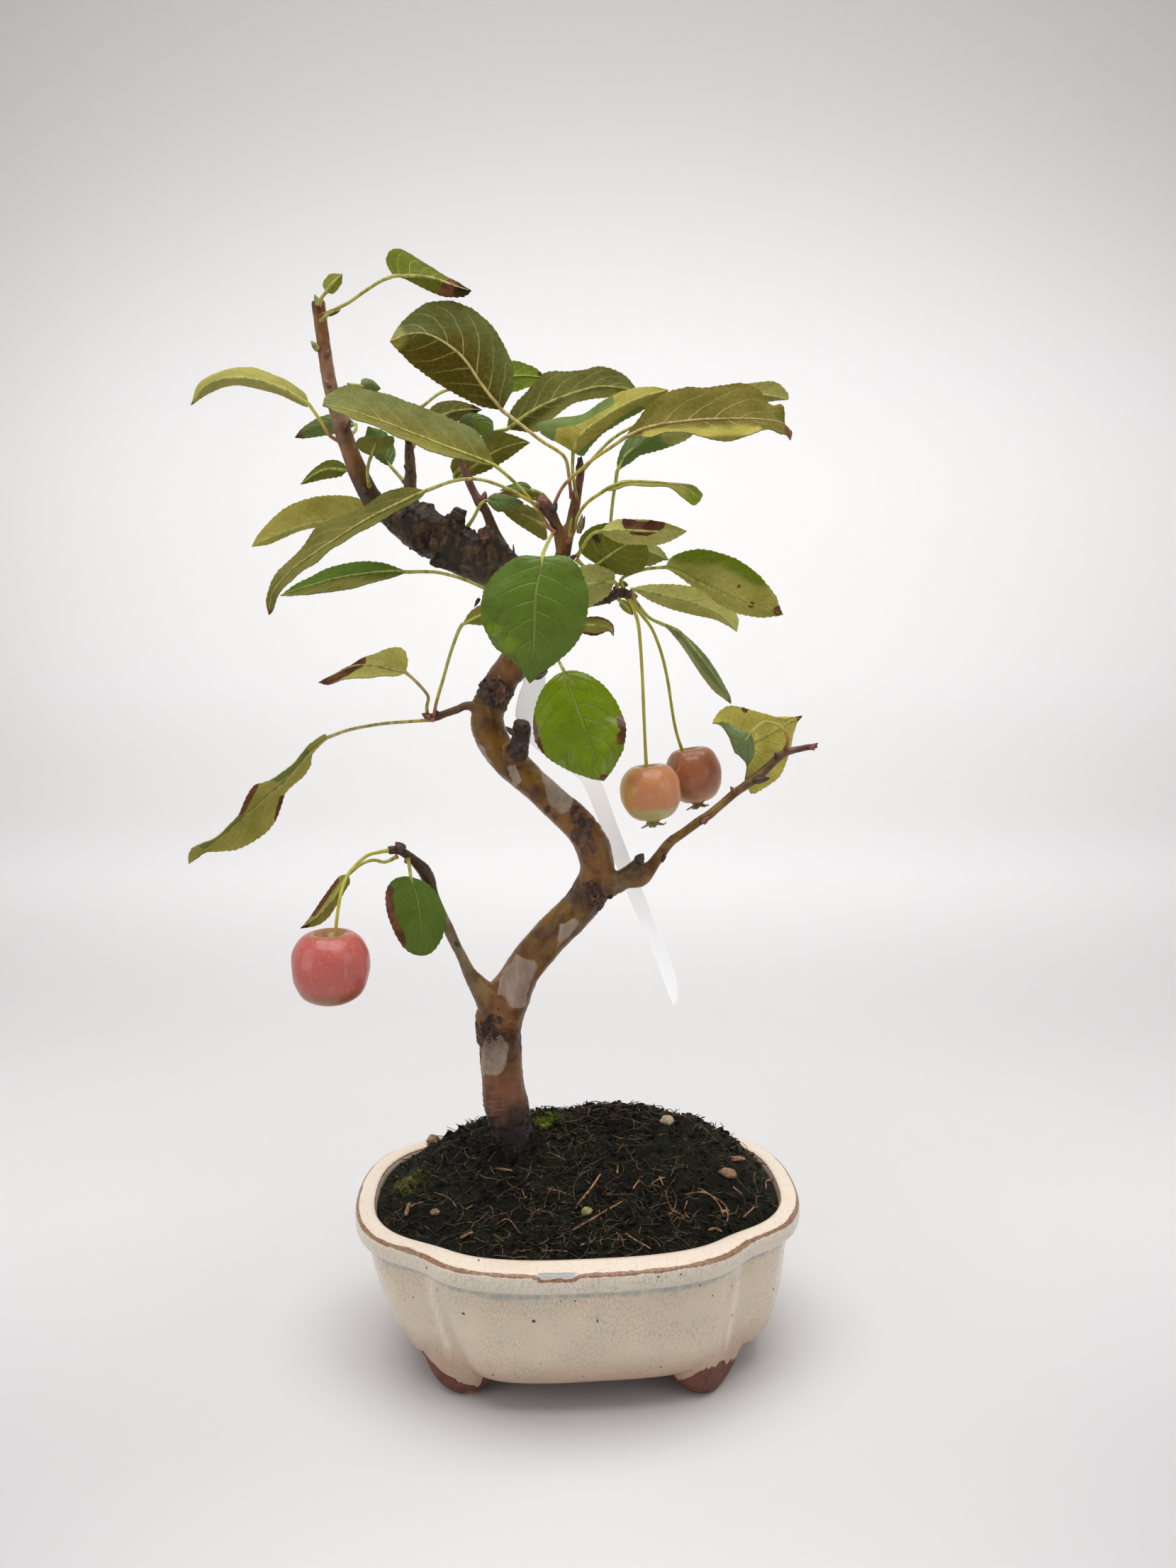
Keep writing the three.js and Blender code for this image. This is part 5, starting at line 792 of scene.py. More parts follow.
            (44.6, 220.9, 0), (45.6, 222.8, 2), (47.6, 225.3, 3), (51.4, 226.6, 4), (58.4, 225, 5),
            (68.9, 222.3, 6)],
        right=[(58.4, 215.2, -4.4), (58.6, 212.6, -4), (58.6, 209.8, -3.4), (57.9, 207.4, -2.8),
            (57.2, 206, -1.6), (56.5, 203.6, -0.6), (56, 200.9, 0.6), (57.4, 197.5, 2),
            (59.2, 196.8, 2.6), (64.9, 200, 4), (68.8, 204.4, 5), (71.2, 212.6, 5.6), (72.7, 219.9, 6)],
        folds=[[(57.6, 217.2, -5), (55.4, 216.8, -5.6), (51, 216.8, -4.6), (49.4, 218.6, -1),
            (50.5, 219.5, 2), (55, 219.6, 4), (63, 220.6, 5.4), (75, 223.2, 6)], [(57.6, 217.2, -5),
            (57, 213, -5.4), (55.8, 208.8, -4.4), (56.2, 208, -1), (58.5, 206.5, 2), (62.6, 209, 4),
            (68, 214.8, 5.6), (75, 223.2, 6)]],
        bow=(0, 0),
        look=dict(warm=0.85, pale=1.3, blush=0.3, strokes=[("burn", 2.4, (75, 223.2)), ("burn", 1.2,
            (55.5, 225.5))])),
    "leaf_upper_right": dict(
        stalk=[(9.2, 265.6, -1.6), (9.4, 276, 0), (10.1, 287.3, 1), (10.8, 294.3, 2), (11.7, 300, 2)],
        rib=[(12.2, 303.7, 2), (15, 309, 3), (21, 313, 4), (30, 316, 5), (38.5, 316.6, 6)],
        left=[(12.6, 308), (16, 314.6), (22, 318.6), (31, 320)],
        right=[(16.4, 306.4), (20, 308.8), (27, 310.6), (34, 313.2)], bow=(3, 3),
        look=dict(shows="upper", warm=0.6, pale=0.08, strokes=[("turned", 4, (30, 316), (38, 317)),
            ("pale", 5, (30, 316), (38, 317))])),
}

FRUITS = {
    "fruit_red": dict(
        middle=(-86.7, 135.8, -36), radius=12.3, half=11.2, lean=0, eye=False,
        stalk=[(-64.6, 177.2, -11.4), (-69, 176.4, -15), (-73, 175.3, -19), (-76.8, 172.2, -23),
            (-79.9, 168.5, -27), (-82, 163.6, -31), (-83.4, 157.6, -34), (-84.3, 151.6, -35.6),
            (-85, 145.4, -36)]),
    "fruit_orange": dict(
        middle=(24, 197, -8), radius=10.1, half=9.1, lean=0.1, eye=True,
        stalk=[(15.6, 262.8, -4.8), (17.2, 260, -6.6), (18.6, 256.8, -7.4), (19.5, 253.4, -7.4),
            (20.1, 247.6, -7.6), (20.7, 239.4, -8), (21.2, 230, -8), (21.8, 217, -8), (22.6, 204, -8)]),
    "fruit_brown": dict(
        middle=(38.5, 203, 14), radius=9.9, half=9.5, lean=0.16, eye=True,
        stalk=[(16.2, 262.6, -3), (18.2, 260, -0.8), (20.6, 256.8, 0.4), (23.8, 252.6, 2),
            (26.4, 246.6, 5), (28.2, 240.6, 7), (29.6, 234, 9), (30.6, 227.6, 11), (31.8, 220.6, 12.6),
            (33.4, 214.6, 13.6), (35.6, 209.4, 14)]),
}

# Half a fruit's outline from the stalk's pit to the eye, [radius, height] in shares of its own, and
# how it ends with an open eye and without one.
FRUIT_SECTION = [
    (0, 0.74), (0.12, 0.79), (0.3, 0.95), (0.55, 0.99), (0.8, 0.78), (0.96, 0.42), (1, 0.02),
    (0.93, -0.4), (0.74, -0.76), (0.5, -0.95), (0.3, -0.98),
]
EYE_SECTION = [(0.26, -1.03), (0.16, -1.08), (0, -1.04)]
NO_EYE_SECTION = [(0.16, -0.95), (0, -0.88)]

# The label's middle line from its tip to its loop: [x, z, depth, width].
LABEL = [
    (32.8, 122.4, 9, 1.4), (32, 127.6, 9, 3.6), (30, 134.4, 9, 4.6), (24.4, 149, 9, 5),
    (17.6, 165.6, 9, 5.4), (10.4, 184, 9, 5.8), (3.2, 202, 9, 6.2), (-6, 209.8, 9.4, 7),
    (-13.6, 216, 10, 8), (-17.6, 222.4, 10.6, 8.6), (-17, 228.6, 11, 8.4), (-15.4, 234, 11.2, 8),
    (-16.6, 240.6, 10.9, 7.4), (-19, 246.6, 10.1, 6),
]

# Stones, moss and a chip of bark: where on the soil, half their size each way, turn, and how far
# the middle stands above the soil.
STONES = {
    "stone_tan_back": dict(at=(-56, 26.5), radii=(2.5, 2.1, 2.3), turn=0.3, rise=1.5),
    "stone_crest": dict(at=(31.6, 14.4), radii=(2.6, 2.2, 2), turn=0, rise=1),
    "stone_right": dict(at=(50.7, -12), radii=(3.2, 2, 1.7), turn=-0.5, rise=0.8),
    "stone_left": dict(at=(-48.8, -22.4), radii=(1.5, 1.3, 1.1), turn=0.4, rise=0.7),
    "stone_yellow": dict(at=(2.3, -28), radii=(1.9, 1.7, 1.3), turn=0, rise=0.8),
    "moss_behind_trunk": dict(at=(-12.5, 20), radii=(6, 5, 2.6), turn=0.2, rise=0.9),
    "moss_left_rim": dict(at=(-59, -2), radii=(7.5, 6, 2), turn=1.2, rise=0.4),
    "bark_chip": dict(at=(54.5, -0.6), radii=(4, 1.2, 0.9), turn=0.1, rise=0.6),
}

# Bits of leaf that grow beside the main ones.
SMALL_BLADES = {
    "edge_on_leaf": dict(
        stalk=[(-10.4, 293, -5), (-12, 296, -5)],
        rib=[(-15.6, 297.6, -4), (-19, 298.8, -4), (-23, 298.6, -4), (-26.4, 297.4, -4)],
        left=[(-17, 299.4), (-19.4, 300.2), (-23.6, 299)], right=[(-17, 297), (-20, 297), (-24, 297.2)],
        bow=(1, -1), look=dict(shows="upper", pale=0.1, edge=0.1)),
    "teal_tip_behind": dict(
        stalk=[(-74.8, 331, 4), (-72.6, 331, 5)], rib=[(-71.6, 330.6, 6), (-68, 331, 7), (-65, 330, 7)],
        left=[(-71, 333), (-67.6, 332.6)], right=[(-70, 328.6), (-67, 328.6)], bow=(1, 1),
        look=dict(shows="upper", pale=0.7)),
    "hanging_pale_leaf": dict(
        stalk=[(12, 263.4, -5.6), (12.6, 262.4, -6.2)],
        rib=[(13, 261.8, -6.6), (15.6, 259.6, -7), (17.6, 256.8, -7)],
        left=[(15, 261.6), (17.4, 258.8)], right=[(13.4, 259.6), (15.6, 257.6)], bow=(1, 1),
        look=dict(warm=0.5, pale=0.9, fresh=0.3)),
    "teal_bit": dict(
        stalk=[(12, 266, -3), (12.4, 266.6, -2)],
        rib=[(12.6, 267, -2), (14.2, 267.4, -2), (16, 266.6, -2)], left=[(13.4, 268.2), (15, 267.8)],
        right=[(13.4, 266.2), (15, 266.2)], bow=(0.5, 0.5), look=dict(shows="upper", pale=0.8)),
    "stipule_low_right": dict(
        stalk=[(-3.2, 283.6, -8), (-3.2, 284.6, -8.6)],
        rib=[(-3.2, 285, -9), (-3, 287, -9.6), (-2.6, 289, -10)], left=[(-4, 286.6), (-3.6, 288.2)],
        right=[(-2.4, 286.6), (-2.2, 288.2)], bow=(0.5, 0.5), look=dict(warm=0.7, pale=0.5, fresh=0.4)),
    "stipule_leader": dict(
        stalk=[(-83.4, 351.6, -3), (-82.6, 352.4, -4)],
        rib=[(-82.2, 352.6, -4), (-79.6, 354, -5), (-77.4, 354.6, -5.6)],
        left=[(-80.8, 354.2), (-78.8, 354.8)], right=[(-80.6, 352.6), (-78.4, 353.6)], bow=(0.5, 0.5),
        look=dict(warm=0.9, pale=0.3, edge=0.4)),
}


# ---------------------------------------------------------------- finishes

VEIN_PAIRS = 7
VEIN_STAGGER = 0.45
PALE_REACH = 0.77


def vein_climb(apart):
    """How far along the blade a side vein has run at a share of the way from rib to margin."""
    return apart * 0.22 + apart ** 3 * 0.1


def leaf_face(name, is_upper):
    """Leaf tissue: warm, pale, fresh, burn, char, turned and wet are traits that each leaf carries."""
    paint = Paint(name)
    across, along = paint.lay()
    side = abs(across * 2 - 1)
    right = across.between(0.49, 0.51)
    broad = paint.noise(9)
    fine = paint.noise(0.7, detail=4)
    warm, fresh = paint.trait("warm"), paint.trait("fresh")
    # The pale trait is partly each leaf's own paleness and partly painted light: it is raised on leaves
    # that lie in shade and along a lit margin.
    pale = paint.trait("pale") * PALE_REACH

    rib = 1 - (side / (0.075 - along * 0.055)).between(0.35, 1)
    wave = (paint.noise(7) - 0.5) * 0.05
    phase = ((along - vein_climb(side) + wave) * VEIN_PAIRS + right * VEIN_STAGGER).wrapped()
    reach = 1 - side.between(0.72, 0.97)
    width = 0.074 - side * 0.034
    vein = (1 - (abs(phase - 0.5) / width).between(0.25, 1)) * reach
    net = 1 - paint.cells(2.1).between(0.0, 0.12)
    lines = rib.most(vein * 0.8).most(net * 0.14)
    pillow = abs(phase - 0.5) * reach * (0.5 - abs(side - 0.5))

    # The grey-green upper tone is partly the leaf's own colour and partly a painted sheen of the pale sky
    # on glossy upper faces; pale mixes it in.
    dark_top, teal_and_sheen_top, fresh_top = srgb(92, 128, 20), srgb(134, 154, 106), srgb(142, 164, 20)
    upper = paint.mix(paint.mix(dark_top, teal_and_sheen_top, pale), fresh_top, fresh)
    upper = paint.mix(upper, srgb(170, 184, 96), lines * 0.5)
    cool = paint.mix(srgb(82, 93, 38), srgb(202, 206, 142), pale)
    warmed = paint.mix(srgb(93, 76, 0), srgb(244, 224, 112), pale)
    under = paint.mix(paint.mix(cool, warmed, warm), srgb(118, 140, 22), fresh)
    under = paint.mix(under, srgb(226, 218, 150), lines * 0.7)
    under = paint.tinted(under, srgb(196, 200, 170), pillow * 1.6)
    turned = paint.trait("turned").between(0.4, 0.6)
    tissue = paint.mix(upper, under, turned if is_upper else 1 - turned)
    tissue = paint.tinted(tissue, srgb(222, 224, 200), broad.between(0.4, 0.75))
    tissue = paint.tinted(tissue, srgb(226, 230, 214), fine.between(0.42, 0.7))

    ragged = (paint.noise(3.2, detail=5, roughness=0.62) - 0.5) * 0.95
    burn = paint.trait("burn")
    burn = burn + ragged * burn.between(0.02, 0.3)
    scorched = paint.mix(srgb(142, 86, 66), srgb(92, 54, 43), paint.noise(3).between(0.35, 0.65))
    scorched = paint.mix(scorched, srgb(34, 26, 28), paint.trait("char"))
    rim = burn.between(0.36, 0.46) * (1 - burn.between(0.46, 0.6))
    tissue = paint.mix(tissue, scorched, burn.between(0.42, 0.52))
    tissue = paint.mix(tissue, srgb(96, 60, 34), rim * 0.6)

    lit_through = paint.mix(tissue, srgb(226, 218, 104), 0.4)
    if is_upper:
        height = pillow * 1.8 - rib.most(vein * 0.8) - fine * 0.12
        roughness = 0.36 - paint.trait("wet") * 0.2 + fine * 0.12
    else:
        height = lines * 0.9 - pillow * 0.5 + fine * 0.2
        roughness = 0.62 + fine * 0.15
    return paint.finish(tissue, roughness, height, depth=0.42, glow=lit_through, glow_share=0.36,
                        Specular_IOR_Level=0.5 if is_upper else 0.16)


def stalk_skin():
    """A leaf stalk: pink where it leaves the wood, yellow above, then the stalk's own tone."""
    paint = Paint("leaf_stalk")
    _, along = paint.lay()
    blush = paint.trait("blush")
    tan = paint.trait("tan")
    own = paint.mix(srgb(184, 188, 86), srgb(206, 174, 130), tan)
    streak = paint.noise(1.5, place=paint.stretched(1, 1, 0.3))
    yellow = paint.mix(srgb(196, 182, 66), own, (along / (blush * 1.6 + 0.02)).between(0.3, 1))
    tone = paint.mix(srgb(170, 100, 84), yellow, (along / (blush * 0.7 + 0.01)).between(0.1, 1))
    tone = paint.tinted(tone, srgb(188, 180, 150), streak.between(0.4, 0.7))
    return paint.finish(tone, 0.45, streak, depth=0.12, glow=tone, glow_share=0.12)


def bark():
    """Smooth olive bark, with the tone laid along each limb and patches, scars and scales."""
    paint = Paint("bark")
    tone = paint.node("Attribute", {"attribute_name": "tone"}, output="Color")
    grey = paint.trait("grey")
    scar = paint.trait("scar")
    gnarl = paint.trait("gnarl")
    broad = paint.noise(7, detail=4)
    fine = paint.noise(0.9, detail=5, roughness=0.65)
    grain = paint.noise(2.2, detail=5, place=paint.stretched(1, 1, 0.35), roughness=0.65)
    wood = paint.tinted(tone, srgb(176, 152, 122), broad.between(0.38, 0.68))
    wood = paint.mix(wood, srgb(168, 132, 84), grain.between(0.56, 0.8) * 0.35)
    wood = paint.tinted(wood, srgb(120, 104, 92), (1 - grain.between(0.26, 0.46)) * 0.6)
    specks = 1 - paint.cells(3.4, feature="F1").between(0.05, 0.12)
    wood = paint.mix(wood, srgb(170, 134, 98), specks * (1 - gnarl) * broad.between(0.4, 0.6) * 0.45)

    streaks = paint.noise(4, detail=5, place=paint.stretched(1, 1, 0.4), roughness=0.7)
    flake = (grey * 0.8 + (streaks - 0.5) * 1.2 + (fine - 0.5) * 0.2).between(0.34, 0.6)
    flake = flake * grey.between(0.02, 0.3)
    ash = paint.mix(srgb(142, 124, 108), srgb(176, 158, 142), streaks.between(0.3, 0.7))
    wood = paint.mix(wood, ash, flake * 0.82)

    crust = (gnarl + (fine - 0.5) * 0.4).between(0.3, 0.6)
    cracks = paint.trait("gap")
    flakes = paint.mix(srgb(66, 46, 26), srgb(126, 96, 60), grain.between(0.42, 0.72))
    flakes = paint.mix(flakes, srgb(84, 62, 22), broad.between(0.5, 0.62) * 0.8)
    flakes = paint.mix(flakes, srgb(24, 18, 15), (cracks * 0.9).most(1 - broad.between(0.28, 0.46)))
    wood = paint.mix(wood, flakes, crust)

    old = (scar + (fine - 0.5) * 0.6).between(0.4, 0.6)
    heart = paint.mix(srgb(40, 27, 21), srgb(120, 80, 56), grain.between(0.4, 0.66))
    wood = paint.mix(wood, heart, old)

    shine = paint.trait("shine")
    roughness = 0.46 - shine * 0.22 + old * 0.14 + crust * 0.1 + flake * 0.14 + (fine - 0.5) * 0.2
    height = fine * 0.4 + grain * (0.7 + crust + old) - cracks * crust * 0.6 + flake * 0.3
    return paint.finish(wood, roughness, height, depth=0.3, Specular_IOR_Level=0.4)


def bud_scale(name, base, tip):
    paint = Paint(name)
    fine = paint.noise(0.8, detail=4)
    tone = paint.mix(base, tip, paint.noise(1.6).between(0.4, 0.65))
    tone = paint.tinted(tone, srgb(150, 130, 120), fine.between(0.4, 0.7))
    return paint.finish(tone, 0.55, fine, depth=0.2)


def fruit_flesh(name, shaded, blush, low, bloom):
    """Crabapple skin: one flank blushed, the eye end paler, with fine dots and a waxy bloom."""
    paint = Paint(name)
    broad = paint.noise(8, detail=3)
    streaks = paint.noise(1.6, detail=5, place=paint.stretched(1, 1, 0.25))
    mottled = paint.noise(4.5, detail=4, roughness=0.65) - 0.5
    sunny = (paint.trait("flank") + (broad - 0.5) * 0.9 + mottled).between(0.2, 0.85)
    under = (paint.trait("low") + (broad - 0.5) * 0.35 + mottled * 0.5).between(0.2, 0.8)
    tone = paint.mix(paint.mix(shaded, blush, sunny), low, under)
    tone = paint.mix(tone, bloom, streaks.between(0.5, 0.82) * 0.55)
    dots = 1 - paint.cells(2.2, feature="F1").between(0.07, 0.13)
    tone = paint.mix(tone, srgb(226, 188, 140), dots * 0.35)
    tone = paint.mix(tone, srgb(138, 108, 50), paint.trait("russet").between(0.2, 0.9) * 0.7)
    wrinkles = 1 - abs(paint.noise(5, detail=3, twist=1.2) - 0.5).between(0, 0.05)
    height = streaks * 0.35 + broad * 0.8 - wrinkles * 0.25
    return paint.finish(tone, 0.3 + streaks * 0.25, height, depth=0.3, coat=0.3 + broad * 0.2)


def fruit_stalk_skin():
    paint = Paint("fruit_stalk")
    grain = paint.noise(1.6, detail=4, place=paint.stretched(1, 1, 0.2))
    tone = paint.mix(srgb(168, 158, 34), srgb(188, 182, 66), grain.between(0.35, 0.7))
    return paint.finish(tone, 0.42, grain, depth=0.1)


def dry_sepal():
    paint = Paint("dry_sepal")
    fine = paint.noise(0.9, detail=4)
    tone = paint.mix(srgb(134, 144, 104), srgb(190, 190, 152), fine.between(0.35, 0.65))
    return paint.finish(tone, 0.8, fine, depth=0.25)


def pot_glaze():
    """Cream glaze over a red-brown body: crackled, broken to brown on the edges of the rim,
    pooled blue under it and bare on the undersides of the feet."""
    paint = Paint("pot_glaze")
    x, y, z = paint.axes()
    cloud = paint.noise(30, detail=3)
    fine = paint.noise(1.2, detail=4)
    rim_top = paint.trait("rim_top")
    bare = paint.trait("bare")

    body = paint.mix(srgb(227, 208, 184), srgb(216, 201, 177), cloud.between(0.35, 0.65))
    drawn = paint.noise(5, detail=4, place=paint.stretched(1, 1, 0.18))
    body = paint.mix(body, srgb(212, 202, 182), drawn.between(0.45, 0.7) * 0.5)
    body = paint.mix(body, srgb(186, 148, 122), (1 - (z / 20).between(0.6, 1.3)) * 0.76)
    # A paler line along each crease between the lobes: partly thicker glaze, partly a painted highlight.
    body = paint.mix(body, srgb(244, 230, 212), paint.trait("fold") * 0.7)
    body = paint.mix(body, srgb(222, 212, 198), paint.trait("flange") * 0.7)
    body = paint.mix(body, srgb(240, 224, 204), rim_top)
    crackle = 1 - paint.cells(0.8, place=paint.stretched(1, 1, 0.3)).between(0.01, 0.12)
    crackle = crackle * (paint.noise(14, detail=3).between(0.35, 0.6) * 0.7 + 0.3)
    top_crackle = 1 - paint.cells(2.4, place=paint.stretched(0.8, 1, 1)).between(0.005, 0.06)
    body = paint.mix(body, srgb(132, 118, 98), crackle * (1 - rim_top) * 0.36)
    body = paint.mix(body, srgb(212, 182, 152), top_crackle * rim_top * 0.4)
    blue = (paint.trait("pool") + (paint.noise(3.4, detail=4) - 0.5) * 0.9).between(0.38, 0.9)
    body = paint.mix(body, srgb(132, 146, 150), blue * 0.8)
    iron = 1 - paint.cells(8, feature="F1").between(0.018, 0.04)
    body = paint.mix(body, srgb(84, 76, 64), iron * 0.6)
    broken = (paint.trait("edge") + (paint.noise(1.6, detail=4) - 0.5) * 0.7).between(0.42, 0.6)
    brown = paint.mix(srgb(128, 92, 66), srgb(164, 126, 98), fine.between(0.35, 0.65))
    body = paint.mix(body, brown, broken)
    clay = paint.mix(srgb(98, 57, 44), srgb(118, 72, 56), paint.noise(2.5, detail=4).between(0.35, 0.65))
    naked = (bare + (fine - 0.5) * 0.15).between(0.44, 0.56)
    rust = 1 - (((x + 36.6) / 2) ** 2 + ((z - 1.2) / 1.6) ** 2 + ((y + 33) / 5) ** 2).between(0.4, 1.3)
    body = paint.mix(paint.mix(body, clay, naked), srgb(196, 120, 48), rust)
    roughness = 0.22 + naked * 0.5 + broken * 0.2 + (cloud - 0.5) * 0.1 + rim_top * 0.12
    height = cloud * 2 + drawn * 0.25 + fine * 0.05 - crackle * 0.05 - naked * 0.6 - broken * 0.15
    return paint.finish(body, roughness, height, depth=0.35, coat=(1 - naked) * 0.25, coat_roughness=0.08)


def soil_crumb():
    """Damp dark soil: black peat, brown fibre dust and a thin green film of algae in places."""
    paint = Paint("soil")
    fine = paint.noise(0.8, detail=5, roughness=0.7)
    clod = paint.noise(3.2, detail=5, roughness=0.65)
    broad = paint.noise(24, detail=2)
    tone = paint.mix(srgb(9, 6, 4), srgb(40, 34, 24), fine.between(0.4, 0.7))
    tone = paint.mix(tone, srgb(38, 43, 20), broad.between(0.32, 0.56) * clod.between(0.36, 0.6) * 0.8)
    tone = paint.mix(tone, srgb(84, 64, 44), paint.noise(1.1, detail=3).between(0.68, 0.76) * 0.5)
    return paint.finish(tone, 0.8, fine + clod * 1.6, depth=1.1, Specular_IOR_Level=0.2)


def grain_of(name, dark, light, size=0.8, roughness=0.7, depth=0.3):
    """A plain natural finish: two tones mixed by noise, with its relief."""
    paint = Paint(name)
    fine = paint.noise(size, detail=5, roughness=0.65)
    tone = paint.mix(dark, light, fine.between(0.35, 0.68))
    return paint.finish(tone, roughness, fine, depth=depth)


def label_plastic():
    paint = Paint("label_plastic")
    haze = paint.noise(14, detail=3)
    scuffs = paint.noise(1.8, detail=4, place=paint.stretched(0.3, 1, 1))
    tone = paint.mix(srgb(252, 252, 253), srgb(244, 244, 247), haze.between(0.3, 0.7))
    # A faint white painted glow keeps the label as bright as the paper behind it.
    return paint.finish(tone, 0.32 + scuffs * 0.18, scuffs * 0.2 + haze, depth=0.12,
                        Emission_Color=(1, 1, 1), Emission_Strength=0.3)


MESH_PITCH = 1.6


def mesh_plastic():
    """Black drain mesh, drawn as a grid of strands."""
    paint = Paint("drain_mesh")
    x, y, _ = paint.axes()
    across, back = (abs((axis / MESH_PITCH).wrapped() - 0.5) for axis in (x, y))
    weave = across.most(back).between(0.2, 0.32)
    tone = paint.mix(srgb(14, 14, 14), srgb(44, 44, 42), weave)
    return paint.finish(tone, 0.6, weave, depth=0.4)


def studio_paper():
    """Pale paper with painted shade and a painted glow: darker on the floor than on the wall, dimmer up
    the wall and towards the corners, and lit up behind the tree and far off.
    """
    paint = Paint("studio_paper")
    x, y, z = paint.axes()
    haze = paint.noise(120, detail=3)
    rise = (z - 300) / 760
    middle = (x - 60) / 900
    out = (middle * middle + rise * rise) ** 0.5
    beside = 1 - abs(x).between(560, 1000)
    aside = abs(x).between(0, 260) * (1 - abs(x).between(270, 800))
    front = aside * (1 - y.between(-150, 110)) * (1 - z.between(5, 30))

    # Painted shade: the floor is darker than the wall, a band at the foot of the wall and the wall high
    # up and away from the tree are darker, and the floor dims towards its front corners.
    tone = paint.mix(srgb(226, 225, 225), srgb(229, 228, 228), haze)
    tone = paint.mix(tone, srgb(240, 239, 239), z.between(0, 60))
    tone = paint.mix(tone, srgb(232, 229, 230), z.between(40, 110) * (1 - z.between(120, 260)))
    tone = paint.mix(tone, srgb(204, 200, 201), z.between(360, 760) * beside)
    tone = paint.mix(tone, srgb(212, 208, 206), out.between(0.5, 1.1) * z.between(60, 300) * beside)
    tone = paint.mix(tone, srgb(194, 192, 193), front)

    # Painted glow: the wall behind the tree and the far reaches of the paper give off light.
    far = abs(x).between(400, 1500).most((0 - y).between(200, 1300))
    wall = (1 - out.between(0.05, 1.25)).most(0.12) * y.between(300, 640) * 0.2
    painted_glow = paint.mix((0, 0, 0), srgb(255, 253, 252), wall.most(far * 0.6))
    return paint.finish(tone, 0.75, Emission_Color=painted_glow, Emission_Strength=0.8)


# ---------------------------------------------------------------- leaves

LEAF_THICKNESS = 0.3
LEAF_STEP = 0.5
HALF_COLUMNS = 8
TOOTH_PITCH = 2.1
TOOTH_HEIGHT = 0.55
STALK_RADIUS = 0.55
TISSUE = ("warm", "pale", "fresh", "burn", "char", "turned", "wet")


def distance_to(front, ends):
    """How far each place on the front plane is from a line drawn through the ends."""
    nearest = np.full(front.shape[:-1], np.inf)
    for start, end in zip(ends, ends[1:]):
        way = end - start
        share = np.clip((front - start) @ way / max(way @ way, 1e-9), 0, 1)
        nearest = np.minimum(nearest, np.linalg.norm(front - start - share[..., None] * way, axis=-1))
    return nearest


def stroke(front, half_width, *places):
    """1 on a line drawn on the front plane, fading out from half its width."""
    ends = np.array(places if len(places) > 1 else places * 2, float)
    return 1 - smooth(half_width * 0.6, half_width * 1.25, distance_to(front, ends))


def margin(places, rib, bow):
    """A blade's margin from its foot to its tip; where it has no depth it bows from the rib's."""
    along = np.arange(1, len(places) + 1) / (len(places) + 1)
    depths = np.interp(along * (len(rib) - 1), range(len(rib)), [place[2] for place in rib])
    depths += bow * np.sin(math.pi * along)
    inner = [place if len(place) == 3 else (*place, depth) for place, depth in zip(places, depths)]
    return seen([rib[0], *inner, rib[-1]])


def grid_normals(grid):
    """The way that each point of a grid faces; the end rows copy their neighbours."""
    down, across = np.gradient(grid, axis=0), np.gradient(grid, axis=1)
    normals = np.cross(across, down)
    normals[0], normals[-1] = normals[1], normals[-2]
    return unit(normals)


def blade_grid(shape):
    """The middle sheet of a blade, rows from foot to tip, with its side and share of length."""
    rib = seen(shape["rib"])
    rows = max(12, round(length_of(through(rib, 40)) / LEAF_STEP))
    shares = np.linspace(0, 1, rows + 1)
    middle = through(rib, shares=shares)
    edges = [through(margin(shape[side], shape["rib"], bow), shares=shares)
             for side, bow in zip(("left", "right"), shape["bow"])]
    if "folds" in shape:
        halves = [through(seen(fold), shares=shares) for fold in shape["folds"]]
    else:
        halves = [(edge + middle) / 2 for edge in edges]
    t = np.sin(np.linspace(0, math.pi / 2, HALF_COLUMNS + 1))[None, :, None]
    sides = []
    for edge, half in zip(edges, halves):
        sides.append(middle[:, None] * (1 - 3 * t + 2 * t * t) + half[:, None] * (4 * t - 4 * t * t)
                     + edge[:, None] * (2 * t * t - t))
    grid = np.concatenate([sides[0][:, ::-1], sides[1][:, 1:]], axis=1)
    side = np.concatenate([-t[0, ::-1, 0], t[0, 1:, 0]])[None, :] * np.ones((rows + 1, 1))
    along = shares[:, None] * np.ones_like(side)
    normals = grid_normals(grid)
    facing = (normals * (VIEWPOINT - grid)).sum(-1)[2:-2].mean()
    if (facing < 0) != (shape["look"].get("shows") != "upper"):
        grid, normals, side = grid[:, ::-1], -normals[:, ::-1], side[:, ::-1]
    return grid, normals, side, along


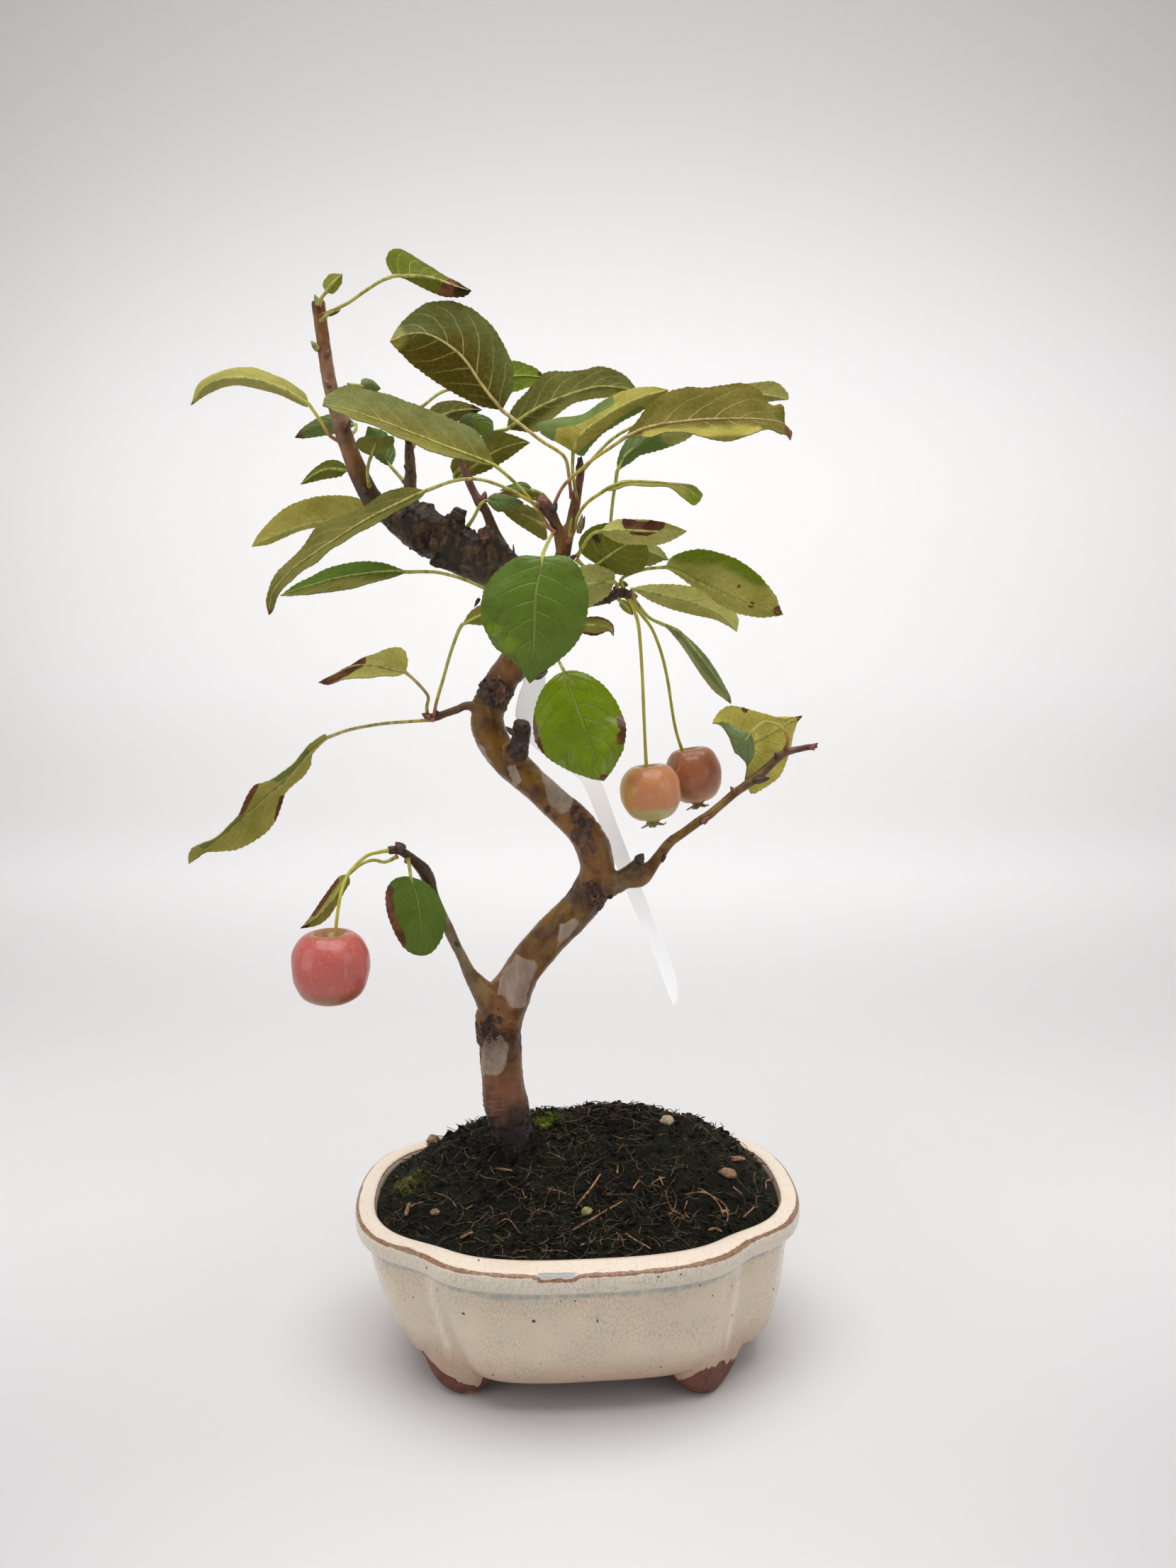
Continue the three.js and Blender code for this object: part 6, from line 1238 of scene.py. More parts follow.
def shaped_blade(shape, seed):
    """The blade with its teeth, its quilting between the veins and its waves."""
    grid, normals, side, along = blade_grid(shape)
    width = np.linalg.norm(grid[:, 0] - grid[:, -1], axis=-1).max()
    fades = smooth(0, 0.12, along) * (1 - smooth(0.9, 1, along))
    edge_ways = []
    for edge, inner in ((0, 1), (-1, -2)):
        out = unit(grid[:, edge] - grid[:, inner])
        ahead = unit(np.gradient(grid[:, edge], axis=0))
        run = np.concatenate([[0], np.cumsum(np.linalg.norm(np.diff(grid[:, edge], axis=0), axis=1))])
        tooth = ((run / TOOTH_PITCH + seed * 0.37) % 1) ** 1.3 - 0.45
        big = 0.75 + 0.5 * rough(grid[:, edge], 4, seed=seed)
        edge_ways.append((out + ahead * 0.35) * (tooth * big * TOOTH_HEIGHT)[:, None])
    reach = np.clip((np.abs(side) - 0.8) / 0.2, 0, 1) ** 2 * fades * min(1, width / 9)
    on_last = side[..., None] * np.sign(side[0, -1]) > 0
    ways = np.where(on_last, edge_ways[1][:, None], edge_ways[0][:, None])
    apart = np.abs(side)
    phase = ((along - vein_climb(apart)) * VEIN_PAIRS + (side > 0) * VEIN_STAGGER) % 1
    quilt = np.sin(math.pi * phase) * np.sin(math.pi * np.clip(apart, 0, 1)) * 0.014 * width
    wave = rough(grid, 7, seed=seed) * apart ** 2 * 0.05 * width
    lift = (quilt + wave + rough(grid, 3, 2, seed) * 0.1) * fades
    lift -= np.exp(-(apart / 0.09) ** 2) * 0.12
    grid = grid + ways * reach[..., None] + normals * lift[..., None]
    return grid, grid_normals(grid), side, along


def tissue(shape, grid, side, along, seed):
    """What each point of a blade carries for its tissue."""
    look = shape["look"]
    front = on_front(grid)
    held = {key: np.full(side.shape, float(look.get(key, 0))) for key in TISSUE}
    held["pale"] = held["pale"] + 0.12 * rough(grid, 14, seed=seed + 3)
    if "edge" in look:
        held["burn"] += smooth(1 - look["edge"] * 1.6, 1 - look["edge"] * 0.4, np.abs(side))
    if "tip" in look:
        held["burn"] += smooth(1 - look["tip"] * 1.5, 1 - look["tip"] * 0.5, along)
    for kind, half_width, *places in look.get("strokes", ()):
        share = stroke(front, half_width, *places)
        if kind == "cool":
            held["warm"] = held["warm"] * (1 - share * 0.8)
            held["pale"] = held["pale"] + share * 0.12
        elif kind == "deep":
            held["pale"] = held["pale"] * (1 - share * 0.8)
        else:
            top = 0.85 if kind == "pale" else 1
            held[kind] = held[kind] + (top - held[kind]) * share
    return {key: np.clip(values, 0, 1.3 if key == "pale" else 1) for key, values in held.items()}


def leaf_stem(shape, grid, normals):
    """The stalk, swollen where it leaves the wood, running on as the rib under the blade."""
    stalk = np.vstack([seen(shape["stalk"]), seen(shape["rib"][:1])])
    stalk[0] -= unit(stalk[1] - stalk[0])
    count = max(6, round(length_of(stalk) / 1.2))
    below = through(stalk, count)
    share = np.linspace(0, 1, count + 1)
    swelling = 0.6 * np.exp(-share * length_of(below) / 1.6) + 0.15 * smooth(0.85, 1, share)
    fat = STALK_RADIUS * (1 + swelling)
    column = grid.shape[1] // 2
    rows = np.arange(2, grid.shape[0] - 1, 3)
    run = rows / (grid.shape[0] - 1)
    thin = STALK_RADIUS * (1 - run) ** 0.8 * 0.85 + 0.1
    sunk = (LEAF_THICKNESS / 2 + thin * 0.35) * smooth(0, 0.1, run)
    above = grid[rows, column] - normals[rows, column] * sunk[:, None]
    shares = np.concatenate([share * 0.5, 0.5 + run * 0.5])
    return stem("stalk", np.vstack([below, above]), np.concatenate([fat, thin]), 8, shares)


def leaf(name, shape, seed):
    grid, normals, side, along = shaped_blade(shape, seed)
    traits = tissue(shape, grid, side, along, seed)
    blade = skin(name, grid, closed=False, traits=traits, uv=((side + 1) / 2, along))
    for material in (LEAF_UPPER, LEAF_UNDER):
        blade.data.materials.append(material)
    modified(blade, "SOLIDIFY", thickness=LEAF_THICKNESS * MM, offset=0, material_offset=1)
    stalk = leaf_stem(shape, grid, normals)
    stalk.data.materials.append(LEAF_STALK)
    for key in ("blush", "tan"):
        carry(stalk, key, np.full(len(stalk.data.vertices), shape["look"].get(key, 0.05)))
    return joined(name, [blade, stalk])


LEAF_UPPER = leaf_face("leaf_upper_side", True)
LEAF_UNDER = leaf_face("leaf_underside", False)
LEAF_STALK = stalk_skin()

for seed, (name, shape) in enumerate(LEAVES.items(), start=1):
    dressed(leaf(name + "_blade", shape, seed), (), [name], angle=50)
for seed, (name, shape) in enumerate(SMALL_BLADES.items(), start=60):
    dressed(leaf(name, shape, seed), (), angle=50)


# ---------------------------------------------------------------- wood

WOOD_VOXEL = 0.62
LINE_STEP = 1.4
LIMB_BLEND = 0.8
PLAIN_SHINE = 0.45
ROOT_POINTS = 16
BRANCH_SHIFT = 0.8
PLATE_SIZE = 3.4
POINTS_AT_ONCE = 8000
# The darkest tone is the foot of the trunk, near black up to 82 mm, and the roots.
NEAR_BLACK, RUST, CLAY = srgb(12, 7, 5), srgb(122, 77, 50), srgb(138, 92, 48)
BROWN, OLIVE, DARK = srgb(132, 88, 38), srgb(122, 86, 20), srgb(70, 47, 26)
GREY, PINK_GREY, TWIG = srgb(140, 126, 112), srgb(150, 118, 98), srgb(104, 80, 50)
RED_BROWN, GREY_OLIVE = srgb(112, 66, 50), srgb(136, 118, 84)
GOLDEN = srgb(140, 108, 50)

# The tone of each limb along its length, by the height on the front plane for the trunk and by
# share of length for the others; how gnarled and how shiny its bark is.
TRUNK_TONES = [
    (44, NEAR_BLACK), (82, NEAR_BLACK), (88, RUST), (96, RUST), (102, BROWN), (112, DARK), (120, CLAY), (128, CLAY),
    (137, BROWN), (142, OLIVE), (156, OLIVE), (162, DARK), (168, BROWN), (180, OLIVE), (190, BROWN),
    (204, OLIVE), (226, OLIVE), (232, DARK), (238, BROWN), (258, OLIVE), (266, BROWN), (272, DARK),
    (290, DARK), (298, DARK), (306, BROWN), (320, PINK_GREY), (345, CLAY), (357, BROWN),
]
LIMB_TONES = {
    "lower_left_branch": (BROWN, GREY_OLIVE, GREY_OLIVE, DARK, DARK),
    "right_limb": (BROWN, GREY_OLIVE, DARK), "right_twig": (BROWN, GOLDEN, GOLDEN, TWIG, RED_BROWN),
    "upright_stub": (BROWN, TWIG, DARK), "crown_twig": (BROWN, TWIG, RED_BROWN, TWIG),
    "cut_stub": (DARK, GREY), "stub_shoulder": (DARK, DARK), "weathered_knob": (DARK, GREY),
    "dead_snag": (DARK, GREY), "spur_foot": (OLIVE, BROWN), "left_spur": (BROWN, TWIG, RED_BROWN),
    "right_spur": (BROWN, BROWN, RED_BROWN, DARK), "fruit_spur": (OLIVE, GREY_OLIVE, TWIG, DARK),
    "left_side_spur": (BROWN, TWIG, RED_BROWN), "bend_stub": (BROWN, DARK),
    "label_knob": (BROWN, BROWN), "old_scar": (DARK, DARK),
}
GNARLED = {
    "cut_stub": 0.9, "stub_shoulder": 0.9, "weathered_knob": 0.9, "dead_snag": 1, "upright_stub": 0.3,
    "old_scar": 0.6, "bend_stub": 0.7,
}
TRUNK_GNARL = [
    (44, 0.35), (86, 0.25), (96, 0.1), (108, 0.4), (118, 0.4), (124, 0.1), (155, 0), (160, 0.6),
    (166, 0.3), (172, 0), (226, 0), (231, 0.6), (236, 0.2), (262, 0), (271, 0.5), (290, 0.6),
    (296, 0.1), (300, 0),
]
TRUNK_SHINE = [
    (44, 0.1), (90, 0.3), (110, 0.3), (138, 0.5), (146, 1), (158, 0.8), (170, 0.5), (184, 0.8),
    (200, 0.9), (225, 0.9), (240, 0.6), (262, 0.8), (272, 0.2), (357, 0.2),
]

# Patches of grey bark, and old scars as (x, z, radius, how raised), on the front plane.
GREY_PATCHES = [
    [(-28.5, 130), (-27.5, 134.5), (-24.5, 137), (-22.5, 140.5), (-20, 139.5), (-16, 138.5),
     (-14.5, 136), (-17, 131), (-18.5, 126), (-19, 122), (-21, 121), (-25, 121.5), (-26, 124.5),
     (-29, 126)],
    [(-7, 151), (-2, 153.5), (0, 152), (-2, 149), (-6, 144.5), (-8.5, 142), (-8, 146)],
    [(-36, 97), (-35, 105), (-33, 111), (-28, 112), (-25, 108), (-26, 101), (-28, 97)],
    [(-36.5, 206), (-35.5, 214), (-32.6, 212.6), (-30, 207), (-31, 203)],
    [(-25, 206), (-22, 206.6), (-20, 201), (-22.6, 199)],
    [(-15, 211), (-12, 206), (-8, 201), (-2.5, 194), (-3.5, 190.5), (-7, 189.5), (-10, 192), (-12, 196),
     (-12.5, 200), (-14, 205)],
]
SCARS = [
    (-32, 113.5, 5, 0.8), (-28.5, 121, 1.1, 0.5), (8, 160, 3, 0.8), (4.6, 163, 3.4, 0.8),
    (-11, 191.3, 1.2, 0.5), (-28.5, 230.5, 4.8, 1.2), (-1, 189.6, 3.6, 0.5), (1.6, 185.4, 3.8, 0.5),
    (0.4, 181, 3.4, 0.4), (3.4, 178, 2.6, 0.3), (-32, 283.5, 2.6, 0.5), (-8.5, 284.7, 1.4, 0.4),
    (-12.5, 236, 3, 0.5), (-40, 286, 4, 1), (-52, 282, 4, 1),
]
COLLARS = [
    (-34, 128, 6), (-37, 133, 4), (12, 165, 6), (19, 168, 5), (-30, 86, 7), (-31, 113, 7),
    (-22, 207, 5), (-55, 290, 6), (-25, 275, 4), (-53, 169, 5), (-60, 176, 5), (-56.5, 172, 4),
    (-5, 276, 4), (5, 160, 6), (-9, 290, 3), (14, 263, 4), (-66, 292, 6), (-31.8, 293, 3),
]


def wood_lines():
    """Each limb's middle line in space with its radius, tone, gnarl and shine."""
    lines = []
    for name, places in {"trunk": TRUNK, **LIMBS}.items():
        rows = np.array(places, float)
        held = np.column_stack([seen(rows[:, :3]), rows[:, 3] / 2])
        line = through(held, max(10, round(length_of(held) / LINE_STEP)))
        share = np.linspace(0, 1, len(line))
        if name == "trunk":
            height = on_front(line[:, :3])[:, 1]
            keys, tones = zip(*TRUNK_TONES)
            tone = np.column_stack([np.interp(height, keys, channel) for channel in zip(*tones)])
            gnarl, shine = (np.interp(height, *zip(*table)) for table in (TRUNK_GNARL, TRUNK_SHINE))
        else:
            tones = LIMB_TONES[name]
            keys = np.linspace(0, 1, len(tones))
            tone = np.column_stack([np.interp(share, keys, channel) for channel in zip(*tones)])
            gnarl = np.full(len(line), GNARLED.get(name, 0.0)) * smooth(0, 0.3, share)
            shine = np.full(len(line), PLAIN_SHINE)
        if name == "lower_left_branch":
            height = line[:, 2]
            line[:, 0] -= BRANCH_SHIFT * smooth(128, 136, height) * (1 - smooth(160, 168, height))
        lines.append((name, line, np.column_stack([tone, gnarl, shine])))
    for turn, length, diameter in ROOTS:
        along = np.linspace(0, 1, ROOT_POINTS)
        way = np.array([math.cos(math.radians(turn)), math.sin(math.radians(turn)), 0])
        points = ROOT_START + along[:, None] * way * length
        points[:, 2] -= ROOT_DIP[0] + (ROOT_DIP[1] - ROOT_DIP[0]) * along ** 1.5
        radius = diameter / 2 * (1 - ROOT_TAPER * along)
        held = np.tile([*NEAR_BLACK, 0.4, 0.6], (ROOT_POINTS, 1))
        lines.append(("root", np.column_stack([points, radius]), held))
    return lines


def within(front, outline, soft):
    """1 inside an outline on the front plane, with an edge of the given softness."""
    corners = np.array(outline, float)
    odd = np.zeros(len(front), bool)
    for (ax, az), (bx, bz) in zip(corners, np.roll(corners, -1, axis=0)):
        crosses = (az > front[:, 1]) != (bz > front[:, 1])
        odd ^= crosses & (front[:, 0] < ax + (front[:, 1] - az) * (bx - ax) / ((bz - az) or 1e-9))
    edge = distance_to(front, np.vstack([corners, corners[:1]]))
    return smooth(-soft, soft, np.where(odd, edge, -edge))


def bark_plates(points, size):
    """Old bark: how high each point's plate stands, and 1 in the gaps between the plates."""
    heights, gaps = np.empty(len(points)), np.empty(len(points))
    for number, point in enumerate(points / size):
        apart, centres = noise.voronoi(Vector(point))
        heights[number] = noise.cell(centres[0] * 7.3)
        gaps[number] = apart[1] - apart[0]
    return heights, 1 - smooth(0.02, 0.3, gaps)


def by_limb(points, lines):
    """For each point of the wood: its tone, gnarl and shine, its run along the limb and the radius."""
    middles = np.vstack([line[:, :3] for _, line, _ in lines])
    ways = np.vstack([unit(np.gradient(line[:, :3], axis=0)) for _, line, _ in lines])
    radii = np.concatenate([line[:, 3] for _, line, _ in lines])
    kinds = np.vstack([kind for _, _, kind in lines])
    runs = np.concatenate([np.arange(len(line)) * LINE_STEP for _, line, _ in lines])
    held, run, radius = np.empty((len(points), 5)), np.empty(len(points)), np.empty(len(points))
    for start in range(0, len(points), POINTS_AT_ONCE):
        part = slice(start, start + POINTS_AT_ONCE)
        apart = np.linalg.norm(points[part, None] - middles[None], axis=2) - radii
        nearest = apart.argmin(axis=1)
        weight = np.exp(-(apart - apart.min(axis=1, keepdims=True)) / LIMB_BLEND)
        held[part] = weight @ kinds / weight.sum(axis=1, keepdims=True)
        offset = points[part] - middles[nearest]
        run[part] = runs[nearest] + (offset * ways[nearest]).sum(1)
        radius[part] = radii[nearest]
    return held, run, radius


def collars(front):
    """1 at the wrinkled collars where limbs part."""
    held = np.zeros(len(front))
    for x, z, reach in COLLARS:
        apart = np.hypot(front[:, 0] - x, front[:, 1] - z)
        held = np.maximum(held, 1 - smooth(reach * 0.4, reach, apart))
    return held


def scars(front, faces_us, wander):
    """1 on each scar, and how far its lip stands up and its middle sinks."""
    held, lift = np.zeros(len(front)), np.zeros(len(front))
    for x, z, reach, raised in SCARS:
        out = np.hypot(front[:, 0] - x, front[:, 1] - z) / reach + wander * 0.75
        held = np.maximum(held, (1 - smooth(0.5, 1.1, out)) * faces_us)
        lip, hollow = np.exp(-((out - 0.85) / 0.28) ** 2), np.exp(-(out / 0.6) ** 2)
        lift += raised * faces_us * (0.9 * lip - 0.8 * hollow)
    return held, lift


def make_wood():
    """The trunk and limbs grown into one skin, with their rings, scars and plates of old bark."""
    lines = wood_lines()
    pieces = [stem(name, line[:, :3], line[:, 3], 20) for name, line, _ in lines]
    wood = joined("tree_wood", pieces)
    modified(wood, "REMESH", mode="VOXEL", voxel_size=WOOD_VOXEL * MM)
    modified(wood, "SMOOTH", factor=0.5, iterations=4)
    points, normals = points_of(wood), held_by(wood, "normal")
    held, run, radius = by_limb(points, lines)
    front = on_front(points)
    faces_us = smooth(-0.15, 0.35, (normals * unit(VIEWPOINT - points)).sum(1))
    gnarl, collar, wander = held[:, 3], collars(front), rough(points, 3, 3, 2)
    scar, lift = scars(front, faces_us, wander)
    size = np.clip(radius / 6, 0.25, 1)
    rings = np.sin(run * 2 * math.pi / 1.5 + wander * 2.5)
    lift += size * (0.35 * rough(points, 7, 2, 1) + rings * (0.05 + 0.2 * collar))
    gap = np.zeros(len(points))
    old = np.flatnonzero(gnarl > 0.04)
    warped = points[old] * [0.8, 0.8, 0.45] + 1.6 * rough(points[old], 4, 3, 8)[:, None]
    plate, between = bark_plates(warped, PLATE_SIZE)
    gap[old] = between * smooth(0.04, 0.4, gnarl[old])
    lift[old] += gnarl[old] * size[old] * (0.6 * (plate - 0.5) - 0.2 * between)
    lift += gnarl * size * 1.1 * rough(points, 7, 3, 5) + 0.07 * rough(points, 1.6, 2, 9) * (0.5 + gnarl)
    move_points(wood, points + normals * lift[:, None])
    grey = np.zeros(len(points))
    for outline in GREY_PATCHES:
        grey = np.maximum(grey, within(front, outline, 1.3))
    tone = wood.data.attributes.new("tone", "FLOAT_COLOR", "POINT")
    tone.data.foreach_set("color", np.column_stack([held[:, :3], np.ones(len(points))]).ravel())
    for key, values in {"grey": grey * faces_us, "scar": scar, "gnarl": np.maximum(gnarl, collar * 0.25),
                        "shine": held[:, 4], "gap": gap}.items():
        carry(wood, key, values)
    return wood


tree_wood = make_wood()
wood_points = points_of(tree_wood)
wood_front = on_front(wood_points)
dressed(tree_wood, [bark()], ["trunk_and_branches"], angle=60)


def on_wood(x, z):
    """The point of the wood's near face that is seen at a place on the front plane."""
    apart = np.hypot(wood_front[:, 0] - x, wood_front[:, 1] - z)
    around = np.flatnonzero(apart < max(1.2, apart.min() + 0.3))
    return np.array([x, z, wood_points[around, 1].min()])


# Buds and scales: foot and tip on the front plane, width, and their colour.
BUDS = [
    ((-60.6, 177), (-63.4, 180), 3.4, "dark"), ((-59.8, 172.6), (-58.6, 175.4), 2, "red"),
    ((19.6, 173), (21.6, 176), 3.6, "dark"), ((59, 201), (64.6, 202), 2.7, "dark"),
    ((41.6, 186.6), (44, 189), 2.4, "red"), ((30.4, 180), (31.4, 182.4), 1.8, "red"),
    ((29, 175.6), (28, 172.6), 1.4, "dark"), ((77.6, 212), (80.6, 214), 1.8, "red"),
    ((78, 213), (79.4, 211.4), 1.5, "dark"), ((-22.4, 217), (-25.4, 219.6), 2, "dark"),
    ((-12.6, 292), (-12.4, 296.8), 4, "red"), ((-9.4, 290.6), (-7.6, 293.6), 2.6, "dark"),
    ((-0.4, 303), (0.4, 308.6), 2.6, "dark"), ((-0.4, 283.6), (0.7, 290), 2, "pale"),
    ((0.4, 284.8), (1.6, 289.4), 1.4, "red"), ((-3.4, 275), (-1, 276.8), 1.8, "dark"),
    ((-22, 277), (-22.2, 280.4), 0.7, "dark"), ((-85, 342), (-87.4, 345), 2.2, "pale"),
    ((-77, 317.4), (-75, 320.4), 2, "red"), ((11.4, 262.4), (12.9, 266), 2.8, "dark"),
    ((15.4, 262.4), (17, 265.2), 2.6, "dark"), ((9.2, 260.6), (9.8, 262.8), 1.8, "dark"),
    ((-50.6, 222.4), (-53.6, 224), 2.4, "red"), ((-47.4, 222.4), (-48.6, 225.2), 1.8, "dark"),
    ((-33.6, 262.4), (-35.4, 259.4), 1.3, "dark"), ((-84.4, 356), (-85.8, 359.4), 2, "pale"),
    ((-32, 294), (-31.2, 297.4), 2.4, "red"), ((-36.6, 299.6), (-35.4, 302.4), 1.6, "red"),
    ((-40.4, 309.6), (-41.6, 312.6), 2, "red"), ((-81.6, 330.4), (-83.4, 333), 2, "red"),
    ((-82.8, 340), (-81, 342.4), 1.8, "red"), ((-70.6, 296.6), (-72.6, 299), 2, "dark"),
    ((-56, 303.6), (-58, 305.8), 2, "dark"), ((-56.2, 313), (-56.4, 316.4), 2.4, "dark"),
    ((67, 208.6), (66, 211), 1.8, "dark"), ((52.6, 197), (51, 199.2), 1.8, "red"),
    ((-42, 143.4), (-44, 145.6), 1.6, "dark"), ((-47.6, 157), (-49.8, 158), 1.5, "dark"),
]
BUD_FINISHES = {
    "dark": bud_scale("bud_dark", srgb(56, 40, 34), srgb(104, 74, 60)),
    "red": bud_scale("bud_red", srgb(112, 60, 50), srgb(160, 108, 86)),
    "pale": bud_scale("bud_pale", srgb(120, 132, 60), srgb(186, 176, 120)),
}


def bud(foot, tip, width, look):
    """A pointed bud with its scales lapped in a spiral."""
    start = on_wood(*foot)
    line = through(seen([start, (start + [*tip, start[2]]) / 2, [*tip, start[2]]]), 14)
    t = np.linspace(0, 1, 15)
    radii = width / 2 * np.interp(t, [0, 0.15, 0.4, 0.7, 0.9, 1], [0.75, 1, 1, 0.66, 0.3, 0.04])
    rings = rings_along(line, radii, 10)
    middle = np.vstack([line[:1], line, line[-1:]])[:, None]
    lap = (np.arange(len(rings))[:, None] / 4 + np.linspace(0, 2, 11)) % 1
    shaped = middle + (rings - middle) * (1 + 0.16 * (lap - 0.5))[..., None]
    shaped[:, -1] = shaped[:, 0]
    made = skin("bud", shaped)
    made.data.materials.append(BUD_FINISHES[look])
    return made


dressed(joined("buds_and_scales", [bud(*row) for row in BUDS]), (), angle=55)


# ---------------------------------------------------------------- fruits

# Each fruit's shaded flank, its blush, its eye end and its bloom.
FRUIT_TONES = {
    "fruit_red": ((178, 78, 66), (188, 88, 78), (150, 84, 52), (204, 132, 108)),
    "fruit_orange": ((200, 146, 62), (192, 122, 74), (178, 166, 106), (200, 148, 96)),
    "fruit_brown": ((126, 82, 24), (168, 98, 58), (176, 122, 80), (190, 134, 96)),
}
FRUIT_STALK, DRY_SEPAL = fruit_stalk_skin(), dry_sepal()
FRUIT_SIDES = 56
SEPALS = 5
SEPAL_THICKNESS = 0.22


def fruit(name, shape, seed):
    """A fruit with its stalk and, where its eye is open, its dry sepals."""
    section = np.array([*FRUIT_SECTION, *(EYE_SECTION if shape["eye"] else NO_EYE_SECTION)])
    profile = through(np.column_stack([section[:, 0], np.zeros(len(section)), section[:, 1]]), 46)
    profile[:, 0] = np.maximum(profile[:, 0], 0)
    profile[[0, -1], 0] = 0
    turn = np.linspace(0, 2 * math.pi, FRUIT_SIDES + 1)
    radius = profile[:, :1] * shape["radius"]
    local = np.stack([radius * np.cos(turn), radius * np.sin(turn),
                      profile[:, 2:] * shape["half"] * np.ones_like(turn)], axis=-1)
    ribs = np.cos(SEPALS * turn) * smooth(0.2, -0.9, profile[:, 2:])
    lumps = 1 + 0.035 * rough(local, 9, 2, seed) + 0.012 * ribs
    local[..., :2] *= lumps[..., None]
    tilt = np.array(Matrix.Rotation(-shape["lean"], 3, "Y"))
    middle = seen([shape["middle"]])[0]
    grid = local @ tilt.T + middle
    share = local[..., 2] / shape["half"]
    flank = smooth(-1, 1, (local[..., 0] * 0.7 - local[..., 1] * 0.6) / shape["radius"])
    low = smooth(0.1, 0.95, -share)
    russet = (1 - smooth(0.2, 0.95, radius / shape["radius"])) * smooth(-0.4, 0.4, share)
    body = skin(name, grid, traits={"flank": flank, "low": low, "russet": russet})
    body.data.materials.append(fruit_flesh(name + "_skin", *(srgb(*tone) for tone in FRUIT_TONES[name])))
    line = through(np.vstack([seen(shape["stalk"]), middle + tilt @ [0, 0, shape["half"] * 0.72]]), 40)
    along = np.linspace(0, 1, 41)
    radii = 0.54 + 0.4 * np.exp(-along * 18) + 0.2 * smooth(0.85, 1, along)
    radii = radii + 0.05 * rough(line, 5, seed=seed)
    stalk = stem("stalk", line, radii, 12)
    stalk.data.materials.append(FRUIT_STALK)
    pieces = [body, stalk]
    if shape["eye"]:
        eye = middle + tilt @ [0, 0, EYE_SECTION[-1][1] * shape["half"]]
        pieces += [sepal(eye, tilt, number, seed) for number in range(SEPALS)]
    return joined(name + "_flesh", pieces)


def sepal(foot, tilt, number, seed):
    """One of the eye's dry sepals, curling outwards."""
    spin = number * 2 * math.pi / SEPALS + seed
    out = np.array([math.cos(spin), math.sin(spin), 0])
    across = np.array([-math.sin(spin), math.cos(spin), 0])
    t = np.linspace(0, 1, 9)
    curl = 2.2 + 2.4 * ((number * 7 + seed) % 3) / 3
    down = np.array([0, 0, -1])
    rib = out * (0.5 + 3.9 * np.sin(t * 1.7))[:, None] + down * (4.2 * t - curl * t ** 2)[:, None]
    half = 1.5 * (1 - t ** 1.8) + 0.03
    side = np.linspace(-1, 1, 5)
    grid = rib[:, None] + across * (half[:, None] * side)[..., None]
    grid += down * (0.25 * (side ** 2) * half[:, None])[..., None]
    made = skin("sepal", grid @ tilt.T + foot, closed=False)
    made.data.materials.append(DRY_SEPAL)
    return modified(made, "SOLIDIFY", thickness=SEPAL_THICKNESS * MM, offset=0)


for seed, (name, shape) in enumerate(FRUITS.items(), start=1):
    dressed(fruit(name, shape, seed), (), [name], angle=60)


# ---------------------------------------------------------------- label

LABEL_THICKNESS = 0.42
LABEL_CURL = 0.35


def label_strip():
    """The label's tail, a little curled across its width."""
    rows = np.array(LABEL, float)
    line = through(np.column_stack([seen(rows[:, :3]), rows[:, 3] / 2]), 70)
    ahead = unit(np.gradient(line[:, :3], axis=0))
    across = unit(np.array(LABEL_ACROSS) - (ahead @ LABEL_ACROSS)[:, None] * ahead)
    out = np.cross(across, ahead)
    side = np.linspace(-1, 1, 9)
    grid = line[:, None, :3] + across[:, None] * (line[:, 3:4] * side)[..., None]
    grid += out[:, None] * ((side ** 2 - 0.4) * LABEL_CURL)[None, :, None]
    strip = skin("strip", grid, closed=False)
    modified(strip, "SOLIDIFY", thickness=LABEL_THICKNESS * MM, offset=0)
    return modified(strip, "BEVEL", width=0.1 * MM, segments=2, limit_method="ANGLE")


def label_loop():
    """The band that holds the label round the trunk, one closed ring."""
    turn = np.linspace(0, 2 * math.pi, 73)
    half = [(-0.22, -0.46), (-0.12, -0.5), (0.12, -0.5), (0.22, -0.46)]
    corner = np.array([*half, *((-x, -z) for x, z in half), half[0]])
    radius = LABEL_LOOP["radius"] + 0.25 + corner[:, 0]
    local = np.stack([radius * np.cos(turn)[:, None], radius * np.sin(turn)[:, None],
                      corner[:, 1] * LABEL_LOOP["height"] * np.ones((len(turn), 1))], axis=-1)
    tilt = np.array(Matrix.Rotation(LABEL_LOOP["lean"], 3, "Y"))
    return skin("loop", local @ tilt.T + seen([LABEL_LOOP["middle"]])[0])


loop_label = joined("loop_label", [label_strip(), label_loop()])
dressed(loop_label, [label_plastic()], ["blank_label"])


# ---------------------------------------------------------------- pot

POT_SIDES = 400
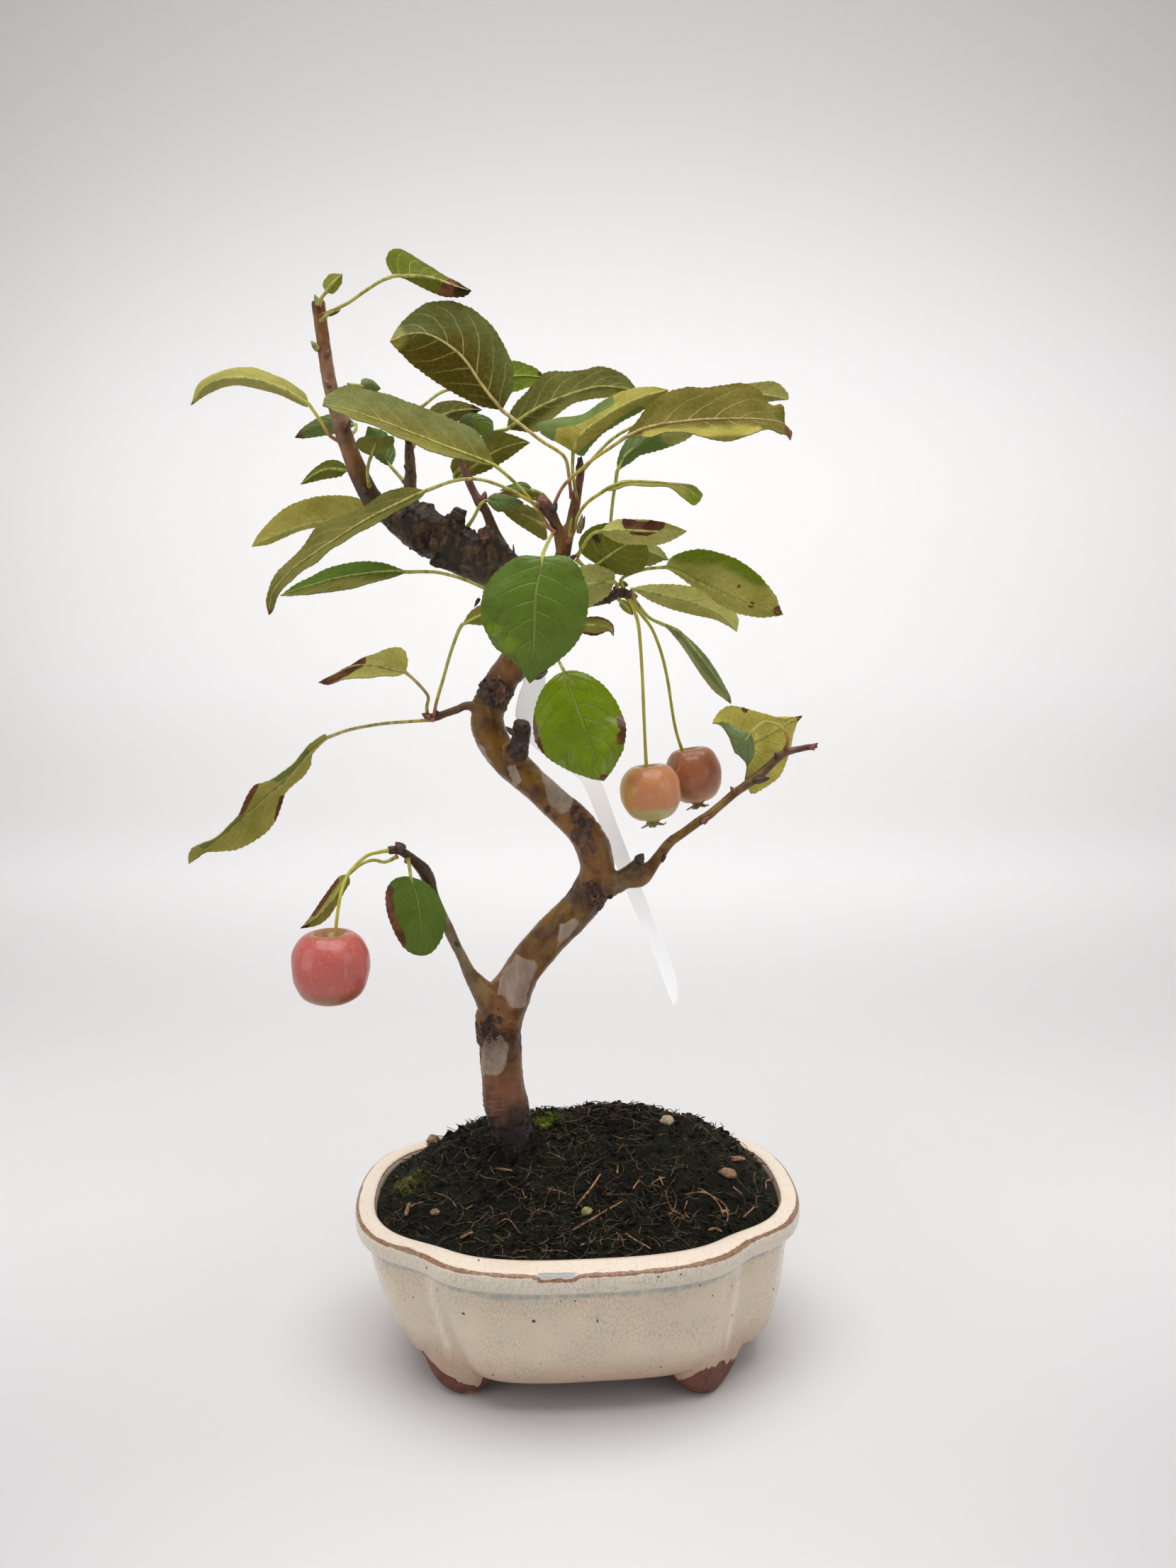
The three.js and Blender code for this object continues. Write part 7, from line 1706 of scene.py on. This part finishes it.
# [inset from the rim's outline, height, share of the lobes' creases, share of the rim's own
# width], from the underside, over the rim, to the floor inside
POT_WALL = [
    (34, 10.4, 0, 0), (24, 10.4, 0.2, 0), (18, 10.6, 0.6, 0), (15.5, 11.4, 0.9, 0), (13.4, 13, 1, 0),
    (11.8, 15.4, 1, 0), (10.6, 18, 1, 0), (9.6, 21, 1, 0), (8.4, 25, 1, 0), (7.3, 29, 1, 0),
    (6.2, 34, 1, 0), (5.4, 38, 1, 0), (4.8, 42, 1, 0), (4.3, 45.5, 1, 0), (4.1, 47.4, 0.9, 0),
    (3.9, 48.5, 0.7, 0), (3.3, 49.2, 0.5, 0), (2.3, 49.7, 0.3, 0), (1.2, 50.2, 0.1, 0),
    (0.45, 50.9, 0, 0), (0.1, 51.8, 0, 0), (0, 52.8, 0, 0), (0, 54.4, 0, 0), (0.1, 55.3, 0, 0),
    (0.4, 56, 0, 0), (0.9, 56.5, 0, 0), (1.6, 56.9, 0, 0), (2.6, POT_HEIGHT, 0, 0),
    (4, POT_HEIGHT, 0, 0.3), (6.4, POT_HEIGHT, 0, 0.8), (7.4, 56.8, 0, 1), (8, 56.3, 0, 1),
    (8.4, 55.4, 0, 1), (8.7, 52, 0.1, 1), (9, 48, 0.2, 1), (10.6, 36, 0.3, 1), (13, 25, 0.3, 1),
    (17.5, 17, 0.3, 0.6), (24, POT_FLOOR, 0.2, 0),
]
POT_CREASE = 1.7
POT_LEAN = 2.4
RIM_WIDTH = (-1.2, 2.1)


def folded_turn(turn):
    """A turn measured from the pot's own axis, folded into one quarter."""
    own = turn - POT_TURN
    return np.arctan2(np.abs(np.sin(own)), np.abs(np.cos(own)))


def rim_radius(turn):
    """Distance from the pot's centre to the rim's outline in the direction of the turn."""
    own = folded_turn(turn)
    wide = (np.cos(own) / POT_HALF_WIDTH) ** POT_SQUARENESS
    deep = (np.sin(own) / POT_HALF_DEPTH) ** POT_SQUARENESS
    return (wide + deep) ** (-1 / POT_SQUARENESS) - pinch(own) - np.cos(turn)


def pinch(own):
    """How far the outline draws in between two lobes."""
    return POT_PINCH * np.exp(-((own - POT_PINCH_ANGLE) / POT_PINCH_SPREAD) ** 2)


def rim_width(turn):
    """How much wider the rim's top is than on average: narrow at the ends, wide along the front."""
    low, high = RIM_WIDTH
    own = folded_turn(turn)
    return low + (high - low) * smooth(0.2, 0.75, own) - 0.55 * pinch(own)


def wall_ring(inset, height, crease=0.0, width=0.0):
    """One level of the pot's wall, drawn in at the creases between its lobes."""
    turn = np.linspace(0, 2 * math.pi, POT_SIDES + 1)
    off = folded_turn(turn) - POT_PINCH_ANGLE
    fold = POT_CREASE * np.exp(-(off / 0.11) ** 2) - 0.5 * np.exp(-(off / 0.3) ** 2)
    radius = np.maximum(rim_radius(turn) - inset - crease * fold - width * rim_width(turn), 0)
    lean = POT_LEAN * (1 - smooth(14, 46, height)) if inset > 0 else 0
    return ring(radius, turn, height) + [lean, 0, 0]


def footed(rows):
    """Draws the lower wall down into four rounded feet."""
    x, y, z = np.moveaxis(rows, -1, 0)
    out = np.hypot((np.abs(x - 1) - FOOT_CENTRE[0]) / FOOT_REACH[0],
                   (np.abs(y) - FOOT_CENTRE[1]) / FOOT_REACH[1])
    drop = np.maximum(1 - out ** 2, 0) ** 0.75 * (1 - smooth(13, 24, z))
    rows[..., 2] = np.maximum(z * (1 - 1.15 * drop), 0)
    return rows


def drilled(piece, x, y, radius):
    """Cuts a drain hole."""
    bpy.ops.object.select_all(action="DESELECT")
    bpy.ops.mesh.primitive_cylinder_add(vertices=48, radius=radius * MM, depth=40 * MM)
    cutter = bpy.context.object
    cutter.location = world((x, y, 10))
    bpy.ops.object.transform_apply(location=True)
    modified(piece, "BOOLEAN", operation="DIFFERENCE", object=cutter, solver="EXACT")
    bpy.data.objects.remove(cutter)


def pot_wander(turn, size, seed):
    """A slow wander round the rim, for edges that no hand draws straight."""
    around = np.stack([np.cos(turn), np.sin(turn), np.zeros_like(turn)], axis=-1) * 70
    return rough(around, size, 2, seed)


def pot_rows(wall, step):
    """The wall's levels, with more between them so that none lie further apart than the step."""
    rows = []
    for start, end in zip(wall, wall[1:]):
        steps = max(1, round(math.hypot(end[0] - start[0], end[1] - start[1]) / step))
        rows += [wall_ring(*(start + (end - start) * k / steps)) for k in range(steps)]
    return rows


# The lower edge of the glaze on the two front feet, on the front plane.
BARE_RIGHT = [
    (30, -19.4), (32, -19), (37.3, -18.2), (40.3, -16.8), (43.7, -14.5), (46, -13.9), (47.5, -13.5),
    (50.5, -12.1), (53.4, -11.2), (57, -9.9), (60, -9),
]
BARE_LEFT = [
    (-58, -6), (-54.2, -11.2), (-52, -13.8), (-49, -16), (-46, -18.2), (-42.5, -20), (-39, -20.6),
    (-36, -22),
]


def make_pot():
    """The pot, and where on it the glaze pools, breaks or is missing."""
    wall = np.array(POT_WALL)
    under = footed(np.array([wall_ring(0, wall[0][1]) * [0, 0, 1], *pot_rows(wall[:12], 1.3)]))
    over = [*pot_rows(wall[11:], 2.2), wall_ring(*wall[-1]), wall_ring(0, POT_FLOOR) * [0, 0, 1]]
    body = skin("glazed_pot", np.concatenate([under, over]))
    for side in (-1, 1):
        drilled(body, side * DRAIN_HOLE[0], 0, DRAIN_HOLE[1])
    points = points_of(body)
    x, y, z = points.T
    turn = np.arctan2(y, x)
    inset = rim_radius(turn) - np.hypot(x, y)
    front = on_front(points)
    near = y < 0
    # A drip of glaze hangs over the front of the rim, left of the middle.
    drip = smooth(-14.5, -11.5, x) * (1 - smooth(-2.5, 1.5, x)) * near
    thick = 1 + 0.35 * pot_wander(turn, 9, 3)
    apart = np.hypot(inset - 0.75 + drip * 0.7, z - 56.6 + drip * 1.2)
    outer_edge = 1 - smooth(0.35, 1.15, apart / (thick - 0.3 * drip))
    inner = inset - rim_width(turn)
    thin = 1 + 0.3 * pot_wander(turn, 9, 5)
    inner_edge = 1 - smooth(0.2, 0.8, np.hypot(inner - 7.9, z - 56.3) / thin)
    # The glaze pools under the flange and the rim, in the drip and in a patch at the left.
    pool = 0.85 * np.exp(-((z - 48) / 1.2) ** 2) * (inset < 7)
    pool = np.maximum(pool, 0.5 * np.exp(-((z - 51) / 0.7) ** 2) * (inset < 2))
    pool = np.maximum(pool, 0.3 * np.exp(-((z - 45) / 3) ** 2) * (inset < 7))
    pool = np.maximum(pool, drip * np.exp(-(np.hypot(inset - 1.2, z - 56.6) / 0.9) ** 2) * 1.3)
    patch = np.exp(-((x + 55) / 5) ** 2) * near
    pool = np.maximum(pool, patch * np.exp(-(np.hypot(inset - 0.9, z - 56.4) / 1.1) ** 2) * 1.4)
    pool = np.maximum(pool, 0.4 * np.exp(-((z - 55) / 1.6) ** 2) * (inset < 1))
    # The underside and the ends of the feet were wiped bare.
    bare = np.maximum(1 - smooth(0.5, 1.6, z), (z < 30) * (inset > 19) * 1.0)
    bare = np.maximum(bare, (1 - smooth(4.4, 6.8, z + 1.4 * thick)) * (y > 0))
    for edge, side in ((BARE_LEFT, -1), (BARE_RIGHT, 1)):
        below = np.interp(front[:, 0], *zip(*edge)) - front[:, 1]
        within_reach = (front[:, 0] > edge[0][0]) & (front[:, 0] < edge[-1][0]) & (y < -8) & (z < 30)
        bare = np.maximum(bare, smooth(-1.4, 1.4, below) * within_reach)
    # The paler line along each crease is partly thicker glaze and partly a painted highlight.
    fold = np.exp(-((folded_turn(turn) - POT_PINCH_ANGLE) / 0.02) ** 2) * smooth(14, 20, z)
    traits = dict(rim_top=smooth(56.2, 56.7, z) * smooth(0.4, 1.4, inset),
                  edge=np.maximum(outer_edge, inner_edge * 0.8), pool=pool, bare=bare,
                  flange=smooth(48.6, 50, z) * (inset < 3), fold=fold * (inset > 3.4))
    for key, values in traits.items():
        carry(body, key, values)
    return body


def struck(piece, x, z):
    """Where the line of sight through a place on the front plane meets a piece, and its face's way."""
    target = Vector(world(seen([(x, z)])[0]))
    start = Vector(world(VIEWPOINT))
    _, place, facing, _ = piece.ray_cast(start, (target - start).normalized())
    return (np.array(place) - POT_MIDDLE) / MM, np.array(facing)


# Specks of iron in the glaze, on the front plane, with their radii.
GLAZE_SPECKS = [
    (-42.4, 7.4, 0.65, 0.4), (-60.4, 13.7, 0.3, 0.3), (-51.6, 16.6, 0.4, 0.25), (-17, 4.5, 0.6, 0.6),
    (6, 4.6, 0.3, 0.8), (-2, 12.3, 0.3, 0.3), (-7.3, 12.2, 0.3, 0.22), (28, 21.5, 0.32, 0.32),
    (36, 22.4, 0.32, 0.25), (43, 18.3, 0.35, 0.3), (47.5, 14.3, 0.3, 0.35), (54.5, 6.7, 0.5, 0.35),
    (29, -13.3, 0.3, 0.35), (-14.6, -12, 0.25, 0.25), (-55.4, 25, 0.3, 0.35), (54.4, 18, 0.25, 0.6),
    (69.4, 16.8, 0.3, 0.3), (-34.5, 29, 0.3, 0.7), (-36.6, 27.8, 0.3, 0.6), (1, -17, 0.3, 0.2),
    (-32, -16.4, 0.3, 0.6),
]


def glaze_specks(pot):
    pieces = []
    for number, (x, z, across, along) in enumerate(GLAZE_SPECKS):
        place, facing = struck(pot, x, z)
        dot = lump("speck", (0, 0, 0), (across, along, 0.12), faces=2, bumps=0.3, seed=number)
        spin = np.array(Vector(facing).to_track_quat("Z", "Y").to_matrix())
        pieces.append(move_points(dot, points_of(dot) @ spin.T + place))
    return joined("glaze_specks", pieces)


glazed_pot = make_pot()


# ---------------------------------------------------------------- soil, stones and moss

SOIL_SIDES = 180
SOIL_ROWS = 65
# [inset from the soil's outline, height] down its hidden side
SOIL_SIDE = ((1, 48), (2.6, 36), (5.2, 25.5), (10, 17.5), (18, POT_FLOOR + GAP))
CRUMBS, PEAT_CURLS, FIBRE_CURLS, LONG_FIBRES, MOSS_SHOOTS = 1500, 1500, 420, 170, 620


def soil_reach(turn):
    """How far the soil spreads in the direction of the turn."""
    return rim_radius(turn) - SOIL_INSET - rim_width(turn)


def soil_height(x, y):
    """The smooth crown of the soil, higher behind and to the right."""
    out = np.minimum(np.hypot(x, y) / soil_reach(np.arctan2(y, x)), 1)
    middle, right, back = SOIL_CROWN
    return SOIL_EDGE + (middle + right * x + back * y) * (1 - out ** 4)


def ground(x, y):
    """The lumpy top of the soil."""
    x, y = np.asarray(x, float), np.asarray(y, float)
    flat = np.stack([x, y, np.zeros_like(x)], axis=-1)
    lumps = rough(flat, 11, 2, 4) * 1.3 + rough(flat, 4, 3, 6) * 1.1
    mound = 3.6 * np.exp(-((x + 21) / 19) ** 2 - ((y + 1) / 15) ** 2)
    mound += 3.4 * np.exp(-((x + 40) / 17) ** 2 - ((y - 29) / 14) ** 2)
    edge = np.hypot(x, y) / soil_reach(np.arctan2(y, x))
    return soil_height(x, y) + mound + lumps * (1 - smooth(0.86, 1, edge) * 0.7)


def soil_ball():
    """The soil as one closed ball, from its lumpy top to the pot's floor."""
    turn = np.linspace(0, 2 * math.pi, SOIL_SIDES + 1)
    reach = soil_reach(turn) - 0.5
    rings = []
    for share in np.linspace(0, 1, SOIL_ROWS + 1):
        x, y = reach * share * np.cos(turn), reach * share * np.sin(turn)
        rings.append(np.stack([x, y, ground(x, y)], axis=-1))
    rings += [ring(soil_reach(turn) - inset, turn, z) for inset, z in SOIL_SIDE]
    rings.append(ring(0, turn, POT_FLOOR + GAP))
    rings = np.array(rings)
    rings[:, -1] = rings[:, 0]
    return skin("soil_ball", rings)


def lump(name, middle, radii, turn=0.0, faces=1, bumps=0.2, seed=0):
    """A pebble or crumb: a ball pulled to its radii, turned and made uneven."""
    bpy.ops.object.select_all(action="DESELECT")
    bpy.ops.mesh.primitive_ico_sphere_add(subdivisions=faces, radius=1)
    piece = bpy.context.object
    piece.name = piece.data.name = name
    flat = held_by(piece, "co")
    flat = flat * (1 + bumps * rough(flat, 0.9, 2, seed))[:, None] * radii
    spin = np.array(Matrix.Rotation(turn, 3, "Z"))
    return move_points(piece, flat @ spin.T + middle)


def scattered(count):
    """Random places on the soil inside the rim."""
    turns = [random.uniform(-math.pi, math.pi) for _ in range(count)]
    shares = [math.sqrt(random.uniform(0, 0.97)) for _ in range(count)]
    radii = (soil_reach(np.array(turns)) - 1.2) * shares
    return list(zip(radii * np.cos(turns), radii * np.sin(turns)))


def copies(name, sources, placed):
    """Copies of a few small shapes by turns, each moved, turned and sized, as one piece."""
    shapes = [(points_of(source), [tuple(face.vertices) for face in source.data.polygons])
              for source in sources]
    points, polygons, start = [], [], 0
    for number, (middle, size, turn) in enumerate(placed):
        flat, faces = shapes[number % len(shapes)]
        spin = np.array(Matrix.Rotation(turn[1], 3, "Z") @ Matrix.Rotation(turn[0], 3, "X"))
        points.append(flat * size @ spin.T + middle)
        polygons += [tuple(start + v for v in face) for face in faces]
        start += len(flat)
    mesh = bpy.data.meshes.new(name)
    mesh.from_pydata(world(np.concatenate(points)).tolist(), [], polygons)
    piece = bpy.data.objects.new(name, mesh)
    bpy.context.scene.collection.objects.link(piece)
    for source in sources:
        bpy.data.objects.remove(source)
    return piece


def soil_crumbs():
    """Crumbs of soil of all sizes."""
    places = scattered(CRUMBS)
    heights = ground(*zip(*places))
    placed = []
    for (x, y), z in zip(places, heights):
        size = np.array([random.uniform(0.3, 1) for _ in range(3)]) * random.choice((0.7, 1, 1, 1.6))
        placed.append(((x, y, z + 0.25), size, (random.uniform(0, 6), random.uniform(0, 6))))
    return copies("soil_crumbs", [lump("crumb", (0, 0, 0), (1, 1, 1), bumps=0.35, seed=3)], placed)


def curls(name, count, reach, radius, rise):
    """Short curled fibres strewn over the soil."""
    shapes = []
    for _ in range(6):
        way, bend, points = 0.0, random.uniform(-1.6, 1.6), [np.zeros(3)]
        for _ in range(4):
            way += bend / 3 + random.uniform(-0.4, 0.4)
            step = [math.cos(way) / 4, math.sin(way) / 4, random.uniform(-0.05, 0.07)]
            points.append(points[-1] + step)
        line = through(points, 5)
        shapes.append(stem("curl", line - line.mean(0), np.full(6, radius / reach[1]), 4))
    places = scattered(count)
    heights = ground(*zip(*places))
    placed = []
    for (x, y), z in zip(places, heights):
        tilt = (random.gauss(0, 0.35), random.uniform(0, 2 * math.pi))
        placed.append(((x, y, z + rise * (0.4 + random.random())), random.uniform(*reach), tilt))
    return copies(name, shapes, placed)


def fibre(points, radius):
    line = through(np.array(points), 7)
    t = np.linspace(0, 1, 8)
    return stem("fibre", line, radius * (1 - 0.5 * t) + 0.02, 5)


def long_fibres(count):
    """Root fibres that run over the soil, kept inside the rim."""
    pieces = []
    shares = np.arange(4) / 3
    for x, y in scattered(count):
        way, length = random.uniform(0, 2 * math.pi), random.uniform(5, 14)
        turns = way + random.uniform(-1.4, 1.4) * shares
        px, py = x + np.cos(turns) * length * shares, y + np.sin(turns) * length * shares
        edge = np.maximum(np.hypot(px, py) / (soil_reach(np.arctan2(py, px)) - 1), 1)
        px, py = px / edge, py / edge
        rise = [0.35 + 1.8 * random.random() ** 3 for _ in range(4)]
        points = np.column_stack([px, py, ground(px, py) + rise])
        pieces.append(fibre(points, random.uniform(0.08, 0.18)))
    return joined("long_fibres", pieces)


# Straws and twigs lying on the soil, as seen on the front plane, with their radius.
TWIGS = [
    ([(-3, 45), (0, 49.5), (3.5, 54), (7, 59.5)], 0.5),
    ([(-3, 38.5), (2, 41.5), (8, 45.3), (15, 49.5)], 0.38), ([(15, 38), (19.5, 35), (25, 31.6)], 0.32),
    ([(-20, 50.5), (-17, 54), (-13.5, 59.5)], 0.22), ([(-22, 58), (-20.5, 53), (-19.5, 49.5)], 0.2),
    ([(-30, 62), (-26, 61.4), (-24, 60.8)], 0.32), ([(-12, 68), (-8, 66.5), (-5.5, 65)], 0.25),
    ([(25, 56), (28, 58), (30, 58.5)], 0.3), ([(28, 59), (29.5, 55), (30.5, 52)], 0.3),
    ([(18.5, 54), (20.5, 57), (22, 59)], 0.36), ([(-18, 44.5), (-15, 46.5), (-12, 47.8)], 0.26),
    ([(-30, 41), (-26, 43), (-22, 38), (-20, 35)], 0.2), ([(-12, 54.5), (-6, 53), (-1, 50.5)], 0.2),
    ([(13, 60), (13.2, 63.5)], 0.36), ([(6.5, 46.5), (7.5, 42), (9, 38)], 0.2),
    ([(0, 33), (4, 34.5), (5.5, 36)], 0.3), ([(-14, 30.8), (-8, 31), (-4, 30.6)], 0.22),
    ([(-61.5, 47), (-59, 48.4), (-56, 49.3)], 0.32), ([(-62.4, 44), (-61, 48.4)], 0.75),
    ([(-41, 46.5), (-38.5, 48)], 0.3), ([(-43, 35.4), (-40, 37), (-38.5, 37.5)], 0.55),
    ([(37, 52), (42, 53), (46, 52), (49.5, 48), (51, 44)], 0.3),
    ([(42, 54.5), (46, 52), (51.5, 48), (52.5, 43), (51, 40)], 0.32),
    ([(45.5, 38.5), (48, 39), (50.5, 38)], 0.5), ([(50, 45.5), (53, 46)], 0.45),
    ([(58, 43.5), (60.5, 46), (62, 47.5)], 0.36), ([(54, 55), (57.5, 52)], 0.42),
    ([(66, 54), (66, 57), (69, 58)], 0.34), ([(38, 50), (37, 46), (39, 43)], 0.2),
    ([(30, 44), (34, 46), (37, 43)], 0.22), ([(-52, 53), (-47, 51), (-44, 47)], 0.2),
]


def on_soil(x, z):
    """The point of the soil that is seen at a place on the front plane."""
    target = seen([(x, z, 0)])[0]
    way = unit(target - VIEWPOINT)
    reach = np.linspace(300, 480, 361)
    points = VIEWPOINT + way * reach[:, None]
    under = points[:, 2] < ground(points[:, 0], points[:, 1])
    return points[under.argmax()] if under.any() else points[180]


def soil_twigs():
    pieces = []
    for places, radius in TWIGS:
        points = [on_soil(*place) + [0, 0, radius + 0.25] for place in places]
        line = through(np.array(points), 14)
        radii = radius * (1 + 0.25 * rough(line, 2, seed=radius)) * np.interp(
            np.linspace(0, 1, 15), [0, 0.1, 0.9, 1], [0.6, 1, 0.9, 0.5])
        pieces.append(stem("twig", line, radii, 7))
    return joined("soil_twigs", pieces)


def stone(name, at, radii, turn, rise):
    """A stone or chip, half sunk in the soil."""
    x, y = at
    middle = (x, y, float(ground(x, y)) + rise)
    return lump(name + "_shape", middle, radii, turn, faces=5, bumps=0.16, seed=len(name))


def moss(name, at, radii, turn, rise):
    """A moss cushion: a low uneven mat of short leafy shoots."""
    x, y = at
    middle = np.array([x, y, float(ground(x, y)) + rise - 0.9])
    core = np.array(radii) * [0.8, 0.8, 0.6]
    cushion = lump(name + "_shape", middle, core, turn, faces=4, bumps=0.5, seed=5)
    spin = np.array(Matrix.Rotation(turn, 3, "Z"))
    shoots = []
    for _ in range(MOSS_SHOOTS):
        along = random.uniform(0, 2 * math.pi)
        out = random.random() ** 0.6 * random.choice((0.7, 1, 1.15))
        place = spin @ [math.cos(along) * out * radii[0], math.sin(along) * out * radii[1], 0]
        px, py = x + place[0], y + place[1]
        height = max(float(ground(px, py)), middle[2] + radii[2] * 0.55 * (1 - out)) - 0.1
        size = np.array([0.42, 0.42, 1.3]) * random.uniform(0.5, 1.2)
        shoots.append(((px, py, height), size, (random.gauss(0, 0.5), random.uniform(0, 6))))
    bpy.ops.object.select_all(action="DESELECT")
    bpy.ops.mesh.primitive_cone_add(vertices=5, radius1=0.5 * MM, depth=1 * MM)
    cone = bpy.context.object
    move_points(cone, points_of(cone) + POT_MIDDLE / MM + [0, 0, 0.4])
    return joined(name + "_shape", [cushion, copies("shoots", [cone], shoots)])


dressed(glazed_pot, [pot_glaze()], ["pot"], angle=42)
IRON = grain_of("iron_speck", srgb(60, 54, 46), srgb(92, 88, 82))
dressed(glaze_specks(glazed_pot), [IRON])
DRAIN_MESH = mesh_plastic()
for name in ("drain_screen_left", "drain_screen_right"):
    screen = frame["nodes"][name]
    screen.data.materials.clear()
    screen.data.materials.append(DRAIN_MESH)
STRAW = grain_of("straw", srgb(96, 66, 42), srgb(176, 132, 90), 2.5)
FIBRE = grain_of("root_fibre", srgb(38, 29, 18), srgb(132, 104, 66), 3)
PEAT = grain_of("peat_fibre", srgb(16, 13, 8), srgb(62, 52, 32), 3)
dressed(joined("soil_surface", [soil_ball(), soil_crumbs()]), [soil_crumb()], ["soil"], angle=30)
dressed(curls("peat_curls", PEAT_CURLS, (2.5, 7), 0.19, 0.35), [PEAT], angle=60)
fibres = [curls("fibre_curls", FIBRE_CURLS, (3, 9), 0.15, 0.5), long_fibres(LONG_FIBRES)]
dressed(joined("fibres", fibres), [FIBRE], angle=60)
dressed(soil_twigs(), [STRAW], angle=60)
# The dark and the light tone of each stone, moss cushion and chip.
STONE_FINISHES = {
    "stone_tan_back": (srgb(122, 92, 66), srgb(186, 150, 112)),
    "stone_crest": (srgb(150, 130, 104), srgb(204, 186, 158)),
    "stone_right": (srgb(118, 90, 62), srgb(168, 134, 98)),
    "stone_left": (srgb(128, 98, 74), srgb(184, 150, 118)),
    "stone_yellow": (srgb(120, 110, 62), srgb(176, 164, 106)),
    "moss_behind_trunk": (srgb(66, 80, 10), srgb(140, 158, 24)),
    "moss_left_rim": (srgb(62, 68, 18), srgb(124, 124, 36)),
    "bark_chip": (srgb(118, 78, 54), srgb(188, 134, 98)),
}
for name, shape in STONES.items():
    is_moss = name.startswith("moss")
    piece = moss(name, **shape) if is_moss else stone(name, **shape)
    finish = grain_of(name + "_finish", *STONE_FINISHES[name], size=0.9 if is_moss else 1.4)
    slot = "moss" if is_moss else "chip" if name == "bark_chip" else "pebble"
    dressed(piece, [finish], [name], angle=50)


# ---------------------------------------------------------------- stage, light and camera

PAPER_REACH = 2400
PAPER_TOP = 1900
# [y, z] from the front edge of the floor to the top of the wall
PAPER_SWEEP = [(-PAPER_REACH, 0), (-400, 0), (0, 0), (320, 0), (430, 8), (540, 46), (610, 130),
               (636, 240), (640, 420), (640, PAPER_TOP)]


def stage_sheet():
    """The floor, swept up into the wall behind."""
    line = through(np.array([(0, y, z) for y, z in PAPER_SWEEP], float), 120)
    across = np.linspace(-PAPER_REACH, PAPER_REACH, 9)
    grid = np.array([[(x, y, min(max(z, 0), PAPER_TOP)) for x in across] for _, y, z in line])
    sheet = skin("studio_sheet", grid, closed=False)
    alone(sheet)
    bpy.ops.object.shade_smooth()
    sheet.data.materials.append(studio_paper())


def soft_light(name, place, aim, width, height, power):
    """A soft box, aimed at a place."""
    lamp = bpy.data.objects.new(name, bpy.data.lights.new(name, "AREA"))
    lamp.data.shape = "RECTANGLE"
    lamp.data.size, lamp.data.size_y = width * MM, height * MM
    lamp.data.energy = power
    lamp.location = world(place)
    lamp.visible_camera = False
    way = Vector(world(aim) - world(place))
    lamp.rotation_euler = way.to_track_quat("-Z", "Y").to_euler()
    bpy.context.scene.collection.objects.link(lamp)


stage_sheet()
soft_light("top_box", (0, -120, 900), (0, 0, 120), 900, 700, 7.3)
soft_light("left_box", (-700, -420, 420), (0, 0, 160), 500, 600, 1.5)
soft_light("right_box", (700, -380, 420), (0, 0, 160), 500, 600, 1.1)

sky = bpy.data.worlds.new("soft_room")
sky.use_nodes = True
room = sky.node_tree.nodes
room["Background"].inputs["Color"].default_value = (1, 0.995, 0.99, 1)
room["Background"].inputs["Strength"].default_value = 0.2
# The camera sees a paler wall than the one that lights the tree.
far_wall = room.new("ShaderNodeBackground")
far_wall.inputs["Color"].default_value = (0.8, 0.795, 0.79, 1)
looked_at, either = room.new("ShaderNodeLightPath"), room.new("ShaderNodeMixShader")
for start, end in ((looked_at.outputs["Is Camera Ray"], either.inputs[0]),
                   (room["Background"].outputs[0], either.inputs[1]),
                   (far_wall.outputs[0], either.inputs[2]),
                   (either.outputs[0], room["World Output"].inputs[0])):
    sky.node_tree.links.new(start, end)
bpy.context.scene.world = sky
bpy.context.scene.view_settings.view_transform = "Standard"

CAMERA_TILT = 83
CAMERA_LENS = 26.04
SENSOR_WIDTH = 36
camera = bpy.data.objects.new("camera", bpy.data.cameras.new("camera"))
camera.data.lens = CAMERA_LENS
camera.data.sensor_width = SENSOR_WIDTH
camera.data.clip_start = 0.01
camera.location = world(VIEWPOINT)
camera.rotation_euler = (math.radians(CAMERA_TILT), 0, 0)
bpy.context.scene.collection.objects.link(camera)
bpy.context.scene.camera = camera
